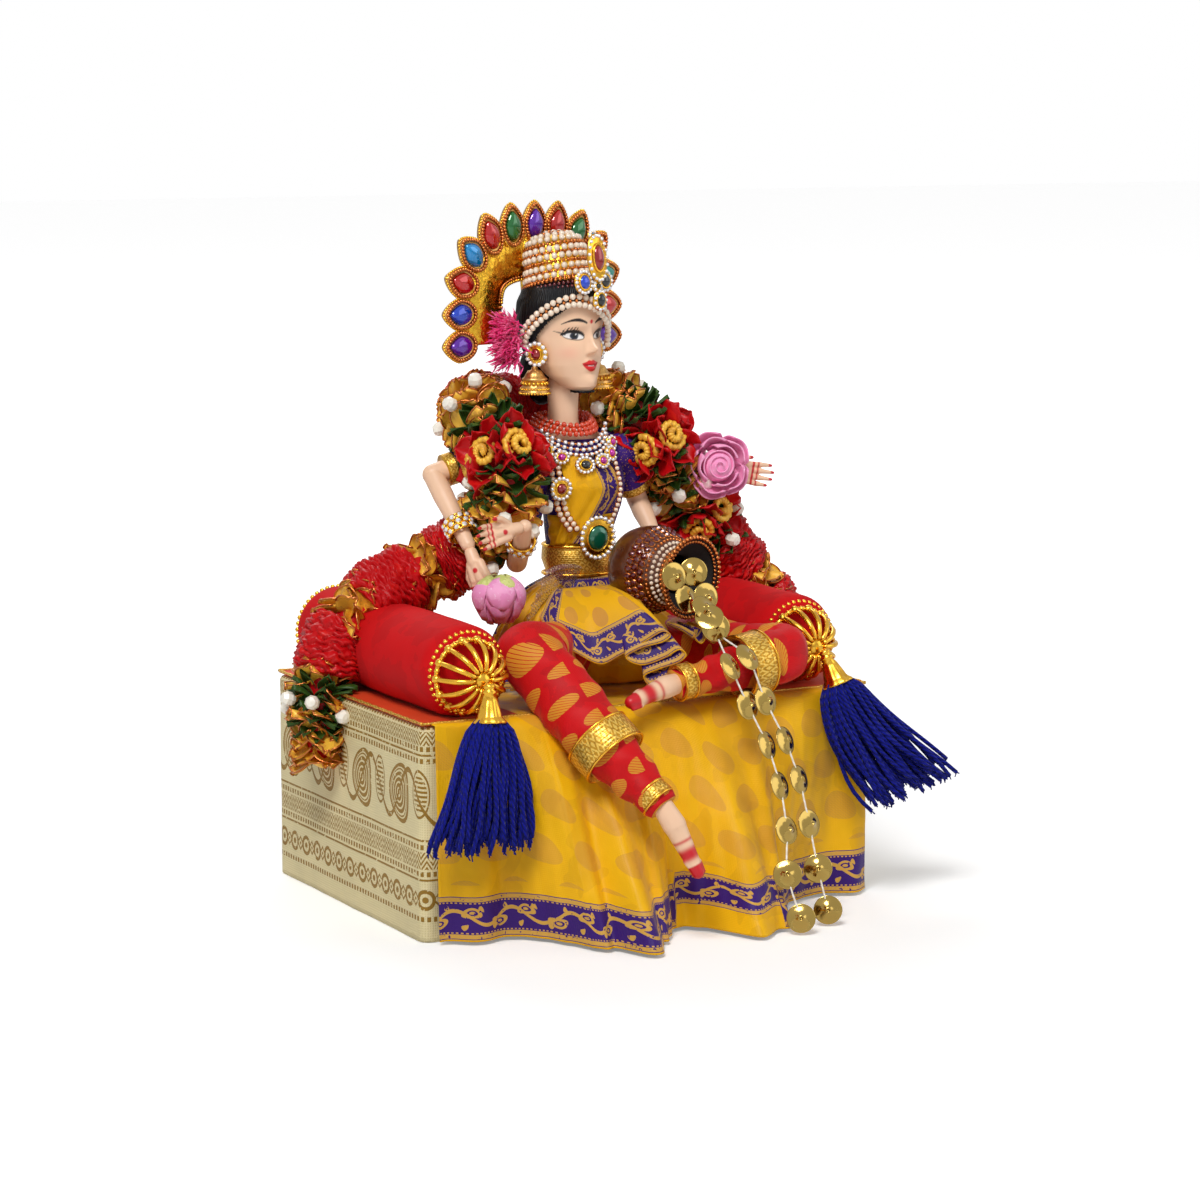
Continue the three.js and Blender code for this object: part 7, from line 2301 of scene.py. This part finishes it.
@dataclass
class CoinPot:
    """Tipped pot with stone rows and a beaded rim, its coins and the two coin strings."""

    middle: tuple[float, float, float] = (14.8, -26.5, 36.6)
    axis: tuple[float, float, float] = (0.32, -0.94, -0.06)
    radius: float = 13.4
    length: float = 29.0
    wall: float = 1.8
    rim: float = 12.8
    coin_radius: float = 4.4
    thread_radius: float = 0.3
    cluster: tuple = ((11, -48.2, 37.2), (18.4, -47, 38), (14.6, -49.4, 30.2), (20.6, -51, 30.6),
                      (18.6, -60.5, 22.6))
    leads: tuple = ((17.3, -64.4, 19.5), (19.2, -64.3, 19.8))
    right: tuple = ((15.9, -74, 12.9), (21.2, -75.5, 0.8), (26.2, -78.5, -11.3), (28.5, -82.4, -23.4),
                    (27.9, -87.5, -36), (25.4, -92.4, -48.4), (27.2, -97.4, -61))
    left: tuple = ((21.8, -74, 15.2), (27.4, -75.5, 1.6), (32.6, -78.5, -10.5), (35.5, -82, -22.2),
                   (37.1, -85.5, -35.4), (38.2, -89, -48.6), (40, -92, -61))

    def build(self) -> None:
        """Makes the pot, then its coins."""
        self.pot()
        self.loose_coins()
        facings = (vec(0.45, -0.9, 0.25), vec(0.25, -0.95, 0.3), vec(0.5, -0.85, 0.15))
        self.string("coins_string_right", "coins_right", "coin_string_right", self.right, self.leads[0],
                    facings)
        self.string("coins_string_left", "coins_left", "coin_string_left", self.left, self.leads[1],
                    facings)

    def put(self, shell: Shell) -> Shell:
        """A surface of the pot's own axis, in place."""
        axis = unit(np.array(self.axis))
        return shell.placed(seat(*self.middle) - 11.8 * axis, axis, UP)

    def profile(self, z: Points | float) -> Points:
        """Outer radius of the body at a distance from its base."""
        r = self.radius
        heights = [0, 0.4, 3.8, 7, 10, 13.5, 18.5, 22.6]
        radii = [0.05, 0.45 * r, 0.82 * r, 0.94 * r, r, r, 0.84 * r, 0.58 * r]
        return np.interp(z, heights, radii)

    def pot(self) -> None:
        """Lacquered body, flared neck, beaded rim, a near-black inside that is painted shade, and rows of
        stones and pearls.
        """
        r, w, rim, length = self.radius, self.wall, self.rim, self.length
        body = smooth_path([vec(x, 0, z) for x,
                            z in ((0.01, 0), (0.45 * r, 0.4), (0.82 * r, 3.8), (r, 10),
                                                       (r, 13.5), (0.84 * r, 18.5), (0.58 * r, 22.6))],
                           40)
        neck = smooth_path([vec(x, 0, z) for x,
                            z in ((0.58 * r, 22.6), (0.68 * r, 25.6), (rim - 0.9, 28.0),
                                                       (rim, length - 0.7), (rim - 0.2, length))], 14)
        inner = smooth_path([vec(x, 0, z) for x, z in ((rim - 0.9, length - 0.1), (0.62 * r, 25.2),
                                                        (0.58 * r - w, 22.8), (0.84 * r - w, 17.6),
                                                        (r - w, 12), (0.7 * r - w, 4), (0.01, 2))], 30)
        piece = Piece("stone_pot", "seated_doll", "lacquer", "pot")
        segments = 72

        def wall_of(line: Points) -> Shell:
            """Turned skin of one stretch of the pot's outline."""
            return weave_grid(turned(line[:, [0, 2]], segments), True)

        # The inside wall takes the near-black painted shade.
        for line, finish in ((body, LACQUER), (neck, NECK_GOLD), (inner, POT_HOLLOW_SHADE)):
            shell = wall_of(line)
            outward = finish is not POT_HOLLOW_SHADE
            radial = shell.points * LEVEL
            if (np.sum(normals_of(shell) * radial) > 0) != outward:
                shell = shell.flipped()
            piece.add(self.put(shell), finish)
        stone = lathe([(0.01, 0), (0.95, 0.1), (0.95, 0.5), (0.5, 0.9), (0.01, 0.95)], 7)
        cup = lathe([(0.01, -0.2), (1.2, -0.1), (1.25, 0.3), (0.01, 0.3)], 9)
        rows = ((14.2, "stone"), (16.0, "stone"), (17.8, "stone"), (19.4, "copper"), (20.6, "pearl"),
                (21.9, "pearl"), (23.2, "copper"))
        for z, kind in rows:
            radius = float(self.profile(z)) if z < 22.6 else 0.6 * r
            size = {"stone": 1.0, "copper": 0.62, "pearl": 0.72}[kind]
            count = int(TAU * radius / (2.35 * size))
            turn = turns(count, 0.5 * (int(z * 10) % 2))
            at = circle(radius, turn, z)
            slope = (float(self.profile(z - 0.5)) - float(self.profile(min(z + 0.5, 22.6))))
            away = unit(at * LEVEL) + vec(0, 0, max(0.0, slope))
            if kind == "stone":
                piece.add(self.put(set_on(cup, at, away)), COPPER)
                piece.add(self.put(set_on(stone, at, away)), GEMS["wine"], True)
            else:
                piece.add(self.put(set_on(ball(1), at, away, size)),
                          COPPER if kind == "copper" else PEARL)
        for radius, z, size in ((rim - 0.3, length, 0.75), (rim - 1.7, length - 0.5, 0.6)):
            count = int(TAU * radius / (2.1 * size))
            turn = turns(count)
            at = circle(radius, turn, z)
            piece.add(self.put(set_on(ball(1), at, UP, size)), COPPER)
        piece.build()

    def coin(self) -> Shell:
        """Stamped foil disc: a shallow cone with a raised rim and a hub hole's lip."""
        r = self.coin_radius
        profile = [(0.01, 1.0), (0.4, 1.05), (0.5, 1.55), (0.75, 1.6), (1.0, 1.3), (0.93 * r, 0.02),
                   (r, 0.06), (r, -0.14), (0.93 * r, -0.2), (1.0, 1.0), (0.01, 0.8)]
        return lathe(profile, 32)

    def loose_coins(self) -> None:
        """Coins that tumble from the pot's mouth."""
        piece = Piece("coins_at_mouth", "seated_doll", "coin", "coin_cluster")
        normals = (vec(0.1, -1, 0.2), vec(-0.3, -1, 0.2), vec(0.3, -1, 0.4))
        points = [seat(*p) for p in self.cluster]
        facing = np.array([normals[k % 3] for k in range(len(points))])
        piece.add(set_on(self.coin(), np.array(points), facing), COIN)
        extra = np.array([(points[2] + points[4]) / 2 + vec(0.5, -1.2, 1.5),
                          points[4] + vec(-1.6, 1.2, 3.2)])
        piece.add(set_on(self.coin(), extra, np.array([vec(0.2, -0.8, 0.6), vec(-0.4, -0.7, 0.7)])), COIN)
        piece.build()

    def string(self, name: str, body: str, node_name: str, points: tuple, lead: tuple,
               facings: tuple) -> None:
        """Coins on a thread that hangs from the cluster."""
        piece = Piece(name, body, "coin", node_name)
        at = np.array([seat(*p) for p in points])
        along = unit(np.gradient(np.vstack([seat(*lead), at]), axis=0))[1:]
        facing = []
        for k in range(len(at)):
            normal = facings[k % 3]
            if k >= len(at) - 2:
                normal = vec(-0.5, -1, 0.05)
            facing.append(unit(normal - along[k] * (normal @ along[k])))
        piece.add(set_on(self.coin(), at, np.array(facing)), COIN)
        piece.build()
        line = smooth_path([seat(*lead), *at], 60)
        thread = Piece(f"thread_of_{name}", body, "coin").add(tube(line, self.thread_radius, 8),
                                                              THREAD).build()


@dataclass
class Flowers:
    """The lotus bud and the foam rose in the rear hands."""

    lotus_at: tuple[float, float, float] = (-35.6, -21, 35.6)
    rose_at: tuple[float, float, float] = (51, -3.4, 65.2)
    rose_facing: tuple[float, float, float] = (-0.3, -1, 0.05)

    def build(self) -> None:
        """Makes both flowers."""
        self.lotus()
        self.rose()

    def ring(self, piece: Piece, place: Points, facing: Points, petals: list, finish: Finish, seed: int,
             point: float = 0.6) -> None:
        """Adds rings of petals about an axis: count, radius, length, width, lean, curl for each."""
        rng = np.random.default_rng(seed)
        axes = basis(facing)
        for count, radius, length, width, lean, curl in petals:
            shell = petal(length, width, width * 0.2, curl, point)
            spots = []
            for k in range(count):
                turn = (k + 0.5 * (count % 2)) / count * TAU + rng.uniform(-0.12, 0.12)
                out = spoke(turn)
                up = unit(UP + out * lean)
                spots.append(Place(place + axes @ (out * radius), axes @ petal_axes(out, up), WHOLE))
            piece.add(scatter(shell, spots), finish)

    def lotus(self) -> None:
        """Hanging lotus bud: glittering pink petals under pale sepals."""
        piece = Piece("lotus_petals", "palm_rear_right", "foam_pink", "lotus_bud")
        base, facing = seat(*self.lotus_at), vec(0, -0.12, -1)
        core = lathe([(0.01, 0), (2.6, 0.6), (5.6, 4), (6.0, 7.5), (3.8, 11), (0.01, 12)], 20)
        piece.add(core.placed(base, facing), LOTUS)
        petals = [(5, 2.2, 12.8, 8.4, 0.3, -4.2), (5, 2.6, 11.8, 9.2, 0.42, -4.2),
                  (5, 3.0, 9.8, 9.4, 0.6, -3.4)]
        self.ring(piece, base, facing, petals, LOTUS, 61)
        self.ring(piece, base + vec(0, 0, 0.8), facing, [(4, 1.6, 8.6, 7.4, 1.1, -2.2)], SEPAL, 62)
        piece.build(0.35)

    def rose(self) -> None:
        """Foam rose: petals wound round a tight middle."""
        piece = Piece("foam_rose", "palm_rear_left", "foam_pink", "rose")
        base, facing = seat(*self.rose_at), np.array(self.rose_facing)
        core = lathe([(0.01, 0), (4.2, 0.6), (5.2, 4), (3.6, 7.4), (0.01, 8)], 20)
        piece.add(core.placed(base, facing), ROSE)
        wound = np.linspace(0, 1, 70)
        angle = wound * TAU * 2.6
        radius = 0.7 + 4.2 * wound
        spiral = np.stack([radius * np.cos(angle), radius * np.sin(angle)], 1)
        rise = np.linspace(0, 1, 6)
        grid = np.array([[vec(x * (1 + 0.12 * t * t), y * (1 + 0.12 * t * t), 3.5 + t * (5.6 - 1.6 * s))
                          for (x, y), s in zip(spiral, wound)] for t in rise])
        piece.add(weave_grid(grid).placed(base, facing), ROSE)
        petals = [(3, 2.6, 8.0, 9.6, 0.12, 0.3), (5, 3.4, 7.6, 10.2, 0.3, 0.9),
                  (5, 3.8, 6.8, 11.4, 0.55, 1.5)]
        self.ring(piece, base, facing, petals, ROSE, 63, 0.12)
        piece.build(0.4)


class Stretch(Enum):
    """What a stretch of garland is made of."""

    RED = "red"
    GOLD = "gold"
    GOLD_BEADS = "gold_beads"
    GREEN = "green"
    GREEN_BEADS = "green_beads"
    ROSES = "roses"


@dataclass
class Garland:
    """Ribbon garland: gathered red satin, gold tissue loops, folded leaves, ribbon roses and white beads."""

    name: str
    path: tuple
    stretches: tuple
    fullness: float = 1.0
    radius: float = 11.6
    seed: int = 70
    clear: tuple = ()

    def build(self) -> None:
        """Makes the core and lays each stretch over it in order."""
        rng = np.random.default_rng(self.seed)
        line = smooth_path([seat(*p) for p in self.path], 400)
        piece = Piece(f"ribbon_garland_{self.name}", "seated_doll", "ribbon", f"garland_{self.name}")
        t = np.linspace(0, 1, 401)
        full = self.fullness * self.radius * (1 - 0.2 * np.abs(2 * t - 1) ** 3)
        piece.add(tube(line[::8], full[::8] * 0.5, 14), RIBBON)
        total = sum(length for _, length in self.stretches)
        at = 0.0
        extras = Piece(f"garland_flowers_{self.name}", "seated_doll", "ribbon")
        for kind, length in self.stretches:
            low, high = int(at / total * 400), int((at + length) / total * 400)
            at += length
            span = slice(low, min(high, 400) + 1)
            self.lay(piece, extras, kind, line[span], full[span], rng)
        piece.build(0.22)
        extras.build()

    def lay(self, piece: Piece, extras: Piece, kind: Stretch, line: Points, full: Points,
            rng: np.random.Generator) -> None:
        """Lays one stretch.

        Args:
            piece: the garland's ribbons.
            extras: beads and roses.
            kind: what the stretch is made of.
            line: its part of the middle line.
            full: radius along it.
            rng: source of variation.
        """
        length = path_length(line)
        if kind is Stretch.RED:
            self.satin(piece, line, full, rng)
        elif kind in (Stretch.GOLD, Stretch.GOLD_BEADS):
            rings = max(2, round(length / 2.6))
            for k in range(rings):
                self.loops(piece, TISSUE, line, full, (k + 0.5) / rings, 9, (9.6, 10.4), rng, 0.7, True)
        elif kind in (Stretch.GREEN, Stretch.GREEN_BEADS):
            rings = max(2, round(length / 1.9))
            for k in range(rings):
                self.loops(piece, LEAF, line, full, (k + 0.5) / rings, 14, (9.8, 6.0), rng, 0.6, False)
        else:
            for share in (0.04, 0.96):
                self.loops(piece, LEAF, line, full, share, 13, (9.0, 5.0), rng, 0.4, False)
            self.roses(extras, line, full, rng)
        if kind in (Stretch.GOLD_BEADS, Stretch.GREEN_BEADS):
            self.beads(extras, line, full, rng)

    def axes_at(self, line: Points, k: int) -> Points:
        """Axes as columns at one point of a line, with the third along it."""
        return basis(unit(line[min(k + 1, len(line) - 1)] - line[k - 1]), UP)

    def satin(self, piece: Piece, line: Points, full: Points, rng: np.random.Generator) -> None:
        """Satin gathered into thin wavy pleats that run round the garland."""
        length = path_length(line)
        rows, columns = max(10, int(length / 0.3)), 96
        path = smooth_path(list(line[:: max(1, len(line) // 10)]) + [line[-1]], rows - 1)
        _, normal, side = frames_along(path, UP)
        s = np.linspace(0, length, rows)[:, None]
        turn = turns(columns)[None, :]
        p = rng.uniform(0, TAU, 4)
        wobble = 1.0 * np.sin(turn * 2 + p[0] + s * 0.2) + 0.7 * np.sin(turn * 5 + p[1] - s * 0.33)
        wobble = wobble + 0.45 * np.sin(turn * 11 + p[2] + s * 0.8) + 0.25 * np.sin(turn * 23 + p[3] - s)
        fold = ((s + wobble) / 2.05) % 1
        ridge = np.where(fold < 0.66, fold / 0.66, (1 - fold) / 0.34) ** 0.8
        ends = np.clip(np.minimum(s, length - s) / 2.4, 0, 1) ** 0.5
        size = np.interp(np.linspace(0, 1, rows), np.linspace(0, 1, len(full)), full)[:, None]
        lump = 0.03 * np.sin(turn * 4 + p[1] + s * 0.5) + 0.03 * np.sin(turn * 7 - p[2] - s * 0.35)
        radius = size * (0.7 + 0.18 * ends + lump) + 2.0 * ridge
        grid = path[:, None] + radius[..., None] * (normal[:, None] * np.cos(turn)[..., None]
                                                    + side[:, None] * np.sin(turn)[..., None])
        piece.add(facing_out(weave_grid(grid, True)), RIBBON)

    def loops(self, piece: Piece, finish: Finish, line: Points, full: Points, share: float, count: int,
              size: tuple[float, float], rng: np.random.Generator, lean: float, wired: bool) -> None:
        """One ring of ribbon loops or leaves that stand out of the garland.

        Args:
            piece: the garland's ribbons.
            finish: the ribbon.
            line: middle line of the stretch.
            full: radius along it.
            share: where the ring sits along the stretch.
            count: loops in the ring.
            size: length and width of a loop.
            rng: source of variation.
            lean: how far the loops tip along the garland.
            wired: whether a copper wire edges them.
        """
        k = int(np.clip(share * (len(line) - 1), 1, len(line) - 2))
        axes = self.axes_at(line, k)
        variants = 3
        spots: list[list[Place]] = [[] for _ in range(variants)]
        for n in range(count):
            a = (n + rng.uniform(-0.3, 0.3)) / count * TAU
            tip = lean * (1 if (n % 2) else -1) + rng.uniform(-0.35, 0.35)
            out = spoke(a)
            up = unit(out + vec(0, 0, tip) + np.cross(UP, out) * rng.uniform(-0.4, 0.4))
            flat = unit(UP * (1 if tip > 0 else -1) - up * (up[2] * (1 if tip > 0 else -1)))
            local = np.stack([flat, np.cross(up, flat), up], 1)
            reach = full[k] * 1.12 - size[0] * 0.86
            stretch = vec(1, rng.uniform(0.8, 1.15), rng.uniform(0.88, 1.04))
            spots[n % variants].append(Place(line[k] + axes @ (out * max(1.0, reach)), axes @ local,
                                             stretch))
        for places in spots:
            if wired:
                shell = petal(size[0], size[1], rng.uniform(0.6, 1.6), rng.uniform(-1.6, 1.6), 0.45,
                              rng.uniform(0.5, 1.0))
            else:
                shell = petal(size[0], size[1], rng.uniform(0.8, 1.5), rng.uniform(-1.0, 1.0), 1.0, 0.25)
            piece.add(scatter(shell, places), finish)
            if wired:
                grid = shell.points.reshape(12, 11, 3)
                edge = np.vstack([grid[4:, 0], grid[-1, 1:], grid[-2:3:-1, -1]])
                piece.add(scatter(tube(edge, 0.2, 4), places), COPPER)

    def beads(self, extras: Piece, line: Points, full: Points, rng: np.random.Generator) -> None:
        """White faceted beads round a stretch."""
        k = len(line) // 2
        axes = self.axes_at(line, k)
        count = 7
        turn = turns(count, rng.uniform(0, 1))
        shift = np.where(np.arange(count) % 2 == 0, -1.8, 1.8)
        radius = full[k] * 1.1
        at = np.stack([radius * np.cos(turn), radius * np.sin(turn), shift], 1) @ axes.T + line[k]
        bead = lathe([(0.01, -1.15), (0.75, -1.0), (1.12, -0.4), (1.12, 0.4), (0.75, 1.0), (0.01, 1.15)],
                     8)
        away = unit(at - line[k])
        free = np.all([np.linalg.norm(at - place, axis=1) > reach for place, reach in self.clear], axis=0)
        extras.add(set_on(bead.scaled(2.05, 2.05, 2.05), at[free], away[free]), WAX, True)

    def roses(self, extras: Piece, line: Points, full: Points, rng: np.random.Generator) -> None:
        """Ribbon roses side by side: red satin folds round a spiral of twisted gold cord."""
        k = len(line) // 2
        axes = self.axes_at(line, k)
        steps = 90
        wound = np.linspace(0, 1, steps)
        angle = wound * TAU * 1.7
        radius = 0.8 + 4.1 * wound
        spiral = np.stack([radius * np.cos(angle), radius * np.sin(angle), 3.6 - 2.2 * wound], 1)
        cord = tube(spiral, 1.15 + 0.2 * np.cos(np.arange(steps) * 1.7), 8)
        folds = [petal(7.6, 9.8, 1.9, 2.2, 0.35, 0.35), petal(6.4, 7.6, 2.1, 1.4, 0.4, 0.3)]
        rows = 1 if path_length(line) < 16 else 2
        for row in range(rows):
            count = 6
            turn = (np.arange(count) + 0.5 * row + rng.uniform(0, 0.3)) / count * TAU
            shift = (row - (rows - 1) / 2) * 9.4
            spots = []
            for a in turn:
                out = spoke(a)
                facing = axes @ unit(out + rng.normal(size=3) * 0.16)
                at = line[k] + axes @ (out * full[k] * 0.78 + vec(0, 0, shift))
                spin = rng.uniform(0, TAU)
                spots.append(Place(at, basis(facing) @ basis(UP, spoke(spin)), WHOLE))
            extras.add(scatter(cord, spots), TISSUE)
            for shell, number, out_by, lean in ((folds[0], 4, 3.4, 0.7), (folds[1], 3, 2.0, 0.25)):
                leaves = []
                for spot in spots:
                    for n in range(number):
                        b = (n + 0.3) / number * TAU
                        out = spoke(b)
                        up = unit(UP + out * lean)
                        at = spot.at + spot.axes @ (out * out_by - vec(0, 0, 1.6))
                        leaves.append(Place(at, spot.axes @ petal_axes(out, up), WHOLE))
                extras.add(scatter(thick_sheet(shell, 0.25), leaves), RIBBON)


def petal_axes(out: Points, up: Points) -> Points:
    """Axes of a petal as columns: outward, sideways and up along it."""
    flat = unit(out - up * (out @ up))
    return np.stack([flat, np.cross(up, flat), up], 1)


def petal(length: float, width: float, cup: float, curl: float, point: float = 0.6,
          wave: float = 0.0) -> Shell:
    """A petal that rises along +Z from its root, its inside towards -X.

    Args:
        length: root to tip.
        width: widest across.
        cup: bow of its cross section.
        curl: how far its tip turns outward.
        point: how pointed it is, from nought.
        wave: depth of the waves in its edge.

    Returns:
        The petal.
    """
    t, s = np.meshgrid(np.linspace(0, 1, 12), np.linspace(-1, 1, 11), indexing="ij")
    half = width / 2 * np.sin(np.pi * np.clip(0.12 + 0.86 * t, 0, 1)) ** point
    x = cup * (1 - s * s) + cup * 0.8 * np.sin(t * 2.6) + curl * t ** 3 + wave * t * np.sin(s * 5.5
                                                                                            + length)
    grid = np.stack([x, s * half, t * length + wave * 0.6 * t * np.cos(s * 4)], -1)
    return weave_grid(grid)


def thick_sheet(shell: Shell, thickness: float) -> Shell:
    """A sheet with a back, so that it keeps its thickness when copied."""
    back = shell.points - normals_of(shell) * thickness
    n = len(shell.points)
    quads = np.vstack([shell.quads, shell.quads[:, ::-1] + n])
    edges: dict[tuple[int, int], tuple[int, int]] = {}
    for q in shell.quads:
        for a, b in zip(q, np.roll(q, -1)):
            key = (min(a, b), max(a, b))
            if key in edges:
                del edges[key]
            else:
                edges[key] = (a, b)
    sides = np.array([[b, a, a + n, b + n] for a, b in edges.values()])
    return Shell(np.vstack([shell.points, back]), np.vstack([quads, sides]))


def main() -> None:
    """Builds the studio, then every part of the doll from the seat up."""
    logging.basicConfig(level=logging.INFO, format="%(name)s %(message)s")
    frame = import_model()
    Studio().build()
    Seat().build(frame)
    Bolster("right", -1, -50.0, (-0.06, -0.14, -1), -0.1).build()
    Bolster("left", 1, -44.0, (0.3, -0.32, -1), 0.3).build()
    Torso().build()
    Leg("right", ((2, -3, 75.9), (-38, -48, 82.5), (-27, -74, 58.6), (-16.5, -91, 42.1)),
        ((-14.2, -93.5, 37.1), (-8.5, -97.5, 23.1)), (9.2, 10.8, 9.6, 4.9), (0.6, 10.6)).build()
    Leg("left", ((24, -3, 76.1), (43, -59, 78.1), (24, -61.5, 75.7), (3, -63.5, 73.1)),
        ((-1.5, -64.5, 72.5), (-14, -66.5, 69.3)), (9.4, 9.4, 6.6, 4.8), (0.32, 9.8)).build()
    rear_right = Arm("rear_right", ((-12, 10.5, 139.1), (-41.6, 12, 131.4), (-39.3, -8, 111.5)), 0.86,
                     (2.5, -10, -17.5), (0.75, 0.5, -0.2), 3.5, False, ("upper_arm_rear_right",),
                     lower=("lower_arm_rear_right", "forearm_rear_right"), hand_body="palm_rear_right",
                     bangles=(0.76, 3, 3.8))
    front_right = Arm("front_right", ((-11.5, 1, 136.1), (-21, -5, 104.6), (-26.5, -21.5, 117.9)), 0.8,
                      (-16, -3.4, -2), (-0.15, -1, 0.1), 3, True, ("arm_front_right",),
                      hand_body="palm_front_right", bangles=(0.55, 2, 3.7))
    rear_left = Arm("rear_left", ((19, 10.8, 139.1), (38, 19, 134.1), (51.5, -0.6, 130.3)), 0.7,
                    (16, -6, -3), (0.4, 0.9, 0), 1.5, True, ("arm_rear_left",),
                    hand_body="palm_rear_left")
    front_left = Arm("front_left", ((19.5, 1.8, 136.1), (27.5, 5, 120.1), (27.5, -5.5, 110.1)), 0.75,
                     (-6, -4.5, -8), (-0.6, -0.8, 0), -0.5, False, ("arm_front_left",))
    arms = [rear_right, front_right, rear_left, front_left]
    Dress().build(arms)
    for arm in arms:
        arm.build()
    head = Head()
    head.build()
    Jewels().build(head)
    CoinPot().build()
    Flowers().build()
    s = Stretch
    Garland("right", ((-0.8, 31.4, 83), (-15, 27, 84), (-26, 14, 84), (-25.5, -4, 73), (-25, -7, 60),
                      (-29, 5, 45), (-38, 12, 37.5), (-52, 13, 32), (-66, 12.5, 24), (-77, 12, 10),
                      (-81, 11, -6), (-81, 11, -20)),
            ((s.RED, 30), (s.GOLD_BEADS, 17), (s.GREEN, 6), (s.ROSES, 13), (s.GREEN, 4),
             (s.GOLD_BEADS, 11), (s.GREEN, 5), (s.GOLD_BEADS, 10), (s.RED, 16), (s.GOLD, 8), (s.RED, 20),
             (s.GOLD, 9), (s.RED, 17), (s.GOLD, 6), (s.GREEN_BEADS, 9), (s.GOLD, 12)),
            clear=((vec(-39.9, -3.2, 116.3), 12.5), (head.bell(-1), 10.0))).build()
    Garland("left", ((0.8, 31.4, 83), (15, 26, 84), (24, 9, 84), (30, 1.5, 74), (42, 6, 58), (54, 9, 45),
                     (66, 11, 32), (77, 10, 19), (82.5, 9, 6), (84, 9, -8), (84, 9, -20)),
            ((s.RED, 26), (s.GOLD_BEADS, 12), (s.GREEN, 6), (s.ROSES, 12), (s.GREEN, 5),
             (s.GOLD_BEADS, 12), (s.GREEN, 5), (s.ROSES, 10), (s.GREEN_BEADS, 6), (s.RED, 18),
             (s.GOLD, 8), (s.RED, 18), (s.GOLD, 7), (s.GREEN_BEADS, 8), (s.GOLD, 10)),
            fullness=0.92, seed=80, clear=((head.bell(1), 10.0),)).build()


if __name__ == "__main__":
    main()
